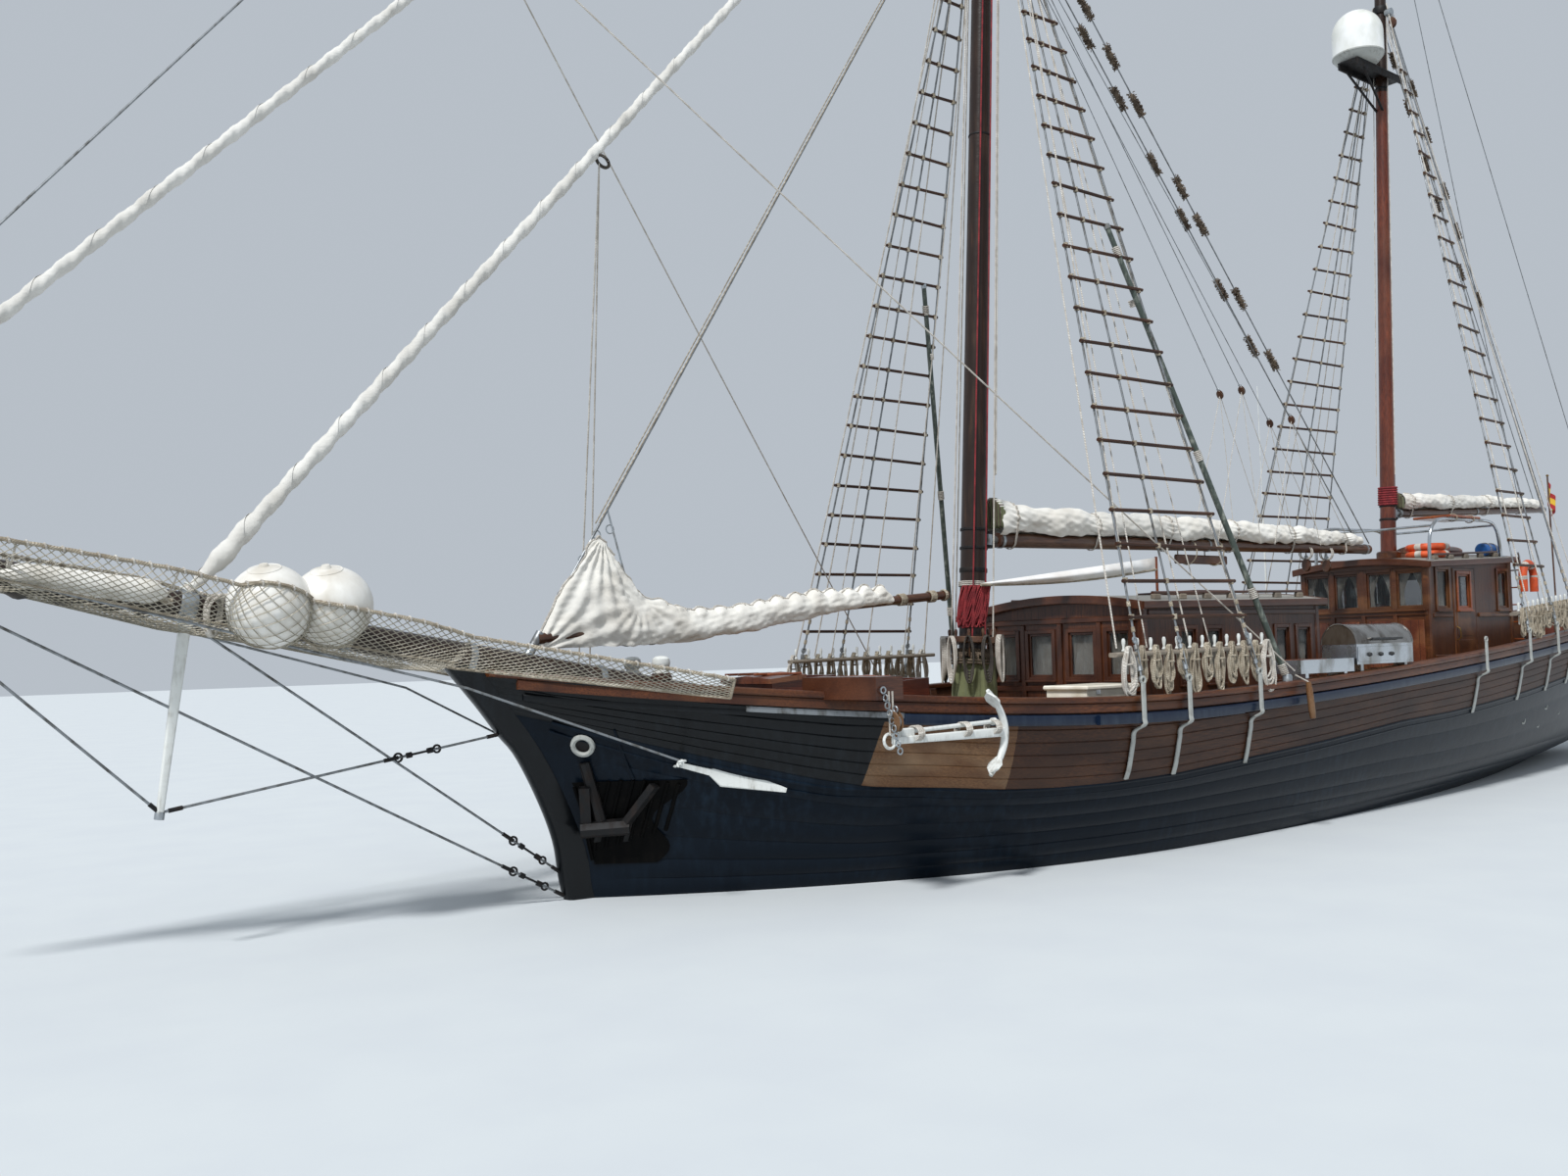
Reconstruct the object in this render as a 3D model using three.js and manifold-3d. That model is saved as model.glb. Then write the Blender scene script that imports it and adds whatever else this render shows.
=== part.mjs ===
// Two-masted wooden sailing ketch, about 23 m on deck, whole hull with its head rig.
// Millimetres. +X towards the bow, +Y to port, +Z up, origin amidships on the centreline at the waterline.
import * as THREE from "three";
import { mergeVertices } from "three/addons/utils/BufferGeometryUtils.js";
import Module from "manifold-3d";

const wasm = await Module();
wasm.setup();

// Hull: stem line, stern, sheer and level lines.
const gap = 0.3; // left between pieces that touch
const stemProfile = [ // front edge of the stem: [z, x]
  [-1500, 8100], [-1100, 8800], [-600, 9270], [0, 9570], [510, 9670], [900, 9820],
  [1280, 10020], [1480, 10190], [1750, 10400], [2100, 10700],
];
const stemDepth = 230; // stem timber, front to back
const stemHalfWidth = 115;
const widestX = 3000;
const sheerLowX = 4200;
const sheerLowZ = 1600; // top of the cap rail at its lowest
const bulwarkRise = 650; // deck edge to the top of the cap rail
const deckThickness = 45;
const deckCamber = 70;
const bulwarkThickness = 75;
const capThickness = 60;
const capWidth = 170;
const capOverhang = 38; // outboard of the bulwark
const rubRailTop = 160; // below the top of the cap rail
const rubRailHeight = 100;
const rubRailDepth = 72;
const shelfGap = 62; // from a gooseneck's centre to its shelves
const stationCount = 17;
const turningRoom = 4; // round a stock, pintle or shaft that turns in its bore

// Sections along the levels of the hull, from the keel up.
// [xStern, zStern, zMiddle, zBow, halfMiddle, halfStern, bowPower, sternPower]
const lowerLevels = [
  [-8150, -440, -1330, -1250, 125, 110, 2.0, 2.0],
  [-8400, -330, -1080, -900, 1050, 112, 1.6, 1.3],
  [-8750, -200, -640, -480, 1800, 114, 1.8, 1.5],
  [-9250, 10, 0, 20, 2160, 150, 2.2, 1.9],
  [-10750, 480, 420, 480, 2290, 560, 2.5, 2.1],
];
const sheerStern = { deck: -12050, cap: -12250 };
const sheerHalf = { deckMiddle: 2450, deckStern: 920, capMiddle: 2590, capStern: 1000 };
const sheerPower = { bow: 2.9, stern: 2.1 };

// Spars: masts rake aft, their centre lines start on the deck.
const masts = {
  main: {
    footX: 4433, rake: 0.0708, footZ: 900, topZ: 18600, footRadius: 156, topRadius: 78, houndsZ: 11700,
  },
  mizzen: {
    footX: -4795, rake: 0.0674, footZ: 1200, topZ: 15600, footRadius: 124, topRadius: 70, houndsZ: 12100,
  },
};
const bowsprit = { heelX: 8000, heelZ: 1665, tipX: 15650, tipZ: 3149, heelRadius: 150, tipRadius: 75 };
const goosenecks = {
  main: { z: 3330, behindMast: 235, boomEndX: -4330, boomEndZ: 3430, boomRadius: 88 },
  mizzen: { z: 4010, behindMast: 185, boomEndX: -10500, boomEndZ: 4300, boomRadius: 68 },
};
const staysail = { tackX: 9830, tackZ: 2235, boomEndX: 4720, boomEndZ: 2700, boomRadius: 55 };

// Deckhouses: [front x, back x, half width, front wall top at the side, back wall top, wall thickness]
const saloon = { frontX: 2840, backX: -800, half: 1190, frontZ: 2520, backZ: 2560, wall: 45, camber: 110 };
const wheelhouse = {
  frontX: -4120, backX: -6760, half: 1000, frontZ: 3120, backZ: 3230, wall: 45, camber: 90,
};
const roofThickness = 55;
const roofOverhang = 85;
const doorThickness = 40;
const doorInset = 2;
const knuckleRadius = 12;

const finishes = {
  blackPaint: { color: 0x15181c, roughness: 0.4, metalness: 0 },
  redBottom: { color: 0x4a1f1b, roughness: 0.7, metalness: 0 },
  varnish: { color: 0x6b2c18, roughness: 0.3, metalness: 0 },
  darkVarnish: { color: 0x30201b, roughness: 0.35, metalness: 0 },
  deckWood: { color: 0xa8845c, roughness: 0.7, metalness: 0 },
  mastPaint: { color: 0x2a2526, roughness: 0.4, metalness: 0 },
  sparWood: { color: 0x6e3a26, roughness: 0.45, metalness: 0 },
  greyWood: { color: 0x8d8678, roughness: 0.8, metalness: 0 },
  canvas: { color: 0xe9e6df, roughness: 0.9, metalness: 0 },
  greenCanvas: { color: 0x5d6a45, roughness: 0.9, metalness: 0 },
  netting: { color: 0xa59c8c, roughness: 0.9, metalness: 0 },
  whitePlastic: { color: 0xf0f1f0, roughness: 0.35, metalness: 0 },
  whiteSteel: { color: 0xdfe0dc, roughness: 0.5, metalness: 0.1 },
  wire: { color: 0x5a5d60, roughness: 0.5, metalness: 0.7 },
  stainless: { color: 0xb9bcc0, roughness: 0.25, metalness: 1 },
  bronze: { color: 0x9a7440, roughness: 0.4, metalness: 1 },
  blackIron: { color: 0x1b1b1c, roughness: 0.6, metalness: 0.5 },
};

const ketch = new THREE.Group();
const sides = [["port", 1], ["starboard", -1]];

function addPart(name, geometry, finish) {
  const mesh = new THREE.Mesh(geometry, new THREE.MeshStandardMaterial(finishes[finish]));
  mesh.name = name;
  ketch.add(mesh);
}

// Solids
function toSolid(geometry) {
  const bare = geometry.clone();
  bare.deleteAttribute("normal");
  bare.deleteAttribute("uv");
  const merged = mergeVertices(bare, 0.001);
  return new wasm.Manifold(new wasm.Mesh({
    numProp: 3,
    vertProperties: new Float32Array(merged.attributes.position.array),
    triVerts: new Uint32Array(merged.index.array),
  }));
}

function toGeometry(solid) {
  const mesh = solid.getMesh();
  const geometry = new THREE.BufferGeometry();
  geometry.setAttribute("position", new THREE.BufferAttribute(new Float32Array(mesh.vertProperties), 3));
  geometry.setIndex(new THREE.BufferAttribute(new Uint32Array(mesh.triVerts), 1));
  return geometry;
}

const join = (...solids) => solids.reduce((sum, solid) => sum.add(solid));
const addSolid = (name, solid, finish) => addPart(name, toGeometry(solid), finish);
const point = (x, y, z) => new THREE.Vector3(x, y, z);
const lerp = THREE.MathUtils.lerp;

function box(x0, x1, y0, y1, z0, z1) {
  const shape = new THREE.BoxGeometry(x1 - x0, y1 - y0, z1 - z0);
  return toSolid(shape.translate((x0 + x1) / 2, (y0 + y1) / 2, (z0 + z1) / 2));
}

// Round bar from one point to another, tapering between its radii.
function rod(from, to, fromRadius, toRadius = fromRadius, facets = 8) {
  const along = to.clone().sub(from);
  const shape = new THREE.CylinderGeometry(toRadius, fromRadius, along.length(), facets);
  shape.applyQuaternion(new THREE.Quaternion().setFromUnitVectors(point(0, 1, 0), along.clone().normalize()));
  const middle = from.clone().add(to).multiplyScalar(0.5);
  return toSolid(shape.translate(middle.x, middle.y, middle.z));
}

// Square bar between two points, its width level.
function bar(from, to, width, height) {
  const along = to.clone().sub(from);
  const ahead = along.clone().normalize();
  const level = point(0, 0, 1).cross(ahead).normalize();
  const turn = new THREE.Matrix4().makeBasis(ahead, level, ahead.clone().cross(level));
  const shape = new THREE.BoxGeometry(along.length(), width, height).applyMatrix4(turn);
  const middle = from.clone().add(to).multiplyScalar(0.5);
  return toSolid(shape.translate(middle.x, middle.y, middle.z));
}

// Outlines of [x, z] across a width in y, of [x, y] through a height, and of [y, z] along x.
function plateXZ(outline, y0, y1) {
  const shape = new THREE.Shape(outline.map(([x, z]) => new THREE.Vector2(x, z)));
  const plate = new THREE.ExtrudeGeometry(shape, { depth: y1 - y0, bevelEnabled: false });
  return toSolid(plate.rotateX(Math.PI / 2).translate(0, y1, 0));
}

function plateYZ(outline, x0, x1) {
  const shape = new THREE.Shape(outline.map(([y, z]) => new THREE.Vector2(y, z)));
  const plate = new THREE.ExtrudeGeometry(shape, { depth: x1 - x0, bevelEnabled: false });
  const turn = new THREE.Matrix4().makeBasis(point(0, 1, 0), point(0, 0, 1), point(1, 0, 0));
  return toSolid(plate.applyMatrix4(turn).translate(x0, 0, 0));
}

// Skin through rings of equal point counts. The ends close across the ring, first point to last.
function loft(rings) {
  const count = rings[0].length;
  const corners = rings.flatMap((ring) => ring.flatMap((corner) => corner.toArray()));
  const faces = [];
  for (let ring = 0; ring < rings.length - 1; ring += 1) {
    for (let side = 0; side < count; side += 1) {
      const a = ring * count + side;
      const b = ring * count + ((side + 1) % count);
      faces.push(a, b, b + count, a, b + count, a + count);
    }
  }
  for (const [start, turned] of [[0, true], [(rings.length - 1) * count, false]]) {
    let low = 0;
    let high = count - 1;
    const close = (...face) => {
      const ordered = turned ? face.reverse() : face;
      faces.push(...ordered.map((corner) => start + corner));
    };
    if (count % 2) {
      close(0, 1, high);
      low = 1;
    }
    for (; low + 1 < high - 1; low += 1, high -= 1) {
      close(low, low + 1, high - 1);
      close(low, high - 1, high);
    }
    if (low + 1 === high - 1) close(low, low + 1, high);
  }
  const geometry = new THREE.BufferGeometry();
  geometry.setAttribute("position", new THREE.BufferAttribute(new Float32Array(corners), 3));
  geometry.setIndex(faces);
  const volume = signedVolume(geometry);
  if (volume < 0) geometry.setIndex(flipped(geometry.index.array));
  return toSolid(geometry);
}

function signedVolume(geometry) {
  const place = geometry.attributes.position;
  const index = geometry.index.array;
  const [a, b, c] = [point(), point(), point()];
  let sum = 0;
  for (let face = 0; face < index.length; face += 3) {
    a.fromBufferAttribute(place, index[face]);
    b.fromBufferAttribute(place, index[face + 1]);
    c.fromBufferAttribute(place, index[face + 2]);
    sum += a.dot(b.cross(c)) / 6;
  }
  return sum;
}

function flipped(index) {
  const turned = [];
  for (let face = 0; face < index.length; face += 3) {
    turned.push(index[face], index[face + 2], index[face + 1]);
  }
  return turned;
}

function ball(centre, radius, segments = 14) {
  const shape = new THREE.SphereGeometry(radius, segments, Math.round(segments * 0.7)).rotateX(Math.PI / 2);
  return toSolid(shape.translate(centre.x, centre.y, centre.z));
}

// Moves by a gap along the named axes, as "x" for both ways or "z+" for one.
function nudges(ways) {
  const steps = ["x", "y", "z"].map((axis) => {
    if (ways.includes(`${axis}+`)) return [gap];
    if (ways.includes(`${axis}-`)) return [-gap];
    return ways.includes(axis) ? [gap, -gap] : [0];
  });
  return steps[0].flatMap((x) => steps[1].flatMap((y) => steps[2].map((z) => [x, y, z])));
}

// Cuts the neighbours away, and a gap on the sides that face them, and keeps the largest piece left.
function fit(solid, ways, ...neighbours) {
  const reach = 5;
  const moves = [[0, 0, 0], ...(ways ? nudges(ways) : [])];
  const { min, max } = solid.boundingBox();
  const room = box(...[0, 1, 2].flatMap((axis) => [min[axis] - reach, max[axis] + reach]));
  let rest = solid;
  for (const neighbour of neighbours) {
    const near = neighbour.intersect(room);
    const copies = near.isEmpty() ? [] : moves.map((move) => near.translate(move));
    for (const copy of copies) {
      rest = rest.subtract(copy);
      copy.delete();
    }
    near.delete();
  }
  return rest.decompose().sort((a, b) => b.volume() - a.volume())[0];
}

// Hull lines
function along(table, value) {
  const next = Math.max(1, Math.min(table.length - 1, table.findIndex(([key]) => key >= value)));
  const [lowKey, low] = table[next - 1];
  const [highKey, high] = table[next];
  return lerp(low, high, (value - lowKey) / (highKey - lowKey));
}

const stemX = (z) => along(stemProfile, z);

function sheer(x) {
  if (x > sheerLowX) return sheerLowZ + 11.6e-6 * (x - sheerLowX) ** 2;
  return sheerLowZ + 100 * ((sheerLowX - x) / 3300) ** 1.42;
}

function makeLevel(xStern, heightAt, halfMiddle, halfStern, bowPower, sternPower, bowZ) {
  const xBow = stemX(bowZ) - stemDepth - gap;
  const halfAt = (x) => {
    const ahead = x > widestX;
    const reach = ahead ? (x - widestX) / (xBow - widestX) : (widestX - x) / (widestX - xStern);
    const end = ahead ? stemHalfWidth : halfStern;
    return lerp(halfMiddle, end, Math.min(1, reach) ** (ahead ? bowPower : sternPower));
  };
  return { xStern, xBow, heightAt, halfAt };
}

const levels = lowerLevels.map((row) => {
  const [xStern, zStern, zMiddle, zBow, halfMiddle, halfStern, bowPower, sternPower] = row;
  const xBow = stemX(zBow) - stemDepth;
  const heightAt = (x) => (x > widestX
    ? lerp(zMiddle, zBow, Math.min(1, (x - widestX) / (xBow - widestX)) ** 2)
    : lerp(zMiddle, zStern, Math.min(1, (widestX - x) / (widestX - xStern)) ** 1.8));
  return makeLevel(xStern, heightAt, halfMiddle, halfStern, bowPower, sternPower, zBow);
});
const deckUnderside = (x) => sheer(x) - bulwarkRise - deckThickness;
const capUnderside = (x) => sheer(x) - capThickness;
const deckLevel = makeLevel(sheerStern.deck, deckUnderside, sheerHalf.deckMiddle, sheerHalf.deckStern,
  sheerPower.bow, sheerPower.stern, 1300);
const capLevel = makeLevel(sheerStern.cap, capUnderside, sheerHalf.capMiddle, sheerHalf.capStern,
  sheerPower.bow, sheerPower.stern, 1950);

// A station's share of the length, closer together towards the ends.
const stations = Array.from({ length: stationCount }, (_, index) => {
  const share = index / (stationCount - 1);
  return share - 0.09 * Math.sin(2 * Math.PI * share);
});
const levelX = (level, share) => lerp(level.xStern, level.xBow, share);

function levelPoint(level, share, side) {
  const x = levelX(level, share);
  return point(x, side * level.halfAt(x), level.heightAt(x));
}

// Half width of the topside between the deck edge and the cap rail, and below it.
function topsideHalf(x, z) {
  const heights = [...levels.slice(3), deckLevel, capLevel];
  const table = heights.map((level) => [level.heightAt(x), level.halfAt(x)]);
  return along(table, z);
}

const deckTop = (x, y = 0) => deckUnderside(x) + deckThickness
  + deckCamber * (1 - Math.abs(y) / deckLevel.halfAt(x));

// Hull, solid up to the deck
const hullLevels = [...levels, deckLevel];
const hullShell = loft(stations.map((share) => {
  const port = [...hullLevels].reverse().map((level) => levelPoint(level, share, 1));
  const starboard = hullLevels.map((level) => levelPoint(level, share, -1));
  const crown = levelPoint(deckLevel, share, 0).setY(0).add(point(0, 0, deckCamber));
  return [crown, ...port, ...starboard];
}));

// Rudder and propeller, and the room they need in the hull
const rudder = { x: -9160, stockRadius: 60, topZ: 420, heelZ: -1950, socketZ: -2040, pintleRadius: 28 };
const shaft = { z: -1050, radius: 32, foreX: -7750, boreEndX: -9000, hubX: -8430, hubRadius: 95 };
const rudderBoreRadius = rudder.stockRadius + turningRoom;
const rudderBore = rod(point(rudder.x, 0, -700), point(rudder.x, 0, rudder.topZ), rudderBoreRadius,
  rudderBoreRadius, 16);
const shaftBoreRadius = shaft.radius + turningRoom;
const shaftBore = rod(point(shaft.foreX, 0, shaft.z), point(shaft.boreEndX, 0, shaft.z), shaftBoreRadius,
  shaftBoreRadius, 12);
const hull = hullShell.subtract(rudderBore).subtract(shaftBore);
addSolid("hull", hull, "blackPaint");

// Keel and deadwood with the propeller's aperture and the shoe under the rudder
const keelHalfWidth = 110;
const keelOutline = [
  [8050, -1250], [8050, -1500], [7500, -1600], [3000, -2100], [-9900, -2100], [-9900, -2000], [-9050, -1970],
  [-9030, -500], [-9050, 60], [-8300, -200], [0, -1000], [7900, -900],
];
const aperture = box(-8850, -8180, -200, 200, -1720, -420);
const socketRadius = rudder.pintleRadius + turningRoom;
const heelSocket = rod(point(rudder.x, 0, rudder.socketZ), point(rudder.x, 0, -1900), socketRadius,
  socketRadius, 16);
const keelTimber = plateXZ(keelOutline, -keelHalfWidth, keelHalfWidth).subtract(aperture);
const keel = fit(keelTimber, "z-", hullShell).subtract(shaftBore).subtract(heelSocket);
addSolid("keel", keel, "redBottom");

function makeRudder() {
  const blade = plateXZ([
    [-9160, -1930], [-9860, -1930], [-9990, -1700], [-9960, -700], [-9700, -120], [-9160, -120],
  ], -38, 38);
  const stock = rod(point(rudder.x, 0, rudder.heelZ), point(rudder.x, 0, rudder.topZ - gap),
    rudder.stockRadius, rudder.stockRadius, 16);
  const pintle = rod(point(rudder.x, 0, rudder.socketZ + gap), point(rudder.x, 0, rudder.heelZ + 50),
    rudder.pintleRadius, rudder.pintleRadius, 16);
  addSolid("rudder", join(blade, stock, pintle), "redBottom");
}

function makePropeller() {
  const bladeCount = 4;
  const pitchAngle = 0.6;
  const onShaft = (x) => point(x, 0, shaft.z);
  const hub = rod(onShaft(shaft.hubX + 150), onShaft(shaft.hubX - 130), shaft.hubRadius, 60, 16);
  const line = rod(onShaft(shaft.foreX - gap), onShaft(shaft.hubX), shaft.radius, shaft.radius, 12);
  const outline = new THREE.Shape([[-55, 60], [-165, 330], [-90, 500], [60, 520], [150, 350], [60, 60]]
    .map(([x, y]) => new THREE.Vector2(x, y)));
  const blades = Array.from({ length: bladeCount }, (_, index) => {
    const blade = new THREE.ExtrudeGeometry(outline, { depth: 22, bevelEnabled: false }).translate(0, 0, -11);
    blade.rotateY(Math.PI / 2 - pitchAngle).applyMatrix4(new THREE.Matrix4().makeRotationX(Math.PI / 2));
    return toSolid(blade.rotateX(index * 2 * Math.PI / bladeCount).translate(shaft.hubX, 0, shaft.z));
  });
  addSolid("propeller", join(hub, line, ...blades), "bronze");
}

makeRudder();
makePropeller();

// Deck, bulwarks and rails
const sunkEdge = 6; // let into the hull before it is cut to fit
const bulwark = {};
const capRail = {};

function makeBulwark(side) {
  return loft(stations.map((share) => {
    const low = levelPoint(deckLevel, share, side).add(point(0, 0, gap));
    const high = levelPoint(capLevel, share, side);
    const inward = point(0, -side * bulwarkThickness, 0);
    return [low, high, high.clone().add(inward), low.clone().add(inward)];
  }));
}

function makeCapRail(side) {
  return loft(stations.map((share) => {
    const edge = levelPoint(capLevel, share, side);
    const outer = side * (Math.abs(edge.y) + capOverhang);
    const inner = side * Math.max(gap, Math.abs(edge.y) + capOverhang - capWidth);
    const [low, high] = [edge.z + gap, edge.z + capThickness];
    return [[outer, low], [outer, high], [inner, high], [inner, low]].map(([y, z]) => point(edge.x, y, z));
  }));
}

// Runs along the bulwark's outer face, its top and bottom at these depths below the cap rail's top.
function makeRubRail(side) {
  return loft(stations.map((share) => {
    const low = levelPoint(deckLevel, share, side);
    const high = levelPoint(capLevel, share, side);
    const at = (depth) => low.clone().lerp(high, (high.z + capThickness - depth - low.z) / (high.z - low.z));
    const [top, bottom] = [at(rubRailTop), at(rubRailTop + rubRailHeight)];
    const out = (corner, reach) => corner.clone().add(point(0, side * reach, 0));
    return [out(bottom, rubRailDepth), out(top, rubRailDepth), out(top, -5), out(bottom, -5)];
  }));
}

const bowspritAt = (x) => point(x, 0, lerp(bowsprit.heelZ, bowsprit.tipZ,
  (x - bowsprit.heelX) / (bowsprit.tipX - bowsprit.heelX)));
const bowspritRadius = (x) => lerp(bowsprit.heelRadius, bowsprit.tipRadius,
  (x - bowsprit.heelX) / (bowsprit.tipX - bowsprit.heelX));
const makeBowsprit = (spare) => rod(bowspritAt(bowsprit.heelX - spare), bowspritAt(bowsprit.tipX + spare),
  bowsprit.heelRadius + spare, bowsprit.tipRadius + spare, 16);
const bowspritRoom = makeBowsprit(gap);

const deckShape = loft(stations.map((share) => {
  const edge = levelPoint(deckLevel, share, 1);
  const inner = edge.y - bulwarkThickness - gap;
  const low = edge.z + deckCamber * (1 - inner / edge.y) - sunkEdge;
  const crown = edge.z + deckCamber - sunkEdge;
  const top = deckThickness + sunkEdge;
  return [point(edge.x, -inner, low), point(edge.x, 0, crown), point(edge.x, inner, low),
    point(edge.x, inner, low + top), point(edge.x, 0, crown + top), point(edge.x, -inner, low + top)];
}));

for (const [name, side] of sides) {
  bulwark[name] = join(fit(makeBulwark(side), "z+", hullShell), makeRubRail(side));
  capRail[name] = fit(makeCapRail(side), "", bowspritRoom);
}
const bulwarks = join(bulwark.port, bulwark.starboard);
const sternCut = box(-12400, -11950, -1100, 1100, 1700, 2700);
const deck = fit(fit(deckShape.subtract(sternCut), "z+", hullShell), "y", bulwarks);
addSolid("deck", deck, "deckWood");

// Stem timber against the bow ends of keel, hull and bulwarks, from the forefoot to the stem head
function makeStem() {
  const heel = { x: 8050 + gap, top: -1265, bottom: -1510 };
  const front = stemProfile.map(([z, x]) => [x, z]);
  const headTop = front[front.length - 1][1];
  const back = [...hullLevels, capLevel].map((level) => {
    const end = levelPoint(level, 1, 0);
    return [end.x + gap * 2, end.z];
  });
  const outline = [[heel.x, heel.bottom], ...front, [back[back.length - 1][0], headTop], ...back.reverse(),
    [back[back.length - 1][0], heel.top], [heel.x, heel.top]];
  return fit(plateXZ(outline, -stemHalfWidth, stemHalfWidth), "", bowspritRoom);
}

const stem = makeStem();
addSolid("stem", stem, "blackPaint");

for (const [name] of sides) {
  addSolid(`bulwark_${name}`, bulwark[name], "darkVarnish");
  addSolid(`cap_rail_${name}`, capRail[name], "varnish");
}

function makeTaffrail() {
  const low = levelPoint(deckLevel, 0, 1);
  const high = levelPoint(capLevel, 0, 1);
  const section = (y) => {
    const rise = deckCamber * (1 - Math.abs(y) / low.y) + gap;
    return [point(low.x + 75, y, low.z + rise), point(low.x, y, low.z + rise), point(high.x, y, high.z + 10),
      point(high.x + 75, y, high.z + 10)];
  };
  const wide = low.y;
  const plate = fit(loft([section(-wide), section(0), section(wide)]), "yz-",
    bulwarks, ...Object.values(capRail));
  const top = box(high.x - 40, high.x + 130, -high.y + 140, high.y - 140, high.z + 5, high.z + capThickness);
  const seated = fit(join(plate, top), "yz+", bulwarks, hullShell,
    ...Object.values(capRail));
  addSolid("taffrail", seated, "varnish");
}

makeTaffrail();
const ground = [hullShell, deck];
const onDeck = (solid, ...more) => fit(solid, "z+", ...ground, ...more);

// Bowsprit on its bitts
const bitts = {
  x: 8670, postY: 245, postHalf: 70, postTop: 2000, knob: 85, beamHalf: 420, beamZ: [1400, 1800],
};

function makeBitts() {
  const { x, postY, postHalf, postTop } = bitts;
  const posts = [1, -1].map((side) => join(
    box(x - postHalf, x + postHalf, side * postY - postHalf, side * postY + postHalf, 1000, postTop),
    ball(point(x, side * postY, postTop + 30), bitts.knob, 10),
  ));
  const beam = box(x - 90, x + 90, -bitts.beamHalf, bitts.beamHalf, ...bitts.beamZ);
  return onDeck(fit(join(...posts, beam), "", bowspritRoom));
}

addSolid("bitts", makeBitts(), "whiteSteel");

// The tack of the staysail and the line its boom and sail turn about
const stayLine = { low: point(staysail.tackX, 0, staysail.tackZ), high: point(3750, 0, 11800), endX: 3880 };
const stayAhead = stayLine.high.clone().sub(stayLine.low).normalize();
const onStay = (distance) => stayLine.low.clone().addScaledVector(stayAhead, distance);
const stayLength = (stayLine.endX - stayLine.low.x) / stayAhead.x;
const tackPost = rod(onStay(-180), onStay(-gap), 42, 42, 12);
addSolid("bowsprit", join(makeBowsprit(0), tackPost), "darkVarnish");

// Masts
const mastAt = (mast, z) => point(mast.footX - mast.rake * (z - mast.footZ), 0, z);
const mastRadius = (mast, z) => (
  lerp(mast.footRadius, mast.topRadius, (z - mast.footZ) / (mast.topZ - mast.footZ)));
const mastAxis = (mast) => point(-mast.rake, 0, 1).normalize();

function gooseneck(mast, neck) {
  const axis = mastAxis(mast);
  const centre = mastAt(mast, neck.z);
  const pivot = centre.clone().add(point(-neck.behindMast, 0, 0));
  const up = (from, height) => from.clone().addScaledVector(axis, height);
  return { axis, centre, pivot, up };
}

// Two shelves behind the mast that carry the boom's eye
function gooseneckShelves(mast, neck) {
  const { centre, pivot, up } = gooseneck(mast, neck);
  return [-1, 1].map((side) => join(
    rod(up(pivot, side * (shelfGap + gap)), up(pivot, side * (shelfGap + 32)), 55, 55, 12),
    bar(up(centre, side * (shelfGap + 20)), up(pivot, side * (shelfGap + 20)), 80, 20),
  ));
}

// [z, height, how far it stands proud]
const collars = {
  main: [[11640, 130, 30], [13000, 110, 22], [15350, 110, 22], [18500, 100, 20]],
  mizzen: [[12050, 120, 28], [15500, 100, 20]],
};

function makePole(name, spare) {
  const mast = masts[name];
  const pole = rod(mastAt(mast, mast.footZ), mastAt(mast, mast.topZ), mast.footRadius + spare,
    mast.topRadius + spare, 16);
  const bands = collars[name].map(([z, height, proud]) => {
    const radius = mastRadius(mast, z) + proud + spare;
    return rod(mastAt(mast, z - spare), mastAt(mast, z + height + spare), radius, radius, 16);
  });
  return join(pole, ...bands);
}

const stayBracket = rod(onStay(stayLength + gap), onStay(stayLength + 320), 30, 30, 10);
const mastRoom = { main: makePole("main", gap), mizzen: makePole("mizzen", gap) };
const pinRing = { z: 2150, height: 70, width: 150 };
const ringDisc = rod(mastAt(masts.main, pinRing.z), mastAt(masts.main, pinRing.z + pinRing.height),
  mastRadius(masts.main, pinRing.z) + pinRing.width, mastRadius(masts.main, pinRing.z) + pinRing.width, 20);
addSolid("main_mast", onDeck(join(makePole("main", 0), stayBracket, ringDisc,
  ...gooseneckShelves(masts.main, goosenecks.main))), "mastPaint");
// The mizzen mast carries a dome's bracket
const dome = { x: -4770, low: 11050, high: 11900, radius: 380 };
function makeDomeBracket() {
  const aft = mastAt(masts.mizzen, dome.low).x - 430;
  const fore = dome.x + 330;
  const plate = box(aft, fore, -170, 170, dome.low - 30 - gap, dome.low - gap);
  const rails = [1, -1].map((side) => bar(point(aft, side * 150, dome.low - 70), point(fore, side * 150,
    dome.low - 70), 30, 90));
  const struts = [1, -1].map((side) => rod(point(dome.x + 150, side * 140, dome.low - 80),
    mastAt(masts.mizzen, dome.low - 650).add(point(0, side * 40, 0)), 20, 20, 8));
  return join(plate, ...rails, ...struts);
}

addSolid("mizzen_mast", onDeck(join(makePole("mizzen", 0), makeDomeBracket(),
  ...gooseneckShelves(masts.mizzen, goosenecks.mizzen))), "sparWood");

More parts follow.
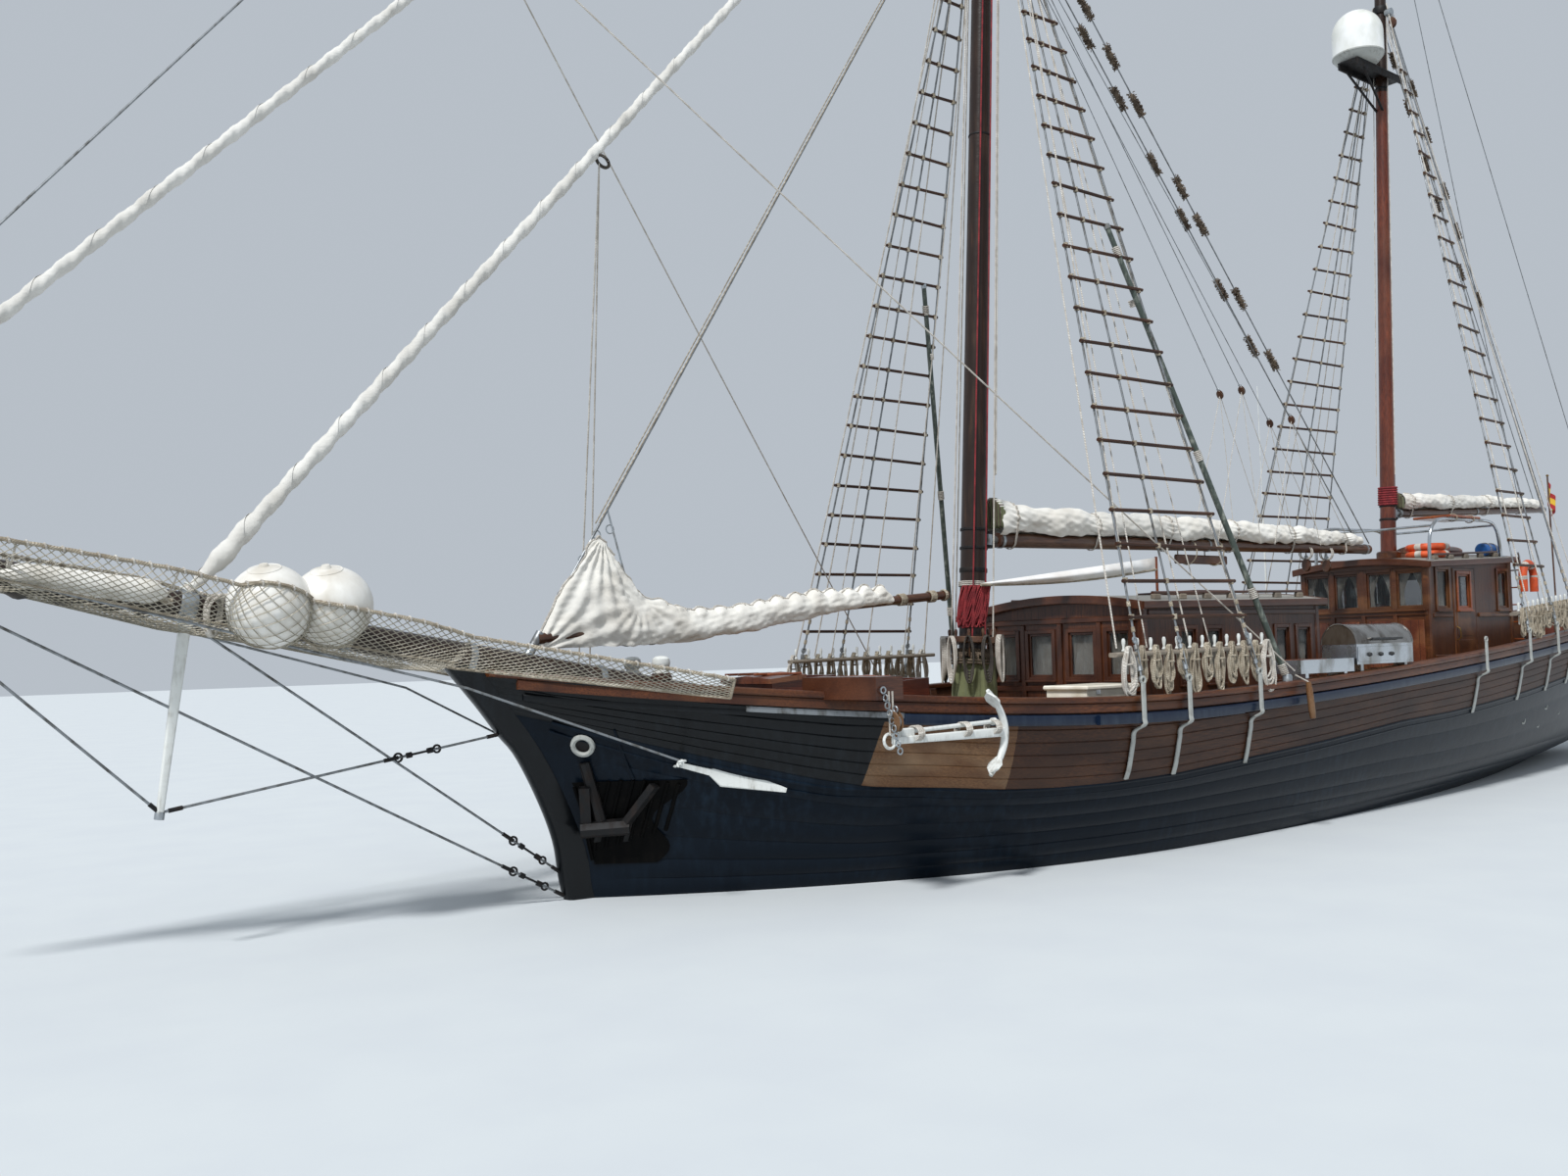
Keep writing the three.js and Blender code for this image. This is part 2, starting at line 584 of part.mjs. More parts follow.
// Booms with their furled sails. Sections of a bundle: [share of the boom, half width, half height]
function makeBoom(name, mast, neck, sections) {
  const { pivot, up } = gooseneck(mast, neck);
  const end = point(neck.boomEndX, 0, neck.boomEndZ);
  const along = end.clone().sub(pivot).normalize();
  const eye = rod(up(pivot, -shelfGap), up(pivot, shelfGap), 50, 50, 16);
  const stub = rod(pivot, pivot.clone().addScaledVector(along, 160), 45, 45, 12);
  const makeSpar = (spare) => rod(pivot.clone().addScaledVector(along, 120 - spare), end.clone()
    .addScaledVector(along, spare), neck.boomRadius + spare, neck.boomRadius * 0.8 + spare, 14);
  const boom = join(eye, stub, makeSpar(0));
  const rings = sections.map(([share, halfWidth, halfHeight]) => {
    const centre = pivot.clone().lerp(end, share).add(point(0, 0, halfHeight + neck.boomRadius * 0.4));
    return oval(centre, halfWidth, halfHeight);
  });
  const bundle = fit(loft(rings), "", makeSpar(gap));
  addSolid(`${name}_boom`, boom, "sparWood");
  addSolid(`${name}_sail_furled`, bundle, "canvas");
}

function oval(centre, halfWidth, halfHeight, points = 12) {
  return Array.from({ length: points }, (_, index) => {
    const angle = (index + 0.5) * 2 * Math.PI / points;
    return centre.clone().add(point(0, halfWidth * Math.cos(angle), halfHeight * Math.sin(angle)));
  });
}

makeBoom("main", masts.main, goosenecks.main,
  [[0.02, 150, 235], [0.06, 185, 205], [0.3, 185, 180], [0.6, 170, 160], [0.85, 140, 130], [0.965, 90, 95]]);
makeBoom("mizzen", masts.mizzen, goosenecks.mizzen,
  [[0.03, 120, 170], [0.1, 150, 150], [0.5, 140, 130], [0.85, 110, 105], [0.96, 70, 75]]);

// Staysail, lowered on its club boom, all turning about the stay
function makeStaysail() {
  const makeStay = (spare) => rod(onStay(-spare), onStay(stayLength + spare), 12 + spare, 12 + spare, 8);
  const makeSleeve = (spare) => rod(onStay(4 - spare), onStay(130 + spare), 42 + spare, 42 + spare, 12);
  const heel = onStay(66);
  const tip = point(staysail.boomEndX, 0, staysail.boomEndZ);
  const makeSpar = (spare) => (
    rod(heel, tip, staysail.boomRadius + spare, staysail.boomRadius * 0.85 + spare, 12));
  const boom = join(makeStay(0), makeSleeve(0), makeSpar(0));
  // The cloth wraps the boom and rises to its peak against the stay: [x, bottom, top, half width]
  const heaps = [
    [9640, 2200, 2520, 60], [9420, 2185, 2870, 80], [9180, 2180, 3215, 60], [8940, 2185, 2900, 95],
    [8560, 2205, 2640, 120], [7270, 2345, 2640, 130], [6250, 2480, 2770, 120], [5600, 2560, 2760, 95],
  ];
  const rings = heaps.map(([x, low, top, halfWidth]) => (
    oval(point(x, 0, (low + top) / 2), halfWidth, (top - low) / 2)));
  const bundle = fit(loft(rings), "", makeStay(gap), makeSleeve(gap), makeSpar(gap));
  addSolid("staysail_boom", boom, "sparWood");
  addSolid("staysail_furled", bundle, "canvas");
}

makeStaysail();

// Martingale under the bowsprit with the stays that hold it down
const martingale = { topX: 12710, footX: 12900, footZ: 1070, tipBandX: 14780, stemFoot: point(9585, 0, 40) };

function makeMartingale(spare) {
  const foot = point(martingale.footX, 0, martingale.footZ);
  const band = (x, length) => rod(bowspritAt(x - length / 2 - spare), bowspritAt(x + length / 2 + spare),
    bowspritRadius(x) + 22 + spare, bowspritRadius(x) + 22 + spare, 14);
  const under = (x) => bowspritAt(x).add(point(0, 0, -bowspritRadius(x) - 10));
  const bar = (from, to, radius, facets = 6) => rod(from, to, radius + spare, radius + spare, facets);
  return join(
    band(martingale.topX, 120),
    band(martingale.tipBandX, 260),
    bar(under(martingale.topX), foot.clone().add(point(8, 0, -60)), 40, 10),
    bar(under(martingale.tipBandX), foot, 11),
    bar(under(martingale.tipBandX - 90), martingale.stemFoot, 12),
    bar(foot, point(10190, 0, 1480), 11),
    bar(under(martingale.topX - 20), point(9615, 0, 245), 11),
  );
}

const martingaleRoom = makeMartingale(gap);
addSolid("martingale", fit(fit(makeMartingale(0), "xyz", stem), "", bowspritRoom), "wire");

// Headsails rolled on their stays: [name, foot x, foot z, foot radius, head radius, head z]
const headSails = [
  ["jib_furled", 12720, 2650, 62, 34, 13060],
  ["outer_jib_furled", 15360, 3130, 52, 28, 15410],
];
const headRooms = headSails.map(([name, footX, footZ, footRadius, headRadius, headZ]) => {
  const head = mastAt(masts.main, headZ);
  const roll = (spare) => (
    rod(point(footX, 0, footZ - 60 - spare), head, footRadius + spare, headRadius + spare, 12));
  addSolid(name, fit(roll(0), "", bowspritRoom, mastRoom.main, martingaleRoom), "canvas");
  return roll(gap);
});

// Net under the bowsprit, its wings out to the rails: [x, half width at the top, top, bottom]
const netSections = [[14450, 260, 3030, 2750], [14000, 350, 3010, 2670], [12900, 550, 2820, 2400],
  [12000, 620, 2600, 2260], [11200, 750, 2420, 2080], [10780, 760, 2300, 2040]];
const netCloth = 22;
const wingEnd = [8800, 1480, 1740, 1550, 1900]; // x, then y and z of the wing's lower and upper edge
const fenders = { radius: 310, y: 430, z: 2565, foreX: 12230, aftX: 11770 }; // two balls carried in the net

function makeNet() {
  const trough = loft(netSections.map(([x, half, top, bottom]) => [
    point(x, -half, top), point(x, -half * 0.4, bottom), point(x, half * 0.4, bottom), point(x, half, top),
    point(x, half - netCloth, top), point(x, half * 0.4 - 10, bottom + netCloth),
    point(x, 10 - half * 0.4, bottom + netCloth), point(x, netCloth - half, top),
  ]));
  const [x, half, top, bottom] = netSections[netSections.length - 1];
  const wings = [1, -1].map((side) => {
    const section = (at, lowY, lowZ, highY, highZ) => [
      [lowY, lowZ], [highY, highZ], [highY - netCloth, highZ], [lowY - netCloth, lowZ + 8],
    ].map(([y, z]) => point(at, side * y, z));
    const root = [x + 80, half * 0.4 + 10, bottom + 24, half - 14, top + 6];
    const steps = 8; // few enough for the file, enough that the twisted cloth doesn't fold through itself
    return loft(Array.from({ length: steps + 1 }, (_, step) => (
      section(...root.map((start, index) => lerp(start, wingEnd[index], step / steps))))));
  });
  const balls = [fenders.foreX, fenders.aftX].map((at) => (
    ball(point(at, fenders.y, fenders.z), fenders.radius, 18)));
  const cut = fit(join(trough, ...wings, ...balls), "", bowspritRoom, martingaleRoom, headRooms[0]);
  return fit(cut, "xyz", stem, ...Object.values(capRail));
}

addSolid("bowsprit_net", makeNet(), "netting");

// Shrouds, chainplates and pin rails: chains and rails along x, heights above the cap rail
const rigs = {
  main: { mast: masts.main, chains: [4780, 4090, 2880], railFore: 5000, railAft: 2500, room: mastRoom.main },
  mizzen: {
    mast: masts.mizzen, chains: [-4200, -5400, -6400], railFore: -4050, railAft: -6600, room: mastRoom.mizzen,
  },
};

function chainLine(rig, x, side) {
  const { mast } = rig;
  const beside = mastRadius(mast, mast.houndsZ) + 20;
  const head = mastAt(mast, mast.houndsZ).add(point(0, side * beside, 0));
  const foot = point(x, side * (capLevel.halfAt(x) + rubRailDepth), sheer(x) + 110);
  return { head, foot };
}

const standOff = 6; // of a chainplate from the hull's curve

function chainplate(x, side) {
  const topZ = sheer(x) + 140;
  const bendZ = sheer(x) - rubRailTop - rubRailHeight - 15;
  const lowZ = sheer(x) - 800;
  const lowY = topsideHalf(x, lowZ) + standOff;
  const inner = capLevel.halfAt(x) + rubRailDepth - 10;
  const outline = [[lowY, lowZ], [lowY + 14, lowZ], [inner + 18, bendZ], [inner + 18, topZ], [inner, topZ],
    [inner, bendZ]].map(([y, z]) => [side * y, z]);
  return plateYZ(side > 0 ? outline : outline.reverse(), x - 38, x + 38);
}

function makeShroudWires(rig, side, spare) {
  const wires = rig.chains.flatMap((x) => {
    const { head, foot } = chainLine(rig, x, side);
    const screw = [foot.clone().lerp(head, 0.004), foot.clone().lerp(head, 0.042)];
    return [rod(foot, head, 12 + spare, 12 + spare, 6), rod(...screw, 27 + spare, 22 + spare, 8)];
  });
  return join(...wires);
}

function makeShrouds(rig, side) {
  const head = mastAt(rig.mast, rig.mast.houndsZ - 60);
  const beside = (y) => head.clone().add(point(0, side * y, 0));
  const eye = rod(beside(90), beside(190), 60, 60, 10);
  const plates = rig.chains.map((x) => chainplate(x, side));
  return fit(join(eye, makeShroudWires(rig, side, 0), makePinRail(rig, side), ...plates), "", rig.room);
}

function makePinRail(rig, side) {
  const z = (x) => sheer(x) + 390;
  const y = (x) => side * (capLevel.halfAt(x) - 75);
  return bar(point(rig.railFore, y(rig.railFore), z(rig.railFore)), point(rig.railAft, y(rig.railAft),
    z(rig.railAft)), 190, 45);
}

const shroudRoom = {};
for (const [name, rig] of Object.entries(rigs)) {
  for (const [sideName, side] of sides) {
    shroudRoom[`${name}_${sideName}`] = makeShroudWires(rig, side, gap);
    addSolid(`${name}_shrouds_${sideName}`, makeShrouds(rig, side), "wire");
  }
}

// Deckhouses: front, back and side walls under a cambered roof, windows cut, a hinged door in each
const eaves = (house, x) => (
  lerp(house.frontZ, house.backZ, (house.frontX - x) / (house.frontX - house.backX)));

function makeRoof(house, backOverhang = roofOverhang) {
  const half = house.half + roofOverhang;
  const rings = [house.backX - backOverhang, house.frontX + roofOverhang].map((x) => {
    const edge = eaves(house, x) - house.camber * roofOverhang / house.half + gap;
    const crown = eaves(house, x) + house.camber + gap;
    const line = [[-half, edge], [0, crown], [half, edge]];
    const above = line.map(([y, z]) => [y, z + roofThickness]).reverse();
    return [...line, ...above].map(([y, z]) => point(x, y, z));
  });
  return loft(rings);
}

function endWall(house, x0, x1) {
  const low = deckTop(x1) - 200;
  const top = eaves(house, x1);
  return plateYZ([[-house.half, low], [house.half, low], [house.half, top], [0, top + house.camber],
    [-house.half, top]], x0, x1);
}

function sideWall(house, side) {
  const [aft, fore] = [house.backX + house.wall + gap, house.frontX - house.wall - gap];
  const low = Math.min(deckTop(aft), deckTop(fore)) - 200;
  const [y0, y1] = [house.half - house.wall, house.half].map((y) => side * y).sort((a, b) => a - b);
  return plateXZ([[aft, low], [fore, low], [fore, eaves(house, fore)], [aft, eaves(house, aft)]], y0, y1);
}

// A leaf hinged about its outer edge: the hinge's place, then unit steps to the lock and outwards.
function doorLeaf(hinge, toLock, outward, length, low, high) {
  const corner = (along, out) => hinge.clone().addScaledVector(toLock, along).addScaledVector(outward, out);
  const [a, b] = [corner(0, -doorInset - doorThickness), corner(length, -doorInset)];
  const [inner, outer] = [a.clone().min(b), a.clone().max(b)];
  const leaf = box(inner.x, outer.x, inner.y, outer.y, low, high);
  const knuckle = rod(hinge.clone().setZ(low), hinge.clone().setZ(high), knuckleRadius, knuckleRadius, 12);
  return join(leaf, knuckle);
}

const saloonWindows = {
  // front: [y0, y1], both sides alike; side: [x0, x1]
  front: [[127, 497], [693, 1000]],
  side: [[1860, 2140], [1340, 1620], [-100, 180], [-580, -300]],
  z: [1730, 2250],
  sideZ: [1650, 2250],
};
const wheelhouseWindows = {
  front: [[70, 450], [530, 930]],
  side: [[-4720, -4370], [-6620, -6300]],
  z: [2520, 3050],
  sideZ: [2500, 3060],
};
const helm = { x: -4420, z: 2250, hub: 60, radius: 340, spokes: 6 };
const helmBoss = rod(point(helm.x + helm.hub, 0, helm.z), point(wheelhouse.frontX - 20, 0, helm.z), 90,
  110, 12);
const openWindows = (wall, cuts) => cuts.reduce((rest, cut) => rest.subtract(cut), wall);

const saloonDoor = { y0: -300, y1: 300, low: 1330, high: 2500 };
const sideDoor = { x0: -5550, x1: -4850, low: 1560, high: 3090 };

function makeDeckhouse(name, house, windows, backCuts, sideCuts, roof) {
  const front = openWindows(endWall(house, house.frontX - house.wall, house.frontX),
    windows.front.flatMap(([y0, y1]) => [1, -1].map((side) => box(house.frontX - 200, house.frontX + 100,
      Math.min(side * y0, side * y1), Math.max(side * y0, side * y1), ...windows.z))));
  const back = openWindows(endWall(house, house.backX, house.backX + house.wall), backCuts);
  addSolid(`${name}_front`, onDeck(name === "wheelhouse" ? join(front, helmBoss) : front), "varnish");
  addSolid(`${name}_back`, onDeck(back), "darkVarnish");
  for (const [sideName, side] of sides) {
    const [y0, y1] = [side * house.half - 150, side * house.half + 150];
    const cuts = windows.side.map(([x0, x1]) => box(x0, x1, y0, y1, ...windows.sideZ));
    const doorways = sideCuts.map(([x0, x1, z0, z1]) => box(x0, x1, y0, y1, z0, z1));
    addSolid(`${name}_side_${sideName}`, onDeck(openWindows(sideWall(house, side), [...cuts, ...doorways])),
      "darkVarnish");
  }
  addSolid(`${name}_roof`, roof, "greyWood");
}

makeDeckhouse("saloon", saloon, saloonWindows, [
  box(saloon.backX - 100, saloon.backX + 200, saloonDoor.y0, saloonDoor.y1, saloonDoor.low, saloonDoor.high),
], [], makeRoof(saloon));
const wheelhouseRoof = fit(makeRoof(wheelhouse), "", mastRoom.mizzen);
makeDeckhouse("wheelhouse", wheelhouse, wheelhouseWindows, [
  box(wheelhouse.backX - 100, wheelhouse.backX + 200, -800, -200, 2450, 3050),
  box(wheelhouse.backX - 100, wheelhouse.backX + 200, 200, 800, 2450, 3050),
], [[sideDoor.x0, sideDoor.x1, sideDoor.low, sideDoor.high]], wheelhouseRoof);

function makeDoors() {
  const clearance = 6;
  const backHinge = point(saloon.backX, saloonDoor.y1 - knuckleRadius - gap, 0);
  const back = doorLeaf(backHinge, point(0, -1, 0), point(-1, 0, 0),
    saloonDoor.y1 - saloonDoor.y0 - knuckleRadius - clearance, saloonDoor.low + clearance,
    saloonDoor.high - clearance);
  addSolid("saloon_door", back, "varnish");
  for (const [name, side] of sides) {
    const hinge = point(sideDoor.x1 - knuckleRadius - gap, side * wheelhouse.half, 0);
    const leaf = doorLeaf(hinge, point(-1, 0, 0), point(0, side, 0),
      sideDoor.x1 - sideDoor.x0 - knuckleRadius - clearance, sideDoor.low + clearance,
      sideDoor.high - clearance);
    const [y0, y1] = side > 0 ? [900, 1100] : [-1100, -900];
    const window = box(sideDoor.x0 + 170, sideDoor.x1 - 170, y0, y1, 2500, 3000);
    addSolid(`wheelhouse_door_${name}`, leaf.subtract(window), "varnish");
  }
}

makeDoors();

// Foredeck companions with sliding lids, pushed forward: aft and forward ends, top heights
const companions = {
  fore: { aft: 6700, fore: 7500, half: 380, aftZ: 1880, foreZ: 1820 },
  mid: { aft: 5430, fore: 6450, half: 400, aftZ: 1810, foreZ: 1755 },
};
const coamingThickness = 38;

for (const [name, hatch] of Object.entries(companions)) {
  const { aft, fore, half, aftZ, foreZ } = hatch;
  const middle = (aft + fore) / 2;
  const topAt = (x) => lerp(aftZ, foreZ, (x - aft) / (fore - aft));
  const sheath = plateXZ([[aft, 850], [fore, 850], [fore, foreZ], [aft, aftZ]], -half, half);
  const t = coamingThickness;
  const inside = plateXZ([[aft + t, 800], [fore - t, 800], [fore - t, topAt(fore - t) - t],
    [middle, topAt(middle) - t], [middle, 2200], [aft + t, 2200]], t - half, half - t);
  addSolid(`companion_${name}`, onDeck(sheath.subtract(inside)), "greyWood");
  const section = (x) => {
    const z = topAt(x) + gap;
    const edge = half + 25;
    return [[0, z + 75], [edge, z + 45], [edge, z], [-edge, z], [-edge, z + 45]]
      .map(([across, height]) => point(x, across, height));
  };
  addSolid(`companion_lid_${name}`, loft([section(middle - 10), section(fore + 40)]), "greyWood");
}

// Catheads over the rail, the port anchor hung from its one
const cathead = { x0: 7740, x1: 8040, inner: 1500, outer: 2450, low: 1700, high: 1890, kneeWidth: 140 };
const anchor = { ringX: 7800, crownX: 6520, y: 2440, z: 1360 };
const catheads = {};
for (const [name, side] of sides) {
  const across = (y) => [side * cathead.inner, side * y].sort((a, b) => a - b);
  const beam = box(cathead.x0, cathead.x1, ...across(cathead.outer), cathead.low, cathead.high);
  const knee = box(cathead.x0 + 60, cathead.x1 - 60, ...across(cathead.inner + cathead.kneeWidth), 900,
    cathead.low + 20);
  catheads[name] = onDeck(fit(join(beam, knee), "xyz", capRail[name], bulwark[name]));
  addSolid(`cathead_${name}`, catheads[name], "darkVarnish");
}

function makePortAnchor() {
  const ring = point(anchor.ringX, anchor.y, anchor.z);
  const crown = point(anchor.crownX, anchor.y, anchor.z);
  const arm = (side) => {
    const elbow = point(anchor.crownX + 60, anchor.y, anchor.z + side * 220);
    const palm = point(anchor.crownX + 190, anchor.y, anchor.z + side * 360);
    const blade = bar(elbow.clone().lerp(palm, 0.2), palm.clone().lerp(elbow, -0.25), 170, 22);
    return join(rod(crown, elbow, 40, 32, 8), rod(elbow, palm, 32, 20, 8), blade);
  };
  const fromRing = (x, y, z) => ring.clone().add(point(x, y, z));
  const stock = rod(fromRing(-40, -60, 60), fromRing(-1150, -20, 95), 18, 18, 8);
  const strop = rod(fromRing(40, 0, 0), fromRing(60, -60, 0).setZ(cathead.low + 60), 26, 26, 8);
  const shank = rod(fromRing(70, 0, 0), crown, 34, 40, 10);
  const web = bar(fromRing(-60, -30, 35), fromRing(-200, -30, 35), 50, 120);
  const whole = join(shank, arm(1), arm(-1), stock, strop, web);
  return fit(whole, "xyz", catheads.port, bulwark.port, capRail.port, hullShell);
}

addSolid("anchor_port", makePortAnchor(), "whiteSteel");

// Anchor housed against the port bow, flukes up, shank up to the hawse
function makeBowAnchor(name, side) {
  const at = (x, z, proud) => point(x, side * (topsideHalf(x, z) + proud), z);
  const shank = rod(at(9560, 1210, 20), at(9380, 700, 45), 48, 55, 8);
  const crown = rod(at(9520, 620, 50), at(9180, 640, 60), 75, 75, 8);
  const flukes = [[9480, 9560], [9220, 9090]].map(([low, high]) => (
    bar(at(low, 640, 60), at(high, 1000, 75), 90, 60)));
  addSolid(`bow_anchor_${name}`, fit(join(shank, crown, ...flukes), "xyz", hullShell, stem, bulwark[name]),
    "blackIron");
}

makeBowAnchor("port", 1);

// Gear along the port rail: a trough, the barbecue on its own bracket, and a locker on deck
const trough = { x0: 830, x1: 1930, y0: 2230, y1: 2560, height: 150, wall: 8 };
const barbecue = { x0: -520, x1: 760, y0: 2130, y1: 2560, low: 25, body: 230, dome: 230, wall: 10 };

function makeRailGear() {
  const base = sheer((trough.x0 + trough.x1) / 2) + 40;
  const t = trough.wall;
  const tub = box(trough.x0, trough.x1, trough.y0, trough.y1, base, base + trough.height)
    .subtract(box(trough.x0 + t, trough.x1 - t, trough.y0 + t, trough.y1 - t, base + t, base + 500));
  const feet = [trough.x0 + 150, trough.x1 - 150].map((x) => (
    box(x - 30, x + 30, trough.y0 + 100, trough.y1 - 20, base - 140, base + 4)));
  addSolid("rail_trough", fit(join(tub, ...feet), "xyz", capRail.port, bulwark.port), "stainless");
}

makeRailGear();

function makeBarbecue() {
  const { x0, x1, y0, y1, wall, body, dome } = barbecue;
  const low = sheer(x0) + barbecue.low;
  const rim = low + body;
  const hollow = box(x0 + wall, x1 - wall, y0 + wall, y1 - wall, low + 60, rim + 100);
  const tub = box(x0, x1, y0, y1, low, rim).subtract(hollow);
  const feet = [x0 + 140, x1 - 140].map((x) => box(x - 30, x + 30, y1 - 160, y1 - 20, low - 160, low + 4));
  const hinge = point(0, y0 - 16, rim + 12);
  const eyes = [x0 + 120, x1 - 120].map((x) => join(
    rod(point(x - 30, hinge.y, hinge.z), point(x + 30, hinge.y, hinge.z), 12, 12, 10),
    box(x - 30, x + 30, hinge.y - 8, y0 - 2, rim - 50, hinge.z),
    box(x - 30, x + 30, hinge.y - 8, y0 + 4, rim - 50, rim - 2),
  ));
  addSolid("barbecue", fit(join(tub, ...feet, ...eyes), "xyz", capRail.port, bulwark.port), "stainless");
  const depth = (y1 - y0) / 2;
  const shell = (radiusY, radiusZ) => Array.from({ length: 9 }, (_, index) => {
    const angle = Math.PI * index / 8;
    return [(y0 + y1) / 2 + radiusY * Math.cos(angle), rim + gap + radiusZ * Math.sin(angle)];
  });
  const outer = plateYZ(shell(depth, dome), x0, x1);
  const inner = plateYZ(shell(depth - wall, dome - wall).map(([y, z]) => [y, z - 1]), x0 + wall, x1 - wall);
  const lugs = [x0 + 120, x1 - 120].map((x) => box(x + 30 + gap, x + 60, hinge.y - 10, y0 + 30, hinge.z - 10,
    hinge.z + 22));
  const handle = rod(point(x0 + 300, y1 + 30, rim + 60), point(x1 - 300, y1 + 30, rim + 60), 12, 12, 8);
  const arms = [x0 + 320, x1 - 320].map((x) => (
    rod(point(x, y1 + 30, rim + 60), point(x, y1 - 40, rim + 70), 8, 8, 6)));
  addSolid("barbecue_lid", join(outer.subtract(inner), ...lugs, handle, ...arms), "stainless");
}

makeBarbecue();
const locker = { x0: 4330, x1: 5090, y0: 1700, y1: 2200, low: 850, top: 1670 };
addSolid("deck_locker", onDeck(box(locker.x0, locker.x1, locker.y0, locker.y1, locker.low, locker.top)),
  "whitePlastic");

// Boat booms stowed against the main shrouds, feet on the rails
const boatBoom = { footX: 2090, footY: 2490, headX: 3500, headY: 1430, headZ: 6670 };
for (const [name, side] of sides) {
  const foot = point(boatBoom.footX, side * boatBoom.footY, sheer(boatBoom.footX) + 12);
  const head = point(boatBoom.headX, side * boatBoom.headY, boatBoom.headZ);
  const pole = rod(foot, head, 52, 44, 10);
  const shoe = rod(foot.clone().add(point(0, 0, -120)), foot.clone().add(point(0, 0, 60)), 70, 70, 10);
  const lash = foot.clone().lerp(head, 0.825);
  const strop = rod(lash, lash.clone().add(point(20, -side * 90, -10)), 22, 22, 8);
  const stood = fit(join(pole, shoe, strop), "xyz", capRail[name], bulwark[name]);
  addSolid(`boat_boom_${name}`, fit(stood, "", shroudRoom[`main_${name}`]), "whiteSteel");
}

// Dome on the mizzen mast's bracket
function makeRadome() {
  const { x, low, high, radius } = dome;
  const profile = [[0, 0], [radius * 0.72, 0], [radius, 110], [radius, 470]];
  for (let step = 1; step <= 6; step += 1) {
    const angle = step * Math.PI / 12;
    profile.push([step === 6 ? 0 : radius * Math.cos(angle), 470 + (high - low - 470) * Math.sin(angle)]);
  }
  const shape = new THREE.LatheGeometry(profile.map(([r, z]) => new THREE.Vector2(r, z)), 24);
  addSolid("radome", toSolid(shape.rotateX(Math.PI / 2).translate(x, 0, low)), "whitePlastic");
}

makeRadome();

// Tube arches along the wheelhouse roof
function makeRoofArch() {
  const tube = 26;
  const frame = [1, -1].map((side) => {
    const path = [[-4400, 3200], [-4440, 3600], [-4760, 3830], [-6350, 3850], [-6620, 3700], [-6720, 3200]]
      .map(([x, z]) => point(x, side * 900, z));
    const pieces = path.slice(1).map((corner, index) => rod(path[index], corner, tube, tube, 7));
    return join(...pieces);
  });
  const ties = [[-4560, 3725], [-6450, 3780]].map(([x, z]) => (
    rod(point(x, -900, z), point(x, 900, z), 20, 20, 10)));
  addSolid("roof_arch", fit(join(...frame, ...ties), "xyz", wheelhouseRoof), "stainless");
}

makeRoofArch();

// Canvas apron round the foot of the main mast
const apron = { low: 1330, high: 1990, lowFlare: 130, highFlare: 70 };
const skirt = rod(mastAt(masts.main, apron.low), mastAt(masts.main, apron.high),
  mastRadius(masts.main, apron.low) + apron.lowFlare,
  mastRadius(masts.main, apron.high) + apron.highFlare, 20);
addSolid("mast_apron", fit(skirt, "", mastRoom.main), "greenCanvas");

// Steering wheel on a boss of the wheelhouse's front wall
function makeHelm() {
  const { x, z, radius, spokes: count } = helm;
  const rim = toSolid(new THREE.TorusGeometry(radius, 22, 6, 20).rotateY(Math.PI / 2).translate(x, 0, z));
  const hub = rod(point(x + helm.hub - gap, 0, z), point(x - 45, 0, z), 55, 55, 12);
  const spokes = Array.from({ length: count }, (_, index) => {
    const angle = index * 2 * Math.PI / count;
    const reach = (r) => point(x, r * Math.cos(angle), z + r * Math.sin(angle));
    return rod(reach(20), reach(radius + 110), 17, 14, 5);
  });
  addSolid("helm_wheel", join(rim, hub, ...spokes), "varnish");
}

makeHelm();

export default ketch;
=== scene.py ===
import random
from math import atan, cos, pi, radians, sin, sqrt

import bpy
import numpy as np
from mathutils import Matrix, Vector


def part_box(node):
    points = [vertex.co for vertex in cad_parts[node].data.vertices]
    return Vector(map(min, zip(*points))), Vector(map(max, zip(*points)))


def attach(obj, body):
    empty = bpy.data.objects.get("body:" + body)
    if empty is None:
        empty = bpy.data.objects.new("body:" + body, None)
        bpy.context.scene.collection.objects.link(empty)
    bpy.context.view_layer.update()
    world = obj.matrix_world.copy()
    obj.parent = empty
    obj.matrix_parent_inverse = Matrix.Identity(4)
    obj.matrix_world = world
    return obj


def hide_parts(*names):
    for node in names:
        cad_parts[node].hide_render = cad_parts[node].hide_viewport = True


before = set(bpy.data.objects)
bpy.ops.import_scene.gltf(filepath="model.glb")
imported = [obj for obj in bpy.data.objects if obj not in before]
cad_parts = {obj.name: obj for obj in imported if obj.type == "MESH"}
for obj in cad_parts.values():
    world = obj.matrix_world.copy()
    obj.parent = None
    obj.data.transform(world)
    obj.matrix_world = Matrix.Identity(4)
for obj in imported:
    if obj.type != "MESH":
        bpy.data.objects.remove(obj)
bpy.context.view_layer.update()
random.seed(7)
print("frame loaded")


# Mesh building. A shape gathers blocks of points and faces, and becomes one piece.
class Shape:
    def __init__(self):
        self.points, self.faces, self.finishes, self.size = [], [], [], 0

    def add(self, points, faces, finish=0):
        points = np.asarray(points, float).reshape(-1, 3)
        faces = np.asarray(faces, int)
        self.points.append(points)
        self.faces.append(faces + self.size)
        self.finishes.append(np.broadcast_to(np.asarray(finish, int), (len(faces),)))
        self.size += len(points)

    def close(self, back, count, finish=0, flip=False):
        # one face over the ring of points that starts this far back
        ring = np.arange(self.size - back, self.size - back + count)[None]
        self.faces.append(ring[:, ::-1] if flip else ring)
        self.finishes.append(np.full(1, finish))


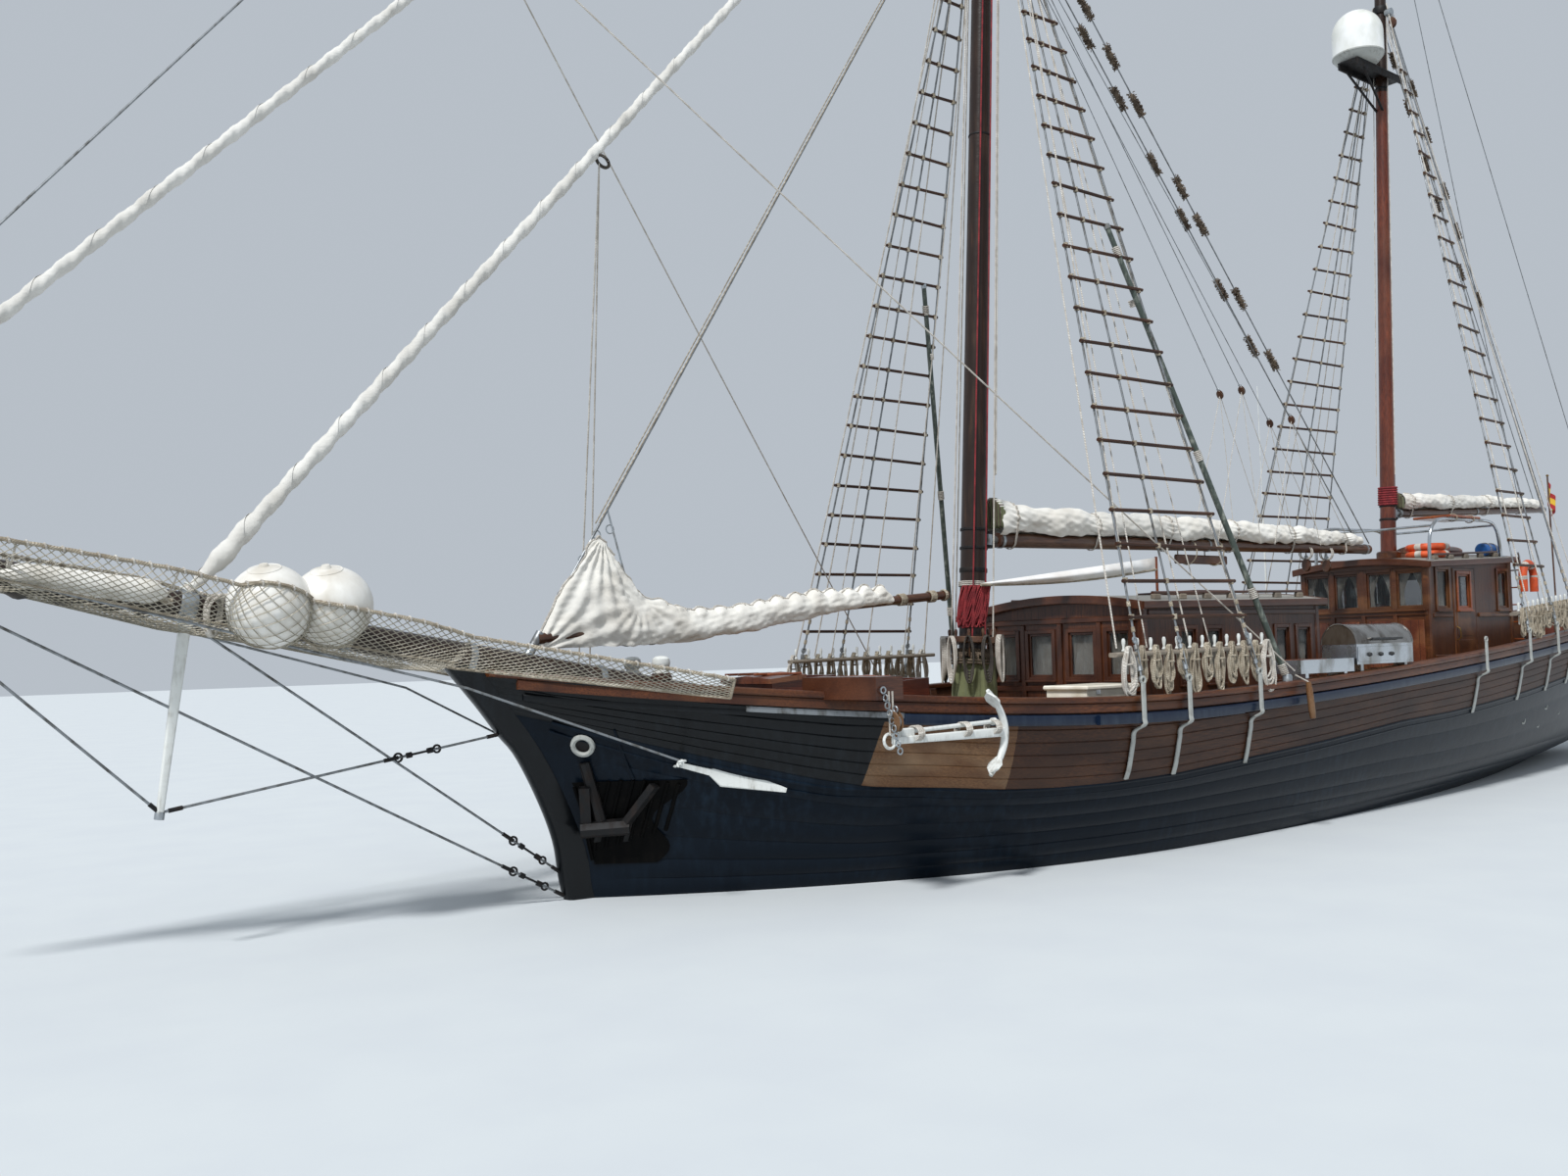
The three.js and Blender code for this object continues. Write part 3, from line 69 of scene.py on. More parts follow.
def gridFaces(rows, columns, closed=False):
    row, column = np.meshgrid(np.arange(rows - 1), np.arange(columns if closed else columns - 1),
        indexing="ij")
    nextColumn = (column + 1) % columns
    corners = [row * columns + column, row * columns + nextColumn, (row + 1) * columns + nextColumn,
        (row + 1) * columns + column]
    return np.stack(corners, -1).reshape(-1, 4)


def addGrid(shape, points, finish=0, closed=False):
    points = np.asarray(points, float)
    shape.add(points, gridFaces(points.shape[0], points.shape[1], closed), finish)


def unit(vectors):
    vectors = np.asarray(vectors, float)
    return vectors / np.maximum(np.linalg.norm(vectors, axis=-1, keepdims=True), 1e-9)


def frames(path):
    # carries one side direction along a path without twisting it
    ahead = unit(np.gradient(path, axis=0))
    start = np.cross(ahead[0], (0, 0, 1) if abs(ahead[0][2]) < 0.9 else (1, 0, 0))
    side = [start / np.linalg.norm(start)]
    for step in range(1, len(path)):
        turned = side[-1] - ahead[step] * np.dot(side[-1], ahead[step])
        side.append(turned / max(np.linalg.norm(turned), 1e-9))
    side = np.array(side)
    return side, np.cross(ahead, side)


def addTube(shape, path, radius, sides=8, finish=0, strands=0, lay=0.0, capped=True):
    # strands and lay (metres for one turn) give a laid rope its twisted lobes
    path = np.asarray(path, float)
    side, up = frames(path)
    radii = np.broadcast_to(np.asarray(radius, float), (len(path),))[:, None]
    angles = np.linspace(0, 2 * pi, sides, endpoint=False)[None, :]
    if strands:
        steps = np.linalg.norm(np.diff(path, axis=0), axis=1)
        travelled = np.concatenate([[0], np.cumsum(steps)])[:, None]
        radii = radii * (1 + 0.16 * np.cos(strands * (angles - 2 * pi * travelled / lay)))
    section = np.stack([radii * np.cos(angles), radii * np.sin(angles)], -1)
    addSweep(shape, path, section, finish, side, up, capped)


def addSweep(shape, path, section, finish=0, sideways=(0, 1, 0), upwards=(0, 0, 1), capped=True):
    # section points are (sideways, upwards), and both directions may change along the path
    path, section = np.asarray(path, float), np.asarray(section, float)
    sideways = np.broadcast_to(np.asarray(sideways, float), path.shape)
    upwards = np.broadcast_to(np.asarray(upwards, float), path.shape)
    if section.ndim == 2:
        section = np.broadcast_to(section, (len(path),) + section.shape)
    rings = path[:, None] + section[..., :1] * sideways[:, None] + section[..., 1:] * upwards[:, None]
    addGrid(shape, rings, finish, closed=True)
    if capped:
        count = section.shape[1]
        shape.close(len(path) * count, count, finish, True)
        shape.close(count, count, finish)


def roundedBox(width, height, radius, steps=3):
    corners = []
    for turn, (x, y) in enumerate([(1, 1), (-1, 1), (-1, -1), (1, -1)]):
        for step in range(steps + 1):
            angle = (turn + step / steps) * pi / 2
            corners.append((x * (width / 2 - radius) + radius * cos(angle),
                y * (height / 2 - radius) + radius * sin(angle)))
    return np.array(corners)


def addLathe(shape, profile, foot, axis=(0, 0, 1), sides=24, finish=0):
    # profile points are (radius, distance along the axis)
    axis = unit(axis)
    side = unit(np.cross(axis, (1, 0, 0) if abs(axis[0]) < 0.9 else (0, 1, 0)))
    up = np.cross(axis, side)
    angles = np.linspace(0, 2 * pi, sides, endpoint=False)
    ring = np.cos(angles)[:, None] * side + np.sin(angles)[:, None] * up
    rows = [np.asarray(foot) + axis * far + ring * max(radius, 1e-4) for radius, far in profile]
    addGrid(shape, rows, finish, closed=True)


def disc(radius, height, inner=0.001):
    return [(inner, 0), (radius, 0), (radius, height), (inner, height)]


def addBlock(shape, low, high, chamfer=0.004, finish=0, turn=None):
    # box with its edges broken; turn is a 3 x 3 matrix about the box's own middle
    low, high = np.minimum(low, high).astype(float), np.maximum(low, high).astype(float)
    middle, half = (low + high) / 2, (high - low) / 2
    chamfer = min(chamfer, half.min() * 0.6)
    signs = np.array([(x, y, z) for x in (-1, 1) for y in (-1, 1) for z in (-1, 1)])
    points = np.array([[sign * (half - chamfer * (np.arange(3) != axis)) for axis in range(3)]
        for sign in signs])
    index = {tuple(sign): 3 * place for place, sign in enumerate(signs)}
    quads = []
    for axis in range(3):
        first, second = [other for other in range(3) if other != axis]
        for sign in (-1, 1):
            corner = []
            for a, b in ((-1, -1), (1, -1), (1, 1), (-1, 1)):
                key = [0, 0, 0]
                key[axis], key[first], key[second] = sign, a, b
                corner.append(index[tuple(key)] + axis)
            quads.append(corner)
        for a in (-1, 1):
            for b in (-1, 1):
                ends = []
                for end in (-1, 1):
                    key = [0, 0, 0]
                    key[axis], key[first], key[second] = end, a, b
                    ends.append(index[tuple(key)])
                quads.append([ends[0] + first, ends[1] + first, ends[1] + second, ends[0] + second])
    triangles = [[index[tuple(sign)] + axis for axis in range(3)] for sign in signs]
    flat = points.reshape(-1, 3)
    for group in (quads, triangles):
        for face in group:
            a, b, c = flat[face[0]], flat[face[1]], flat[face[2]]
            if np.dot(np.cross(b - a, c - a), flat[face].mean(0)) < 0:
                face.reverse()
    if turn is not None:
        flat = flat @ np.asarray(turn, float).T
    start = shape.size
    shape.add(flat + middle, quads, finish)
    shape.faces.append(np.array(triangles) + start)
    shape.finishes.append(np.full(len(triangles), finish))


def turnTo(ahead, up=(0, 0, 1)):
    # matrix whose x column points ahead
    ahead = unit(ahead)
    level = unit(np.cross(up, ahead))
    return np.stack([ahead, level, np.cross(ahead, level)], axis=1)


def addBar(shape, start, end, width, height, chamfer=0.003, finish=0, up=(0, 0, 1)):
    start, end = np.asarray(start, float), np.asarray(end, float)
    half = np.array([np.linalg.norm(end - start) / 2, width / 2, height / 2])
    middle = (start + end) / 2
    addBlock(shape, middle - half, middle + half, chamfer, finish, turnTo(end - start, up))


def between(start, end, steps):
    return np.linspace(start, end, steps)


def hanging(start, end, slack, steps=16):
    # a line between two points, sagging by slack at its middle
    path = between(start, end, steps)
    share = np.linspace(0, 1, steps)
    path[:, 2] -= 4 * slack * share * (1 - share)
    return path


def spline(a, b, c, d, t):
    # point at share t between b and c, on a smooth curve through all four
    return 0.5 * (2 * b + (c - a) * t + (2 * a - 5 * b + 4 * c - d) * t ** 2
        + (3 * b - a - 3 * c + d) * t ** 3)


def smoothPath(corners, steps=12):
    # Catmull-Rom curve through the corners
    corners = np.asarray(corners, float)
    padded = np.vstack([2 * corners[0] - corners[1], corners, 2 * corners[-1] - corners[-2]])
    points = []
    for place in range(1, len(padded) - 2):
        a, b, c, d = padded[place - 1:place + 3]
        for t in np.linspace(0, 1, steps, endpoint=False):
            points.append(spline(a, b, c, d, t))
    return np.array(points + [corners[-1]])


def addPiece(name, shape, finishes, body="boat", stands=(), smooth=35):
    mesh = bpy.data.meshes.new(name)
    points = np.concatenate(shape.points)
    mesh.vertices.add(len(points))
    mesh.vertices.foreach_set("co", points.ravel())
    widths = np.concatenate([np.full(len(block), block.shape[1]) for block in shape.faces])
    loops = np.concatenate([block.ravel() for block in shape.faces])
    mesh.loops.add(len(loops))
    mesh.loops.foreach_set("vertex_index", loops)
    mesh.polygons.add(len(widths))
    mesh.polygons.foreach_set("loop_start", np.concatenate([[0], np.cumsum(widths)[:-1]]))
    mesh.polygons.foreach_set("material_index", np.concatenate(shape.finishes))
    mesh.polygons.foreach_set("use_smooth", np.ones(len(widths), bool))
    mesh.update(calc_edges=True)
    mesh.validate()
    mesh.set_sharp_from_angle(angle=radians(smooth))
    piece = bpy.data.objects.new(name, mesh)
    bpy.context.scene.collection.objects.link(piece)
    for key in finishes.split():
        mesh.materials.append(finish[key])
    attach(piece, body)
    if stands:
        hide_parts(*stands)
    return piece


# Camera at the photograph's viewpoint, floor at the waterline, soft studio light
view = {
    "place": (15.57, 10.756, 2.1),
    "heading": (-0.6225, -0.783, 0.0),
    "pitch": atan(67.1 / 1400),
    "roll": atan(0.0286),
    "lens": 31.5,
}


def makeCamera():
    level = Vector(view["heading"]).normalized()
    right = level.cross(Vector((0, 0, 1)))
    ahead = cos(view["pitch"]) * level + sin(view["pitch"]) * Vector((0, 0, 1))
    above = right.cross(ahead)
    across = cos(view["roll"]) * right - sin(view["roll"]) * above
    upward = sin(view["roll"]) * right + cos(view["roll"]) * above
    lens = bpy.data.cameras.new("camera")
    lens.lens = view["lens"]
    lens.clip_end = 500
    camera = bpy.data.objects.new("camera", lens)
    turn = Matrix((across, upward, -ahead)).transposed().to_4x4()
    camera.matrix_world = Matrix.Translation(view["place"]) @ turn
    bpy.context.scene.collection.objects.link(camera)
    bpy.context.scene.camera = camera


light = {"sunFrom": (0.8, 0.42, 1.15), "sunStrength": 3.0, "sunAngle": 7, "skyStrength": 0.66,
    "floorHalf": 150}


def makeStage():
    floorMesh = bpy.data.meshes.new("floor")
    far = light["floorHalf"]
    floorMesh.from_pydata([(-far, -far, 0), (far, -far, 0), (far, far, 0), (-far, far, 0)], [],
        [(0, 1, 2, 3)])
    floor = bpy.data.objects.new("floor", floorMesh)
    bpy.context.scene.collection.objects.link(floor)
    floorMesh.materials.append(floorPaper())
    sun = bpy.data.lights.new("sun", "SUN")
    sun.energy = light["sunStrength"]
    sun.angle = radians(light["sunAngle"])
    lamp = bpy.data.objects.new("sun", sun)
    lamp.rotation_euler = Vector(light["sunFrom"]).to_track_quat("Z", "Y").to_euler()
    bpy.context.scene.collection.objects.link(lamp)
    world = bpy.data.worlds.new("studio")
    bpy.context.scene.world = world
    world.use_nodes = True
    backdrop = world.node_tree.nodes["Background"]
    backdrop.inputs["Color"].default_value = linear("#dde6f0")
    backdrop.inputs["Strength"].default_value = light["skyStrength"]
    bpy.context.scene.view_settings.view_transform = "Standard"


# Materials
def linear(hexColour):
    channels = [int(hexColour[place:place + 2], 16) / 255 for place in (1, 3, 5)]
    return tuple(c / 12.92 if c <= 0.04045 else ((c + 0.055) / 1.055) ** 2.4 for c in channels) + (1.0,)


def addNode(tree, kind, inputs=None, **settings):
    node = tree.nodes.new(kind)
    for key, value in settings.items():
        setattr(node, key, value)
    for key, value in (inputs or {}).items():
        if isinstance(value, bpy.types.NodeSocket):
            tree.links.new(value, node.inputs[key])
        else:
            node.inputs[key].default_value = value
    return node


def startMaterial(name, inputs):
    material = bpy.data.materials.new(name)
    material.use_nodes = True
    shader = material.node_tree.nodes["Principled BSDF"]
    for key, value in inputs.items():
        shader.inputs[key].default_value = value
    return material, material.node_tree, shader


def cloudy(tree, sizeMm, stretch=(1, 1, 1), edges=(0.35, 0.65), detail=4):
    # soft patches of a real size, drawn out along an axis by stretch
    place = addNode(tree, "ShaderNodeTexCoord").outputs["Object"]
    scale = tuple(1000 / (sizeMm * longer) for longer in stretch)
    mapped = addNode(tree, "ShaderNodeMapping", {"Vector": place, "Scale": scale})
    noise = addNode(tree, "ShaderNodeTexNoise", {"Vector": mapped.outputs[0], "Scale": 1.0, "Detail": detail})
    spread = {"Value": noise.outputs[0], "From Min": edges[0], "From Max": edges[1]}
    return addNode(tree, "ShaderNodeMapRange", spread).outputs[0]


def boards(tree, lengthAxis, rowAxis, lengthMm, rowMm, seamMm):
    # rows of boards with staggered butts: returns the seam mask and a grey for each board
    place = addNode(tree, "ShaderNodeTexCoord").outputs["Object"]
    axes = addNode(tree, "ShaderNodeSeparateXYZ", {0: place})
    laid = addNode(tree, "ShaderNodeCombineXYZ", {0: axes.outputs[lengthAxis], 1: axes.outputs[rowAxis]})
    brick = addNode(tree, "ShaderNodeTexBrick", {
        "Vector": laid.outputs[0], "Scale": 1.0, "Brick Width": lengthMm / 1000, "Row Height": rowMm / 1000,
        "Mortar Size": seamMm / 2000, "Mortar Smooth": 0.3, "Color1": (0, 0, 0, 1), "Color2": (1, 1, 1, 1),
        "Mortar": (0.5, 0.5, 0.5, 1)}, offset=0.37)
    return brick.outputs["Fac"], brick.outputs["Color"]


def blend(tree, share, first, second, kind="MIX"):
    first = linear(first) if isinstance(first, str) else first
    second = linear(second) if isinstance(second, str) else second
    return addNode(tree, "ShaderNodeMix", {0: share, 6: first, 7: second}, data_type="RGBA",
        blend_type=kind).outputs[2]


def relief(tree, shader, height, depthMm, strength=0.6):
    normal = shader.inputs["Normal"]
    inputs = {"Height": height, "Distance": depthMm / 1000, "Strength": strength}
    if normal.is_linked:
        inputs["Normal"] = normal.links[0].from_socket
    tree.links.new(addNode(tree, "ShaderNodeBump", inputs).outputs[0], normal)


def floorPaper():
    # matt paper backdrop: pale, without gloss, a faint tooth
    material, tree, shader = startMaterial("backdropPaper", {"Roughness": 0.9})
    colour = blend(tree, cloudy(tree, 900), "#c8cdd0", "#cbd0d2")
    tree.links.new(colour, shader.inputs["Base Color"])
    return material


def brushedEnamel(name, colour, worn, roughness=0.3, streakMm=60, tall=9, wear=0.5, patchMm=900, gloss=0.35):
    # oil enamel brushed on planks: satin gloss, faint brush lines, runs and chalky patches
    material, tree, shader = startMaterial(name, {"IOR": 1.5, "Roughness": roughness,
        "Coat Weight": gloss * 0.25, "Coat Roughness": 0.12, "Specular IOR Level": gloss})
    runs = cloudy(tree, streakMm, (1, 1, tall), (0.45, 0.72))
    patches = cloudy(tree, patchMm, (2, 2, 0.6), (0.4, 0.7))
    grime = addNode(tree, "ShaderNodeMath", {0: runs, 1: patches}, operation="MULTIPLY").outputs[0]
    share = addNode(tree, "ShaderNodeMath", {0: grime, 1: wear}, operation="MULTIPLY").outputs[0]
    tree.links.new(blend(tree, share, colour, worn), shader.inputs["Base Color"])
    relief(tree, shader, cloudy(tree, 14, (14, 2, 1)), 0.8, 0.5)
    relief(tree, shader, cloudy(tree, 160, (2, 2, 1)), 3.0, 0.5)
    return material


def varnishedWood(name, dark, lightTone, along=0, grainMm=9, roughness=0.35, coat=0.35, laid=None,
        seam="#16100c", wear=0.0, bleached="#9c8467"):
    # varnished timber: fine grain along the board, its tone changing from board to board, under a clear coat
    material, tree, shader = startMaterial(name, {"IOR": 1.52, "Roughness": roughness, "Coat Weight": coat,
        "Coat Roughness": 0.18, "Specular IOR Level": 0.3})
    stretch = [1.0, 1.0, 1.0]
    stretch[along] = 16.0
    grain = cloudy(tree, grainMm, stretch, (0.3, 0.7), 6)
    tone = cloudy(tree, 260, [1 + 3 * (axis == along) for axis in range(3)], (0.3, 0.7), 3)
    share = addNode(tree, "ShaderNodeMath", {0: grain, 1: tone}, operation="MULTIPLY").outputs[0]
    colour = blend(tree, share, dark, lightTone)
    if wear:
        bare = cloudy(tree, 420, [1 + 2 * (axis == along) for axis in range(3)], (0.5, 0.72), 5)
        worn = addNode(tree, "ShaderNodeMath", {0: bare, 1: wear}, operation="MULTIPLY").outputs[0]
        colour = blend(tree, worn, colour, bleached)
    if laid:
        mask, each = boards(tree, *laid)
        half = addNode(tree, "ShaderNodeMath", {0: each, 1: 0.35}, operation="MULTIPLY").outputs[0]
        colour = blend(tree, half, colour, dark)
        colour = blend(tree, mask, colour, seam)
        groove = addNode(tree, "ShaderNodeMath", {0: 1.0, 1: mask}, operation="SUBTRACT").outputs[0]
        relief(tree, shader, groove, 4.0, 0.8)
    tree.links.new(colour, shader.inputs["Base Color"])
    relief(tree, shader, grain, 0.5, 0.4)
    return material


def wovenCloth(name, colour, shade, threadMm=9, roughness=0.85, wrinkleMm=120, wrinkleDepth=6, dirt=0.5):
    # proofed canvas: matt, its weave coarser than the real thread so that it shows, soft creases and grime
    material, tree, shader = startMaterial(name, {"IOR": 1.45, "Roughness": roughness, "Sheen Weight": 0.15})
    soil = cloudy(tree, 330, (1, 1, 1), (0.4, 0.75), 5)
    share = addNode(tree, "ShaderNodeMath", {0: soil, 1: dirt}, operation="MULTIPLY").outputs[0]
    tree.links.new(blend(tree, share, colour, shade), shader.inputs["Base Color"])
    place = addNode(tree, "ShaderNodeTexCoord").outputs["Object"]
    weave = addNode(tree, "ShaderNodeTexWave", {"Vector": place, "Scale": 1000 / threadMm / 6.3,
        "Distortion": 1.0})
    relief(tree, shader, weave.outputs[1], 0.5, 0.25)
    relief(tree, shader, cloudy(tree, wrinkleMm, (1.4, 1, 0.8), (0.3, 0.7), 6), wrinkleDepth, 0.55)
    return material


def laidRope(name, colour, shade, roughness=0.8):
    # twisted fibre rope: matt, with painted shade between the strands, sun-bleached in patches
    material, tree, shader = startMaterial(name, {"IOR": 1.45, "Roughness": roughness})
    place = addNode(tree, "ShaderNodeTexCoord").outputs["Object"]
    spun = addNode(tree, "ShaderNodeTexWave", {"Vector": place, "Scale": 34.0, "Distortion": 2.0,
        "Detail": 2.0}, bands_direction="DIAGONAL")
    # strand bands times bleached patches: painted shade between the strands, and real sun-bleaching
    worn = addNode(tree, "ShaderNodeMath", {0: spun.outputs[1], 1: cloudy(tree, 90)}, operation="MULTIPLY")
    tree.links.new(blend(tree, worn.outputs[0], shade, colour), shader.inputs["Base Color"])
    relief(tree, shader, spun.outputs[1], 2.0, 0.5)
    return material


def metal(name, colour, stained, roughness=0.35, metallic=1.0, stainMm=70):
    # drawn or cast metal: directional scuffs and dull stains over the bright surface
    material, tree, shader = startMaterial(name, {"Metallic": metallic, "Roughness": roughness})
    stain = cloudy(tree, stainMm, (1, 1, 2), (0.45, 0.7), 5)
    tree.links.new(blend(tree, stain, colour, stained), shader.inputs["Base Color"])
    rough = addNode(tree, "ShaderNodeMapRange", {"Value": stain, "To Min": roughness,
        "To Max": roughness + 0.25})
    tree.links.new(rough.outputs[0], shader.inputs["Roughness"])
    relief(tree, shader, cloudy(tree, 6, (1, 1, 8)), 0.3, 0.3)
    return material


def gelcoat(name, colour, aged, roughness=0.25, soilMm=240):
    # moulded plastic or glass-fibre gelcoat: smooth gloss, weathered a little yellow
    material, tree, shader = startMaterial(name, {"IOR": 1.5, "Roughness": roughness, "Coat Weight": 0.15})
    tree.links.new(blend(tree, cloudy(tree, soilMm, (1, 1, 2)), colour, aged), shader.inputs["Base Color"])
    relief(tree, shader, cloudy(tree, 45), 0.6, 0.25)
    return material


def paneGlass():
    # flat window glass: thin, dark and glossy, with a film of salt
    material, tree, shader = startMaterial("windowGlass", {"IOR": 1.5, "Roughness": 0.05, "Alpha": 0.35,
        "Specular IOR Level": 0.6})
    film = cloudy(tree, 160, (1, 1, 2), (0.5, 0.8))
    tree.links.new(blend(tree, film, "#141a1c", "#6b7577"), shader.inputs["Base Color"])
    return material


finish = {
    "blackEnamel": brushedEnamel("blackHullEnamel", "#080b0e", "#1f262c", 0.28, wear=0.6, gloss=0.25),
    "slateEnamel": brushedEnamel("slateLowerHullEnamel", "#08121c", "#1d2c3a", 0.36, wear=0.6, gloss=0.12),
    "navyEnamel": brushedEnamel("navyRubRailEnamel", "#0d1c31", "#34414f", 0.32, wear=0.6, patchMm=400),
    # near-black lining for the anchor pocket: painted shade of the recessed pocket, with its rust staining
    "pitch": brushedEnamel("anchorPocketShadeAndRust", "#030303", "#14110e", 0.7, wear=0.7, patchMm=200,
        gloss=0.08),
    "redBottom": brushedEnamel("redAntifouling", "#4a1f1b", "#6d4a40", 0.75, wear=0.8),
    "brownPlank": varnishedWood("brownTopsidePlank", "#2a150a", "#58341c", roughness=0.5, coat=0.0,
        wear=0.4, bleached="#5e402b"),
    "tanPlank": varnishedWood("sunBleachedTopsidePlank", "#54351d", "#8a6440", roughness=0.5, coat=0.1,
        wear=0.5),
    "mahogany": varnishedWood("varnishedMahogany", "#3a140b", "#7c3a20", roughness=0.3, coat=0.3, wear=0.25,
        bleached="#96603f"),
    "railVarnish": varnishedWood("oiledRailMahogany", "#35170a", "#74411f", roughness=0.42, coat=0.1,
        wear=0.2, bleached="#8f6038"),
    "darkMahogany": varnishedWood("darkSaloonMahogany", "#3d1f13", "#724328", along=2, coat=0.25,
        laid=(2, 1, 2600, 110, 5), wear=0.15, bleached="#6a4b39"),
    "sideBoards": varnishedWood("cabinSideBoards", "#3a1e12", "#70452a", along=2, coat=0.2,
        laid=(2, 0, 2600, 105, 5), wear=0.2, bleached="#7a5638"),
    "orangeVarnish": varnishedWood("oiledTeakFront", "#3a1d0d", "#724325", along=1, coat=0.3, wear=0.25,
        bleached="#b58150"),
    "darkTrim": varnishedWood("darkStainedTrim", "#351a0f", "#683c25", roughness=0.32, coat=0.3, wear=0.2,
        bleached="#70452f"),
    "poleGreen": brushedEnamel("greyGreenPoleEnamel", "#3f4842", "#a3a79c", 0.45, 40, 6, 1.0, 120),
    "smoked": metal("smokedStainless", "#9a9793", "#5e5750", 0.22, 1.0, 160),
    "scorched": metal("heatTintedSteel", "#6d6256", "#4a3d31", 0.4, 0.8, 120),
    "redBoard": varnishedWood("varnishedIroko", "#6b2f15", "#b8652f", coat=0.5),
    "hatchWood": varnishedWood("hatchMahogany", "#4d2417", "#8d5233", laid=(0, 1, 2400, 120, 6), wear=0.4,
        bleached="#b08057"),
    "greyTeak": varnishedWood("weatheredTeak", "#6f675d", "#a49a8c", roughness=0.8, coat=0.0, wear=0.3),
    "teakDeck": varnishedWood("laidTeakDeck", "#8a7053", "#b79a74", roughness=0.8, coat=0.0,
        laid=(0, 1, 2900, 62, 7), wear=0.4, bleached="#b9ad9a"),
    "roofPaint": brushedEnamel("greyRoofPaint", "#8d8b84", "#5f5c55", 0.7, wear=0.7),
    "mastPaint": brushedEnamel("tarredMastPaint", "#251812", "#4c3628", 0.33, streakMm=45, tall=18,
        wear=0.8),
    "sparVarnish": varnishedWood("varnishedSpruceSpar", "#3f170c", "#7d3c24", along=2, coat=0.5, wear=0.25,
        bleached="#a2694b"),
    "boomVarnish": varnishedWood("varnishedBoom", "#3a2014", "#6f4a33", coat=0.3, wear=0.4),
    "sail": wovenCloth("whiteSailCanvas", "#e6e3db", "#bdb3a3", wrinkleDepth=9),
    "rolledSail": wovenCloth("rolledHeadsailCloth", "#dcdad4", "#a09a8f", wrinkleMm=60, wrinkleDepth=7),
    "greenCanvas": wovenCloth("greenApronCanvas", "#6a6e4c", "#474b35", wrinkleMm=80),
    "awningCloth": wovenCloth("whiteAwningCloth", "#efeeec", "#bfae98", wrinkleMm=200, wrinkleDepth=4),
    "redFlag": wovenCloth("redBunting", "#a62a2c", "#7a2224", wrinkleMm=60, wrinkleDepth=3),
    "yellowFlag": wovenCloth("yellowBunting", "#d9b23a", "#a98a2e", wrinkleMm=60, wrinkleDepth=3),
    "curtain": wovenCloth("curtainCotton", "#d8d4cb", "#a8a294", wrinkleMm=50),
    "twine": laidRope("netTwine", "#cbc4b6", "#97907f"),
    "hemp": laidRope("weatheredHempRope", "#c6bca9", "#857a69"),
    "whiteRope": laidRope("whiteBraidedRope", "#e2ded6", "#a8a197"),
    "redRope": laidRope("redHalyardRope", "#a8373a", "#6a1c22"),
    "darkRope": laidRope("tarredRope", "#5d564e", "#2d2925"),
    "frayed": laidRope("frayedRopeMat", "#8b7b68", "#4d4136"),
    "wire": metal("galvanisedWire", "#8d9194", "#5c5a56", 0.45, 0.8),
    "galvanised": metal("galvanisedFitting", "#aab0b4", "#77736c", 0.42, 0.85),
    "stainless": metal("polishedStainless", "#c9cdd1", "#94928c", 0.16, 1.0, 200),
    "bronze": metal("castBronze", "#9a7440", "#5f5a3a", 0.4),
    "blackIron": metal("wroughtIron", "#1b1b1c", "#2c2522", 0.55, 0.5),
    "whitePaint": brushedEnamel("whiteSteelPaint", "#dcdeda", "#8f8a7d", 0.4, 30, 4, 0.9, 160),
    "greyStrap": brushedEnamel("greyStrapPaint", "#a9aba6", "#6c675f", 0.45, 30, 4, 0.9, 160),
    "radome": gelcoat("radomeGelcoat", "#f2f3f1", "#d9dad2"),
    "locker": gelcoat("lockerGelcoat", "#efe9da", "#cfc6b0", 0.4),
    "fender": gelcoat("inflatedVinyl", "#f1efe9", "#cfc9bd", 0.35),
    "orangeBuoy": gelcoat("orangeBuoyFoam", "#e0571f", "#b5441c", 0.6, 90),
    "blueDrum": gelcoat("bluePolyethylene", "#1f5fa8", "#1a4a80", 0.4, 90),
    "blackRubber": gelcoat("blackRubber", "#191a1b", "#303030", 0.7, 90),
    "glass": paneGlass(),
}
print("materials made")


def keepNode(material, bevelMm, *nodes):
    # a CAD piece whose shape is right keeps it, with a finish and softened edges
    for node in nodes:
        piece = bpy.data.objects[node]
        for slot in piece.material_slots:
            slot.material = finish[material]
        if bevelMm:
            soft = piece.modifiers.new("softEdge", "BEVEL")
            soft.width = bevelMm / 1000
            soft.segments = 2
            soft.limit_method = "ANGLE"
            soft.angle_limit = radians(40)
            soft.harden_normals = False


makeCamera()
makeStage()

# Hull lines in metres, as the solids have them
# height, front of the stem
stemLine = [(-1.5, 8.1), (-1.1, 8.8), (-0.6, 9.27), (0, 9.57), (0.51, 9.67), (0.9, 9.82), (1.28, 10.02),
    (1.48, 10.19), (1.75, 10.4), (2.1, 10.7)]
widestX = 3.0
stemDepth, stemHalf = 0.23, 0.115
# x and z at the stern, z amidships and at the bow, half widths amidships and astern, two powers
lowerLevels = [
    (-8.15, -0.44, -1.33, -1.25, 0.125, 0.11, 2.0, 2.0),
    (-8.4, -0.33, -1.08, -0.9, 1.05, 0.112, 1.6, 1.3),
    (-8.75, -0.2, -0.64, -0.48, 1.8, 0.114, 1.8, 1.5),
    (-9.25, 0.01, 0, 0.02, 2.16, 0.15, 2.2, 1.9),
    (-10.75, 0.48, 0.42, 0.48, 2.29, 0.56, 2.5, 2.1),
]


def stemX(z):
    return float(np.interp(z, [row[0] for row in stemLine], [row[1] for row in stemLine]))


def sheer(x):
    return 1.6 + 0.0116 * (x - 4.2) ** 2 if x > 4.2 else 1.6 + 0.1 * ((4.2 - x) / 3.3) ** 1.42


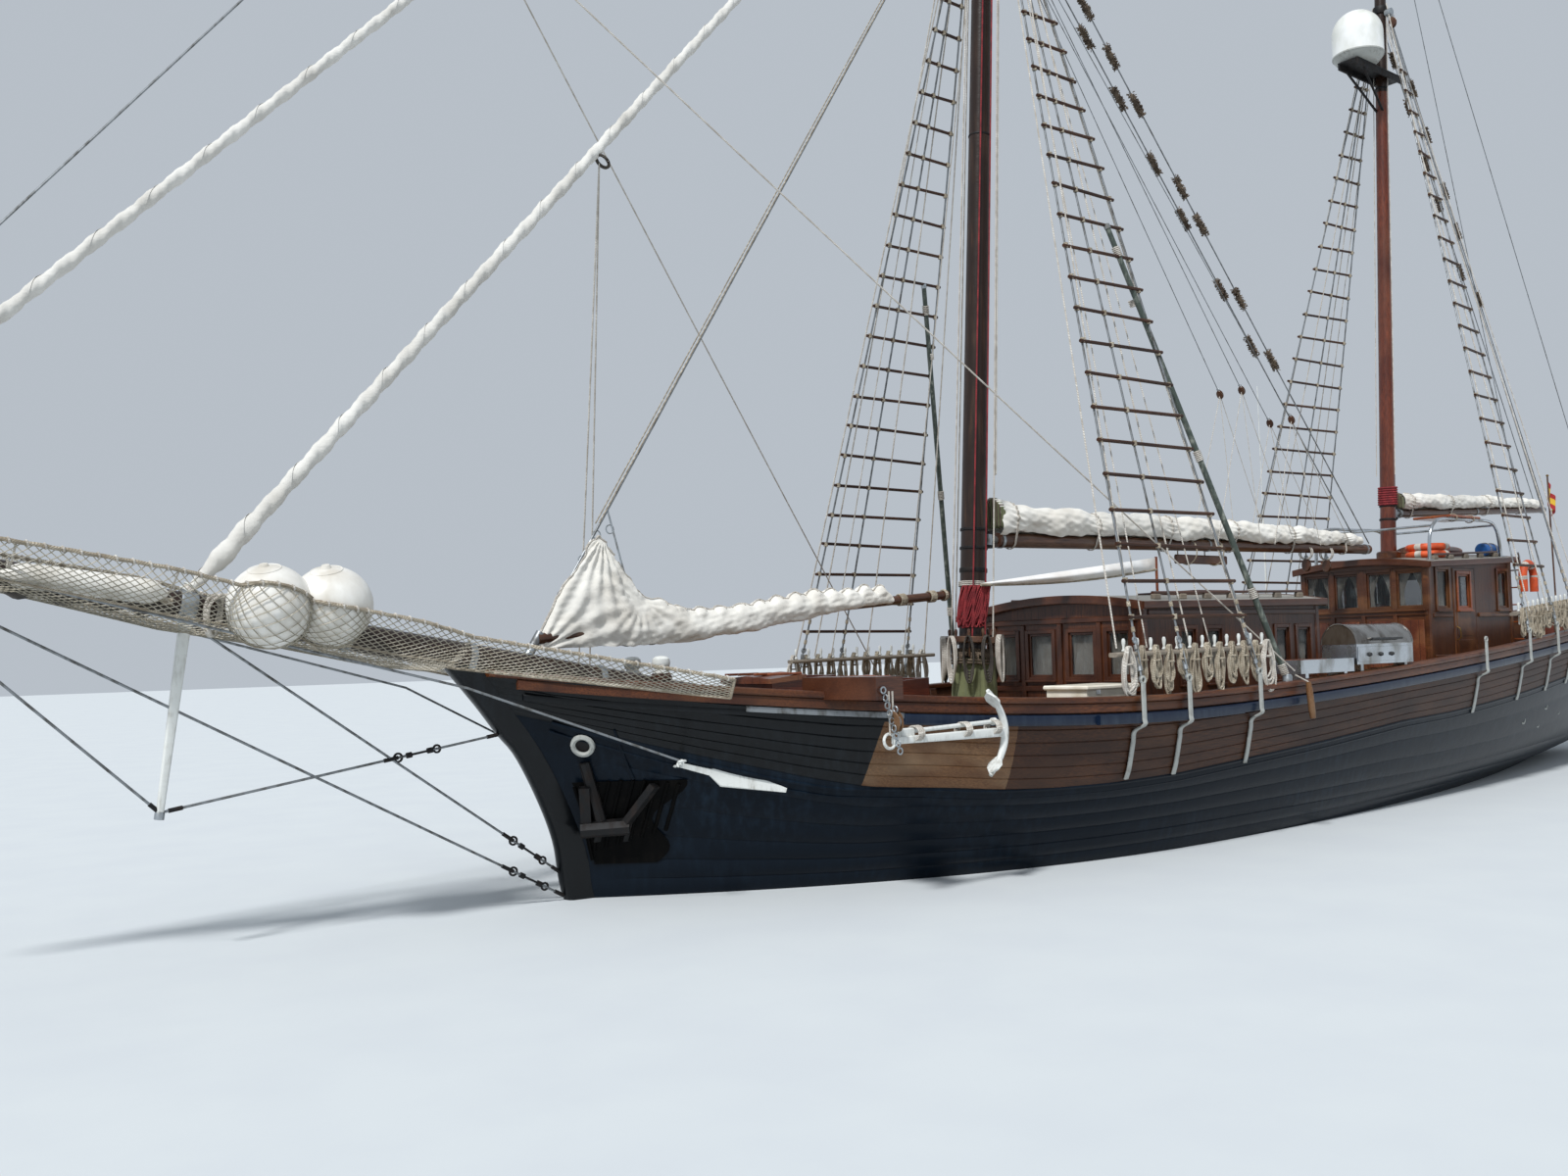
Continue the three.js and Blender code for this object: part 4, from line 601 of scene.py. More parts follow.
class Level:
    def __init__(self, sternX, heightAt, halfMiddle, halfStern, bowPower, sternPower, bowZ):
        self.sternX, self.height, self.bowX = sternX, heightAt, stemX(bowZ) - stemDepth
        self.values = halfMiddle, halfStern, bowPower, sternPower

    def half(self, x):
        halfMiddle, halfStern, bowPower, sternPower = self.values
        ahead = x > widestX
        reach = (x - widestX) / (self.bowX - widestX) if ahead else (widestX - x) / (widestX - self.sternX)
        end, power = (stemHalf, bowPower) if ahead else (halfStern, sternPower)
        return halfMiddle + (end - halfMiddle) * min(1, max(0, reach)) ** power


def makeLowerLevel(row):
    sternX, sternZ, middleZ, bowZ = row[:4]
    bowX = stemX(bowZ) - stemDepth

    def height(x):
        if x > widestX:
            return middleZ + (bowZ - middleZ) * min(1, (x - widestX) / (bowX - widestX)) ** 2
        return middleZ + (sternZ - middleZ) * min(1, (widestX - x) / (widestX - sternX)) ** 1.8

    return Level(sternX, height, *row[4:], bowZ)


deckLevel = Level(-12.05, lambda x: sheer(x) - 0.695, 2.45, 0.92, 2.9, 2.1, 1.3)
capLevel = Level(-12.25, lambda x: sheer(x) - 0.06, 2.59, 1.0, 2.9, 2.1, 1.95)
levels = [makeLowerLevel(row) for row in lowerLevels] + [deckLevel, capLevel]


def hullColumn(share, side):
    # control points of one section, keel to cap rail
    column = []
    for level in levels:
        x = level.sternX + (level.bowX - level.sternX) * share
        column.append((x, side * level.half(x), level.height(x)))
    return np.array(column)


def onColumn(column, place):
    # smooth curve through a section's points; place counts levels from the keel
    padded = np.vstack([2 * column[0] - column[1], column, 2 * column[-1] - column[-2]])
    place = np.clip(np.asarray(place, float), 0, len(column) - 1 - 1e-6)
    at = place.astype(int)
    t = (place - at)[:, None]
    a, b, c, d = (padded[at + step] for step in range(4))
    return spline(a, b, c, d, t)


def placeAtHeight(column, z):
    places = np.linspace(0, len(column) - 1, 200)
    return float(np.interp(z, onColumn(column, places)[:, 2], places))


def topsideHalf(x, z):
    heights = [(level.height(x), level.half(x)) for level in levels[3:]]
    return float(np.interp(z, [height for height, _ in heights], [half for _, half in heights]))


def onHull(x, z, proud=0.0, side=1):
    return np.array([x, side * (topsideHalf(x, z) + proud), z])


bandLine = [  # the moulding under the topside band: x, z
    (-12.3, 2.02), (-9.0, 1.66), (-6.5, 1.42), (-4.73, 1.276), (-3.09, 1.172), (-1.92, 1.113),
    (-0.57, 1.074), (1.32, 0.946), (2.46, 0.882), (4.0, 0.792), (4.98, 0.768), (5.81, 0.775), (6.43, 0.8),
    (7.0, 0.855), (7.75, 0.906), (8.23, 1.017), (8.9, 1.218), (9.31, 1.361), (10.1, 1.66),
]


def bandZ(x):
    return float(np.interp(x, [row[0] for row in bandLine], [row[1] for row in bandLine]))


planking = {
    "columns": 190,
    "bottomStrakes": 8, "lowerStrakes": 6, "topStrakes": 7,
    "grooveDepth": 0.007, "crown": 0.003, "grooveShare": 0.07,
    "blackForeOf": 7.52, "tanBackTo": 6.2,  # the band is tan between these
    "waterZ": -0.03,
}


def makeHull():
    shape = Shape()
    shares = np.linspace(0, 1, planking["columns"])
    inStrake = [0.0, planking["grooveShare"], 0.5, 1 - planking["grooveShare"]]
    offsets = [-planking["grooveDepth"], 0.0, planking["crown"], 0.0]
    zones = [("bottomStrakes", 0), ("lowerStrakes", 1), ("topStrakes", 2)]
    for side in (1, -1):
        rows, proud, zone = [], [], []
        columns = [hullColumn(share, side) for share in shares]
        guides = []
        for column in columns:
            water = placeAtHeight(column, planking["waterZ"])
            level = onColumn(column, [5.5])[0]
            band = min(placeAtHeight(column, bandZ(level[0])), 5.95)
            guides.append((0.0, water, max(band, water + 0.3), 6.0))
        guides = np.array(guides)
        for count, start in zones:
            for strake in range(planking[count]):
                for share, offset in zip(inStrake, offsets):
                    t = (strake + share) / planking[count]
                    rows.append(guides[:, start] * (1 - t) + guides[:, start + 1] * t)
                    proud.append(offset)
                    zone.append(start)
        rows.append(guides[:, 3])
        proud.append(0.0)
        places = np.array(rows)  # rows, columns
        points = np.stack([onColumn(column, places[:, index]) for index, column in enumerate(columns)], 1)
        ends, numbers = [], np.arange(len(columns))
        # columns move on to the colours' upright edges
        for edge in (planking["blackForeOf"], planking["tanBackTo"]):
            crossings = [np.interp(edge, row[:, 0], numbers) for row in points]
            lowest = zone.index(2)
            nearest = round(np.mean(crossings[lowest:]))
            ends.append(nearest)
            for index, row in enumerate(points):
                shift = (crossings[max(index, lowest)] - nearest) * np.exp(-((numbers - nearest) / 9) ** 2)
                points[index] = np.stack([np.interp(numbers + shift, numbers, row[:, axis])
                    for axis in range(3)], 1)
        normal = unit(np.cross(np.gradient(points, axis=1), np.gradient(points, axis=0)))
        normal *= np.sign(normal[..., 1:2] * side + 1e-9)
        fade = np.clip((shares[-1] - shares) / 0.02, 0, 1)[None, :, None]  # seams run out at the stem
        points = points + normal * np.array(proud)[:, None, None] * fade
        band = np.where(numbers[:-1] >= ends[0], 2, np.where(numbers[:-1] >= ends[1], 4, 3))
        finishes = [(0 * band, 0 * band + 1, band)[part] for part in zone]
        if side < 0:
            points = points[:, ::-1]
            finishes = [row[::-1] for row in finishes]
        addGrid(shape, points, np.concatenate(finishes).astype(int))
    # rounded counter between the two sides, up to the taffrail
    column = hullColumn(0, 1)
    places = np.linspace(0, 5.2, 40)
    edge = onColumn(column, places)
    across = np.linspace(1, -1, 13)
    bulge = 0.1 * np.clip(places / 4, 0, 1)
    counter = np.stack([edge * (1, share, 1) - np.stack([bulge * (1 - share ** 2), 0 * bulge, 0 * bulge],
        1) for share in across], 1)
    heights = (edge[:-1, 2] + edge[1:, 2]) / 2
    tones = np.where(heights < planking["waterZ"], 0, 1)
    addGrid(shape, counter, np.repeat(tones, len(across) - 1))
    addPiece("plankedHull", shape, "redBottom slateEnamel blackEnamel brownPlank tanPlank",
        stands=["hull", "bulwark_port", "bulwark_starboard"])


def capPoint(share, side, inset=0.0, drop=0.0):
    x = capLevel.sternX + (capLevel.bowX - capLevel.sternX) * share
    return np.array([x, side * (capLevel.half(x) - inset), capLevel.height(x) - drop])


rails = {
    "capWidth": 0.17, "capHeight": 0.06, "capOverhang": 0.038,
    "rubTop": 0.1, "rubHeight": 0.1, "rubDepth": 0.07,  # below the top of the bulwark
    "navyForeEnd": 7.35, "stripFrom": 8.6,
    "thickStrip": (3.18, 5.36),
    "stanchionEvery": 0.92,
}


def sideLine(x0, x1, steps, side, inset, drop):
    # runs on the bulwark's face, drop below its top
    path = []
    for x in np.linspace(x0, x1, steps):
        z = capLevel.height(x) - drop
        path.append((x, side * (topsideHalf(x, z) - inset), z))
    return np.array(path)


def makeRails():
    for name, side in (("Port", 1), ("Starboard", -1)):
        cad = name.lower()
        shape = Shape()
        shares = np.linspace(0, 1, 150)
        inset = rails["capWidth"] / 2 - rails["capOverhang"]
        path = np.array([capPoint(share, side, inset) for share in shares]) + (0, 0, rails["capHeight"] / 2)
        path[:, 1] = side * np.maximum(side * path[:, 1], rails["capWidth"] / 2 + 0.001)
        addSweep(shape, path, roundedBox(rails["capWidth"], rails["capHeight"], 0.018))
        strake = sideLine(-12.1, 10.15, 130, side, -0.012, 0.045)  # varnished strake under the cap
        addSweep(shape, strake, roundedBox(0.03, 0.085, 0.008))
        addPiece(f"capRail{name}", shape, "railVarnish", stands=[f"cap_rail_{cad}"])
        band = Shape()
        middle = rails["rubTop"] + rails["rubHeight"] / 2
        rub = roundedBox(rails["rubDepth"], rails["rubHeight"], 0.022)
        out = -rails["rubDepth"] / 2 + 0.004
        foreEnd = rails["navyForeEnd"]
        addSweep(band, sideLine(-12.15, foreEnd, 120, side, out, middle), rub)
        addSweep(band, sideLine(foreEnd + 0.01, 10.1, 30, side, -0.01, middle), rub * (0.35, 0.55), 1)
        low, high = rails["thickStrip"]
        addSweep(band, sideLine(low, high, 16, side, -0.085, middle + 0.005), roundedBox(0.05, 0.09, 0.01))
        addSweep(band, sideLine(foreEnd, rails["stripFrom"], 16, side, -0.032, 0.12),
            roundedBox(0.012, 0.05, 0.003), 2)
        for lift, radius in ((0.0, 0.018), (-0.07, 0.012)):  # mouldings below the band
            line = [onHull(x, bandZ(x) + lift, 0.004, side) for x in np.linspace(-11.6, 9.85, 150)]
            addTube(band, line, radius, 6, 3)
        addPiece(f"rubRail{name}", band, "navyEnamel blackEnamel wire slateEnamel")
        inner = Shape()
        rows = []
        for drop in np.linspace(0.0, 0.62, 6):
            rows.append([(x, side * (topsideHalf(x, capLevel.height(x) - drop) - 0.075),
                capLevel.height(x) - drop) for x in np.linspace(-12.0, 9.6, 110)])
        addGrid(inner, rows[::side])
        for x in np.arange(-11.2, 9.0, rails["stanchionEvery"]):
            ends = [(x, side * (topsideHalf(x, z) - 0.125), z) for z in (deckLevel.height(x) + 0.045,
                capLevel.height(x) - 0.002)]
            addBar(inner, *ends, 0.12, 0.09, 0.008, up=(0, 1, 0))
        addPiece(f"bulwarkLining{name}", inner, "brownPlank")


def makeStem():
    shape = Shape()
    heights = np.linspace(-1.5, 2.1, 60)
    knots = smoothPath([(x, 0, z) for z, x in stemLine], 8)
    path = np.array([(np.interp(z, knots[:, 2], knots[:, 0]), 0, z) for z in heights])
    across = np.linspace(-1, 1, 9)
    section = [(-0.03 - stemDepth, stemHalf),
        *[(0.05 * (sqrt(1 - 0.96 * t * t) - 1), -0.085 * t) for t in across],
        (-0.03 - stemDepth, -stemHalf)]
    addSweep(shape, path, section, 0, (1, 0, 0), (0, 1, 0))
    addPiece("stemTimber", shape, "blackEnamel", stands=["stem"])


makeHull()
makeRails()
makeStem()
keepNode("teakDeck", 0, "deck")
keepNode("redBottom", 12, "keel", "rudder")
keepNode("bronze", 4, "propeller")
keepNode("mahogany", 8, "taffrail")
print("hull made")

# Spars
masts = {
    "main": {"foot": (4.433, 0.9), "rake": 0.0708, "top": 18.6, "radii": (0.156, 0.078), "hounds": 11.7,
        "bands": ((11.64, 0.13, 0.03), (13.0, 0.11, 0.022), (15.35, 0.11, 0.022), (18.5, 0.1, 0.02),
        (8.02, 0.02, 0.006), (2.95, 0.05, 0.01))},  # foot, height and how far each stands proud
    "mizzen": {"foot": (-4.795, 1.2), "rake": 0.0674, "top": 15.6, "radii": (0.124, 0.07), "hounds": 12.1,
        "bands": ((12.05, 0.12, 0.028), (15.5, 0.1, 0.02), (10.8, 0.03, 0.008))},
}


def mastAt(name, z, y=0.0, ahead=0.0):
    mast = masts[name]
    return np.array([mast["foot"][0] - mast["rake"] * (z - mast["foot"][1]) + ahead, y, z])


def mastRadius(name, z):
    mast = masts[name]
    return float(np.interp(z, [mast["foot"][1], mast["top"]], mast["radii"]))


def addBand(shape, name, z, height, proud, tone, sides=40):
    # ring round a mast with rounded edges
    radius = mastRadius(name, z)
    axis = mastAt(name, 10) - mastAt(name, 0)
    profile = [(radius - 0.01, 0), (radius + proud * 0.7, 0), (radius + proud, height * 0.15),
        (radius + proud, height * 0.85), (radius + proud * 0.7, height), (radius - 0.01, height)]
    addLathe(shape, profile, mastAt(name, z), axis, sides, tone)


goosenecks = {
    "main": {"pivot": (4.025956, 0, 3.33), "end": (-4.33, 0, 3.43), "radius": 0.088},
    "mizzen": {"pivot": (-5.169394, 0, 4.01), "end": (-10.5, 0, 4.3), "radius": 0.068},
}
mizzenDarkFrom = 10.84  # the mizzen is painted dark above this
stayFoot, stayHead = np.array([9.83, 0, 2.235]), np.array([3.75, 0, 11.8])
stayEndX = 3.88


def onStay(distance):
    return stayFoot + unit(stayHead - stayFoot) * distance


def addShelves(shape, name, tone):
    pivot, height = np.array(goosenecks[name]["pivot"]), goosenecks[name]["pivot"][2]
    axis = unit(mastAt(name, 10) - mastAt(name, 0))
    for way in (-1, 1):
        addLathe(shape, [(0, 0), (0.055, 0), (0.058, 0.004), (0.058, 0.028), (0.055, 0.032), (0, 0.032)],
            pivot + axis * (0.0625 if way > 0 else -0.0945), axis, 20, tone)
        addBar(shape, mastAt(name, height) + axis * way * 0.082, pivot + axis * way * 0.082, 0.08, 0.02,
            0.004, tone)
    addBand(shape, name, height - 0.12, 0.03, 0.012, tone)
    addBand(shape, name, height + 0.09, 0.03, 0.012, tone)


def makeMasts():
    for name, mast in masts.items():
        shape = Shape()
        heights = np.linspace(mast["foot"][1] + 0.02, mast["top"], 90)
        path = [mastAt(name, z) for z in heights]
        addTube(shape, path, [mastRadius(name, z) for z in heights], 40, 0)
        for z, height, proud in mast["bands"]:
            addBand(shape, name, z, height, proud, 1)
        if name == "mizzen":
            upper = heights[heights > mizzenDarkFrom - 0.1]
            addTube(shape, [mastAt(name, z) for z in upper], [mastRadius(name, z) + 0.002 for z in upper],
                40, 2)
            aft, fore = mastAt(name, 11.05)[0] - 0.43, -4.44
            addBlock(shape, (aft, -0.17, 11.02), (fore, 0.17, 11.0497), 0.006, 1)
            for side in (1, -1):
                addBar(shape, (aft, side * 0.15, 10.98), (fore, side * 0.15, 10.98), 0.03, 0.09, 0.004, 1)
                addBar(shape, (-4.62, side * 0.14, 10.97), mastAt(name, 10.4, side * 0.04), 0.03, 0.03,
                    0.004, 1)
        else:
            end = (stayFoot[0] - stayEndX) / abs(unit(stayHead - stayFoot)[0])
            addTube(shape, [onStay(end + 0.0003), onStay(end + 0.32)], 0.03, 12, 1)
            # ring of turned pins round the foot
            axis = mastAt(name, 10) - mastAt(name, 0)
            outer = mastRadius(name, 2.15) + 0.15
            addLathe(shape, [(0.1, 0), (outer - 0.008, 0), (outer, 0.01), (outer, 0.06),
                (outer - 0.008, 0.07), (0.1, 0.07)], mastAt(name, 2.15), axis, 40, 4)
            for step in range(10):
                angle = step * pi / 5
                around = (outer - 0.045) * np.array([cos(angle), sin(angle), 0])
                addPin(shape, mastAt(name, 2.185) + around, 4)
        addShelves(shape, name, 1)
        paint, slot = ("mastPaint", "mast_paint") if name == "main" else ("sparVarnish", "spar_wood")
        addPiece(f"{name}MastSpar", shape, f"{paint} blackIron mastPaint galvanised boomVarnish",
            stands=[f"{name}_mast"])


def addPin(shape, place, tone):
    # turned belaying pin standing in a rail
    profile = [(0, 0.135), (0.012, 0.132), (0.019, 0.11), (0.017, 0.08), (0.012, 0.05), (0.014, 0.03),
        (0.022, 0.022), (0.022, 0.012), (0.012, 0.008), (0.011, -0.03), (0.01, -0.16), (0.004, -0.175),
        (0, -0.176)]
    addLathe(shape, profile[::-1], place, (0, 0, 1), 10, tone)


bowsprit = {"heel": (8.0, 0, 1.665), "tip": (15.65, 0, 3.149), "radii": (0.15, 0.075), "slope": 0.19399,
    "bands": (9.2, 10.45, 11.5, 13.6, 14.25, 15.5)}


def makeBowsprit():
    heel, tip = np.array(bowsprit["heel"]), np.array(bowsprit["tip"])
    shape = Shape()
    addTube(shape, between(heel, tip, 40), np.linspace(*bowsprit["radii"], 40), 32, 0)
    ahead = unit(tip - heel)
    for x in bowsprit["bands"]:
        share = (x - heel[0]) / (tip[0] - heel[0])
        radius = bowsprit["radii"][0] - 0.075 * share
        ring = [(radius - 0.01, -0.03), (radius + 0.01, -0.03), (radius + 0.013, -0.02),
            (radius + 0.013, 0.02), (radius + 0.01, 0.03), (radius - 0.01, 0.03)]
        addLathe(shape, ring, heel + (tip - heel) * share, ahead, 32, 1)
    addTube(shape, [onStay(-0.18), onStay(-0.0003)], 0.042, 16, 1)
    addTube(shape, [tip + ahead * -0.01, tip + ahead * 0.0], 0.078, 24, 1)
    addPiece("bowspritSpar", shape, "mastPaint galvanised", stands=["bowsprit"])


def makeBooms():
    for name in ("main", "mizzen"):
        neck = goosenecks[name]
        pivot, end = np.array(neck["pivot"]), np.array(neck["end"])
        ahead = unit(end - pivot)
        axis = unit(mastAt(name, 10) - mastAt(name, 0))
        shape = Shape()
        path = between(pivot + ahead * 0.12, end, 30)
        radii = np.linspace(neck["radius"], neck["radius"] * 0.8, 30)
        addTube(shape, path, radii, 28, 0)
        addTube(shape, [pivot, pivot + ahead * 0.16], 0.045, 16, 1)
        addTube(shape, [pivot - axis * 0.062, pivot + axis * 0.062], 0.05, 24, 1)
        for share in (0.02, 0.5, 0.985):
            radius = neck["radius"] * (1 - 0.2 * share)
            collar = disc(radius + 0.008, 0.04, radius - 0.01)
            addLathe(shape, collar, pivot + (end - pivot) * share, ahead, 28, 1)
        addPiece(f"{name}BoomSpar", shape, "boomVarnish galvanised", body=f"{name}_boom",
            stands=[f"{name}_boom"])
    shape = Shape()
    length = (stayFoot[0] - stayEndX) / abs(unit(stayHead - stayFoot)[0])
    addTube(shape, between(onStay(0), onStay(length), 20), 0.012, 10, 1)
    addTube(shape, [onStay(0.004), onStay(0.13)], 0.042, 20, 1)
    for y, high in ((0.035, 0.15), (-0.03, 0.35)):  # halyard and downhaul beside the stay
        addTube(shape, between(onStay(1.3) + (0.03, y, 0), onStay(length - high) + (0.02, y, 0), 8), 0.006,
            6, 2)
    heel, tip = onStay(0.066), np.array([4.72, 0, 2.7])
    addTube(shape, between(heel, tip, 20), np.linspace(0.055, 0.047, 20), 24, 0)
    for x in (5.45, 5.0, 4.78):
        share = (heel[0] - x) / (heel[0] - tip[0])
        wraps = 5 if x > 4.9 else 2
        for turn in range(wraps):
            centre = heel + (tip - heel) * share + unit(tip - heel) * 0.018 * turn
            addRing(shape, centre, tip - heel, 0.058, 0.009, 2)
    addPiece("clubBoomSpar", shape, "boomVarnish wire hemp", body="staysail_boom",
        stands=["staysail_boom"])


def addRing(shape, centre, axis, radius, thickness, tone=0, steps=18, squash=1.0):
    # closed loop of rope round an axis
    axis = unit(axis)
    side = unit(np.cross(axis, (0, 0, 1) if abs(axis[2]) < 0.9 else (1, 0, 0)))
    up = np.cross(axis, side)
    angles = np.linspace(0, 2 * pi, steps + 1)
    path = [np.asarray(centre) + radius * (cos(a) * side + squash * sin(a) * up) for a in angles]
    addTube(shape, path, thickness, 6, tone, capped=False)


# Shrouds with ratlines, rigging screws, straps and pin rails
rigs = {
    "main": {"chains": (4.78, 4.09, 2.88), "rail": (5.0, 2.5), "rungs": {1: (0, 2), -1: (0, 2)},
        "first": 2.36},
    "mizzen": {"chains": (-4.2, -5.4, -6.4), "rail": (-4.05, -6.6), "rungs": {1: (0, 1), -1: (0, 2)},
        "first": 3.05},
}
rungs = {"spacing": 0.36, "radius": 0.019, "overshoot": 0.05}
straps = {"width": 0.06, "thickness": 0.018, "drop": 0.8}


def shroudLine(name, x, side):
    hounds = masts[name]["hounds"]
    head = mastAt(name, hounds, side * (mastRadius(name, hounds) + 0.02))
    return head, np.array([x, side * (capLevel.half(x) + 0.072), sheer(x) + 0.11])


def addScrew(shape, low, high, tone):
    # open rigging screw between two shackles
    ahead = unit(high - low)
    side = unit(np.cross(ahead, (1, 0, 0)))
    body = [low + (high - low) * share for share in (0.28, 0.82)]
    for way in (-1, 1):
        addTube(shape, [body[0] + side * way * 0.016, body[1] + side * way * 0.016], 0.008, 6, tone)
    for place in body:
        addTube(shape, [place - ahead * 0.022, place + ahead * 0.022], 0.024, 10, tone)
    addTube(shape, [low, low + (high - low) * 0.4], 0.01, 8, tone)
    addTube(shape, [low + (high - low) * 0.7, high], 0.01, 8, tone)
    for place, size in ((low, 0.034), (high, 0.03)):
        addRing(shape, place, side, size, 0.01, tone, 14)


def addStrap(shape, x, side, tone):
    path, reach = [], sheer(x)
    outer = capLevel.half(x) + 0.078
    for drop in (-0.13, -0.04, 0.1, 0.22, 0.275):
        path.append((x, side * outer, reach - drop))
    for drop in np.linspace(0.34, straps["drop"], 6):
        path.append(tuple(onHull(x, reach - drop, 0.022, side)))
    path = smoothPath(path, 4)
    section = roundedBox(straps["width"], straps["thickness"], 0.006)
    up = unit(np.gradient(path, axis=0))
    outward = unit(np.cross((1, 0, 0), up)) * side
    addSweep(shape, path, section, tone, (1, 0, 0), outward)
    addRing(shape, (x, side * outer, reach + 0.15), (0, 1, 0), 0.032, 0.012, tone, 14)


def addHank(shape, place, drop, side, tone, loops=6, width=0.07):
    # coil of rope hung over a pin
    for loop in range(loops):
        spread = width * random.uniform(0.6, 1.15)
        fall = drop * random.uniform(0.72, 1.08)
        lean = random.uniform(-0.03, 0.03)
        out = side * (0.025 + 0.012 * (loop % 3))
        angles = np.linspace(0, 2 * pi, 22)
        path = []
        for angle in angles:
            low = (1 - cos(angle)) / 2
            path.append(np.asarray(place) + (spread * sin(angle) * (0.45 + 0.55 * low) + lean * low,
                out + 0.01 * sin(3 * angle + loop), 0.055 - fall * low))
        addTube(shape, path, 0.0105, 6, tone, capped=False)
    wrap = np.asarray(place) + (0, side * 0.035, -drop * 0.22)
    addRing(shape, wrap, (0, 0, 1), 0.045, 0.011, tone, 12)


def makeShrouds():
    for name, rig in rigs.items():
        for sideName, side in (("Port", 1), ("Starboard", -1)):
            shape = Shape()
            lines = [shroudLine(name, x, side) for x in rig["chains"]]
            for (head, foot), x in zip(lines, rig["chains"]):
                screw = foot + (head - foot) * 0.042
                addTube(shape, between(screw, head, 12), 0.0115, 8, 0)
                addScrew(shape, foot + (head - foot) * 0.004, screw, 1)
                addStrap(shape, x, side, 2)
                for share in (0.05, 0.062, 0.075):  # wire seizings above the screw
                    place = foot + (head - foot) * share
                    addTube(shape, [place, place + unit(head - foot) * 0.05], 0.019, 8, 3)
            hounds = mastAt(name, masts[name]["hounds"] - 0.06)
            addTube(shape, [hounds + (0, side * 0.09, 0), hounds + (0, side * 0.19, 0)], 0.06, 20, 1)
            first, last = rig["rungs"][side]
            fore, aft = lines[first], lines[last]
            z = rig["first"]
            while z < masts[name]["hounds"] - 0.9:
                ends = [foot + (head - foot) * (z - foot[2]) / (head[2] - foot[2])
                    for head, foot in (fore, aft)]
                ahead = unit(ends[1] - ends[0])
                lifted = random.uniform(-0.012, 0.012)
                rod = [ends[0] - ahead * rungs["overshoot"] + (0, side * 0.02, lifted),
                    ends[1] + ahead * rungs["overshoot"] + (0, side * 0.02, -lifted)]
                addTube(shape, rod, rungs["radius"], 8, 8)
                for head, foot in lines[first:last + 1]:
                    place = foot + (head - foot) * (z - foot[2]) / (head[2] - foot[2]) + (0, side * 0.01, 0)
                    addTube(shape, [place - (0, 0, 0.026), place + (0, 0, 0.026)], 0.026, 8, 5)
                z += rungs["spacing"]
            # pin rail lashed inside the shrouds, with its pins and hung coils
            ends = [np.array([x, side * (capLevel.half(x) - 0.075), sheer(x) + 0.39]) for x in rig["rail"]]
            ahead = unit(ends[1] - ends[0])
            section = np.stack([roundedBox(0.19 * width, 0.045, 0.018) for width in (0.55, 0.9, *[1.0] * 8,
                0.9, 0.55)])
            addSweep(shape, between(*ends, 12), section, 4, unit(np.cross((0, 0, 1), ahead)))
            count = 12
            for pin in range(count):
                share = (pin + 0.6) / (count + 0.2)
                place = ends[0] + (ends[1] - ends[0]) * share
                addPin(shape, place + (0, side * 0.03, 0.02), 6)
                big = name == "main" and pin in (0, count - 1)
                addHank(shape, place + (0, side * 0.05, 0.02), 0.52 if big else random.uniform(0.34, 0.5),
                    side, 7 if big else 5, 10 if big else 7, 0.12 if big else 0.07)
            finishes = "wire galvanised greyStrap hemp greyTeak hemp whitePaint whiteRope brownPlank"
            addPiece(f"{name}Shrouds{sideName}", shape, finishes,
                stands=[f"{name}_shrouds_{sideName.lower()}"])


makeMasts()
makeBowsprit()
makeBooms()
makeShrouds()
print("spars and shrouds made")

# Cloth. Creases are a sum of slanted waves, so a sheet wrinkles the same way each run.
def creases(points, size, seed, count=9):
    rng = np.random.default_rng(seed)
    total = np.zeros(points.shape[:-1])
    for _ in range(count):
        direction = rng.normal(size=3) * (0.8, 1, 1.3)
        wave = 2 * pi / (size * rng.uniform(0.5, 1.8))
        total += np.sin(points @ unit(direction) * wave + rng.uniform(0, 6.3)) / count ** 0.5
    return total


def outward(points):
    normal = np.cross(np.gradient(points, axis=0), np.gradient(points, axis=1))
    return unit(normal)


covers = {
    "main": {"sections": [(0.012, 0.15, 0.235), (0.06, 0.185, 0.205), (0.3, 0.185, 0.18), (0.6, 0.17, 0.16),
        (0.85, 0.14, 0.13), (0.965, 0.09, 0.095)], "tieEvery": 1.45, "crease": 0.019},
    "mizzen": {"sections": [(0.03, 0.12, 0.17), (0.1, 0.15, 0.15), (0.5, 0.14, 0.13), (0.85, 0.11, 0.105),
        (0.96, 0.07, 0.075)], "tieEvery": 1.3, "crease": 0.015},
}


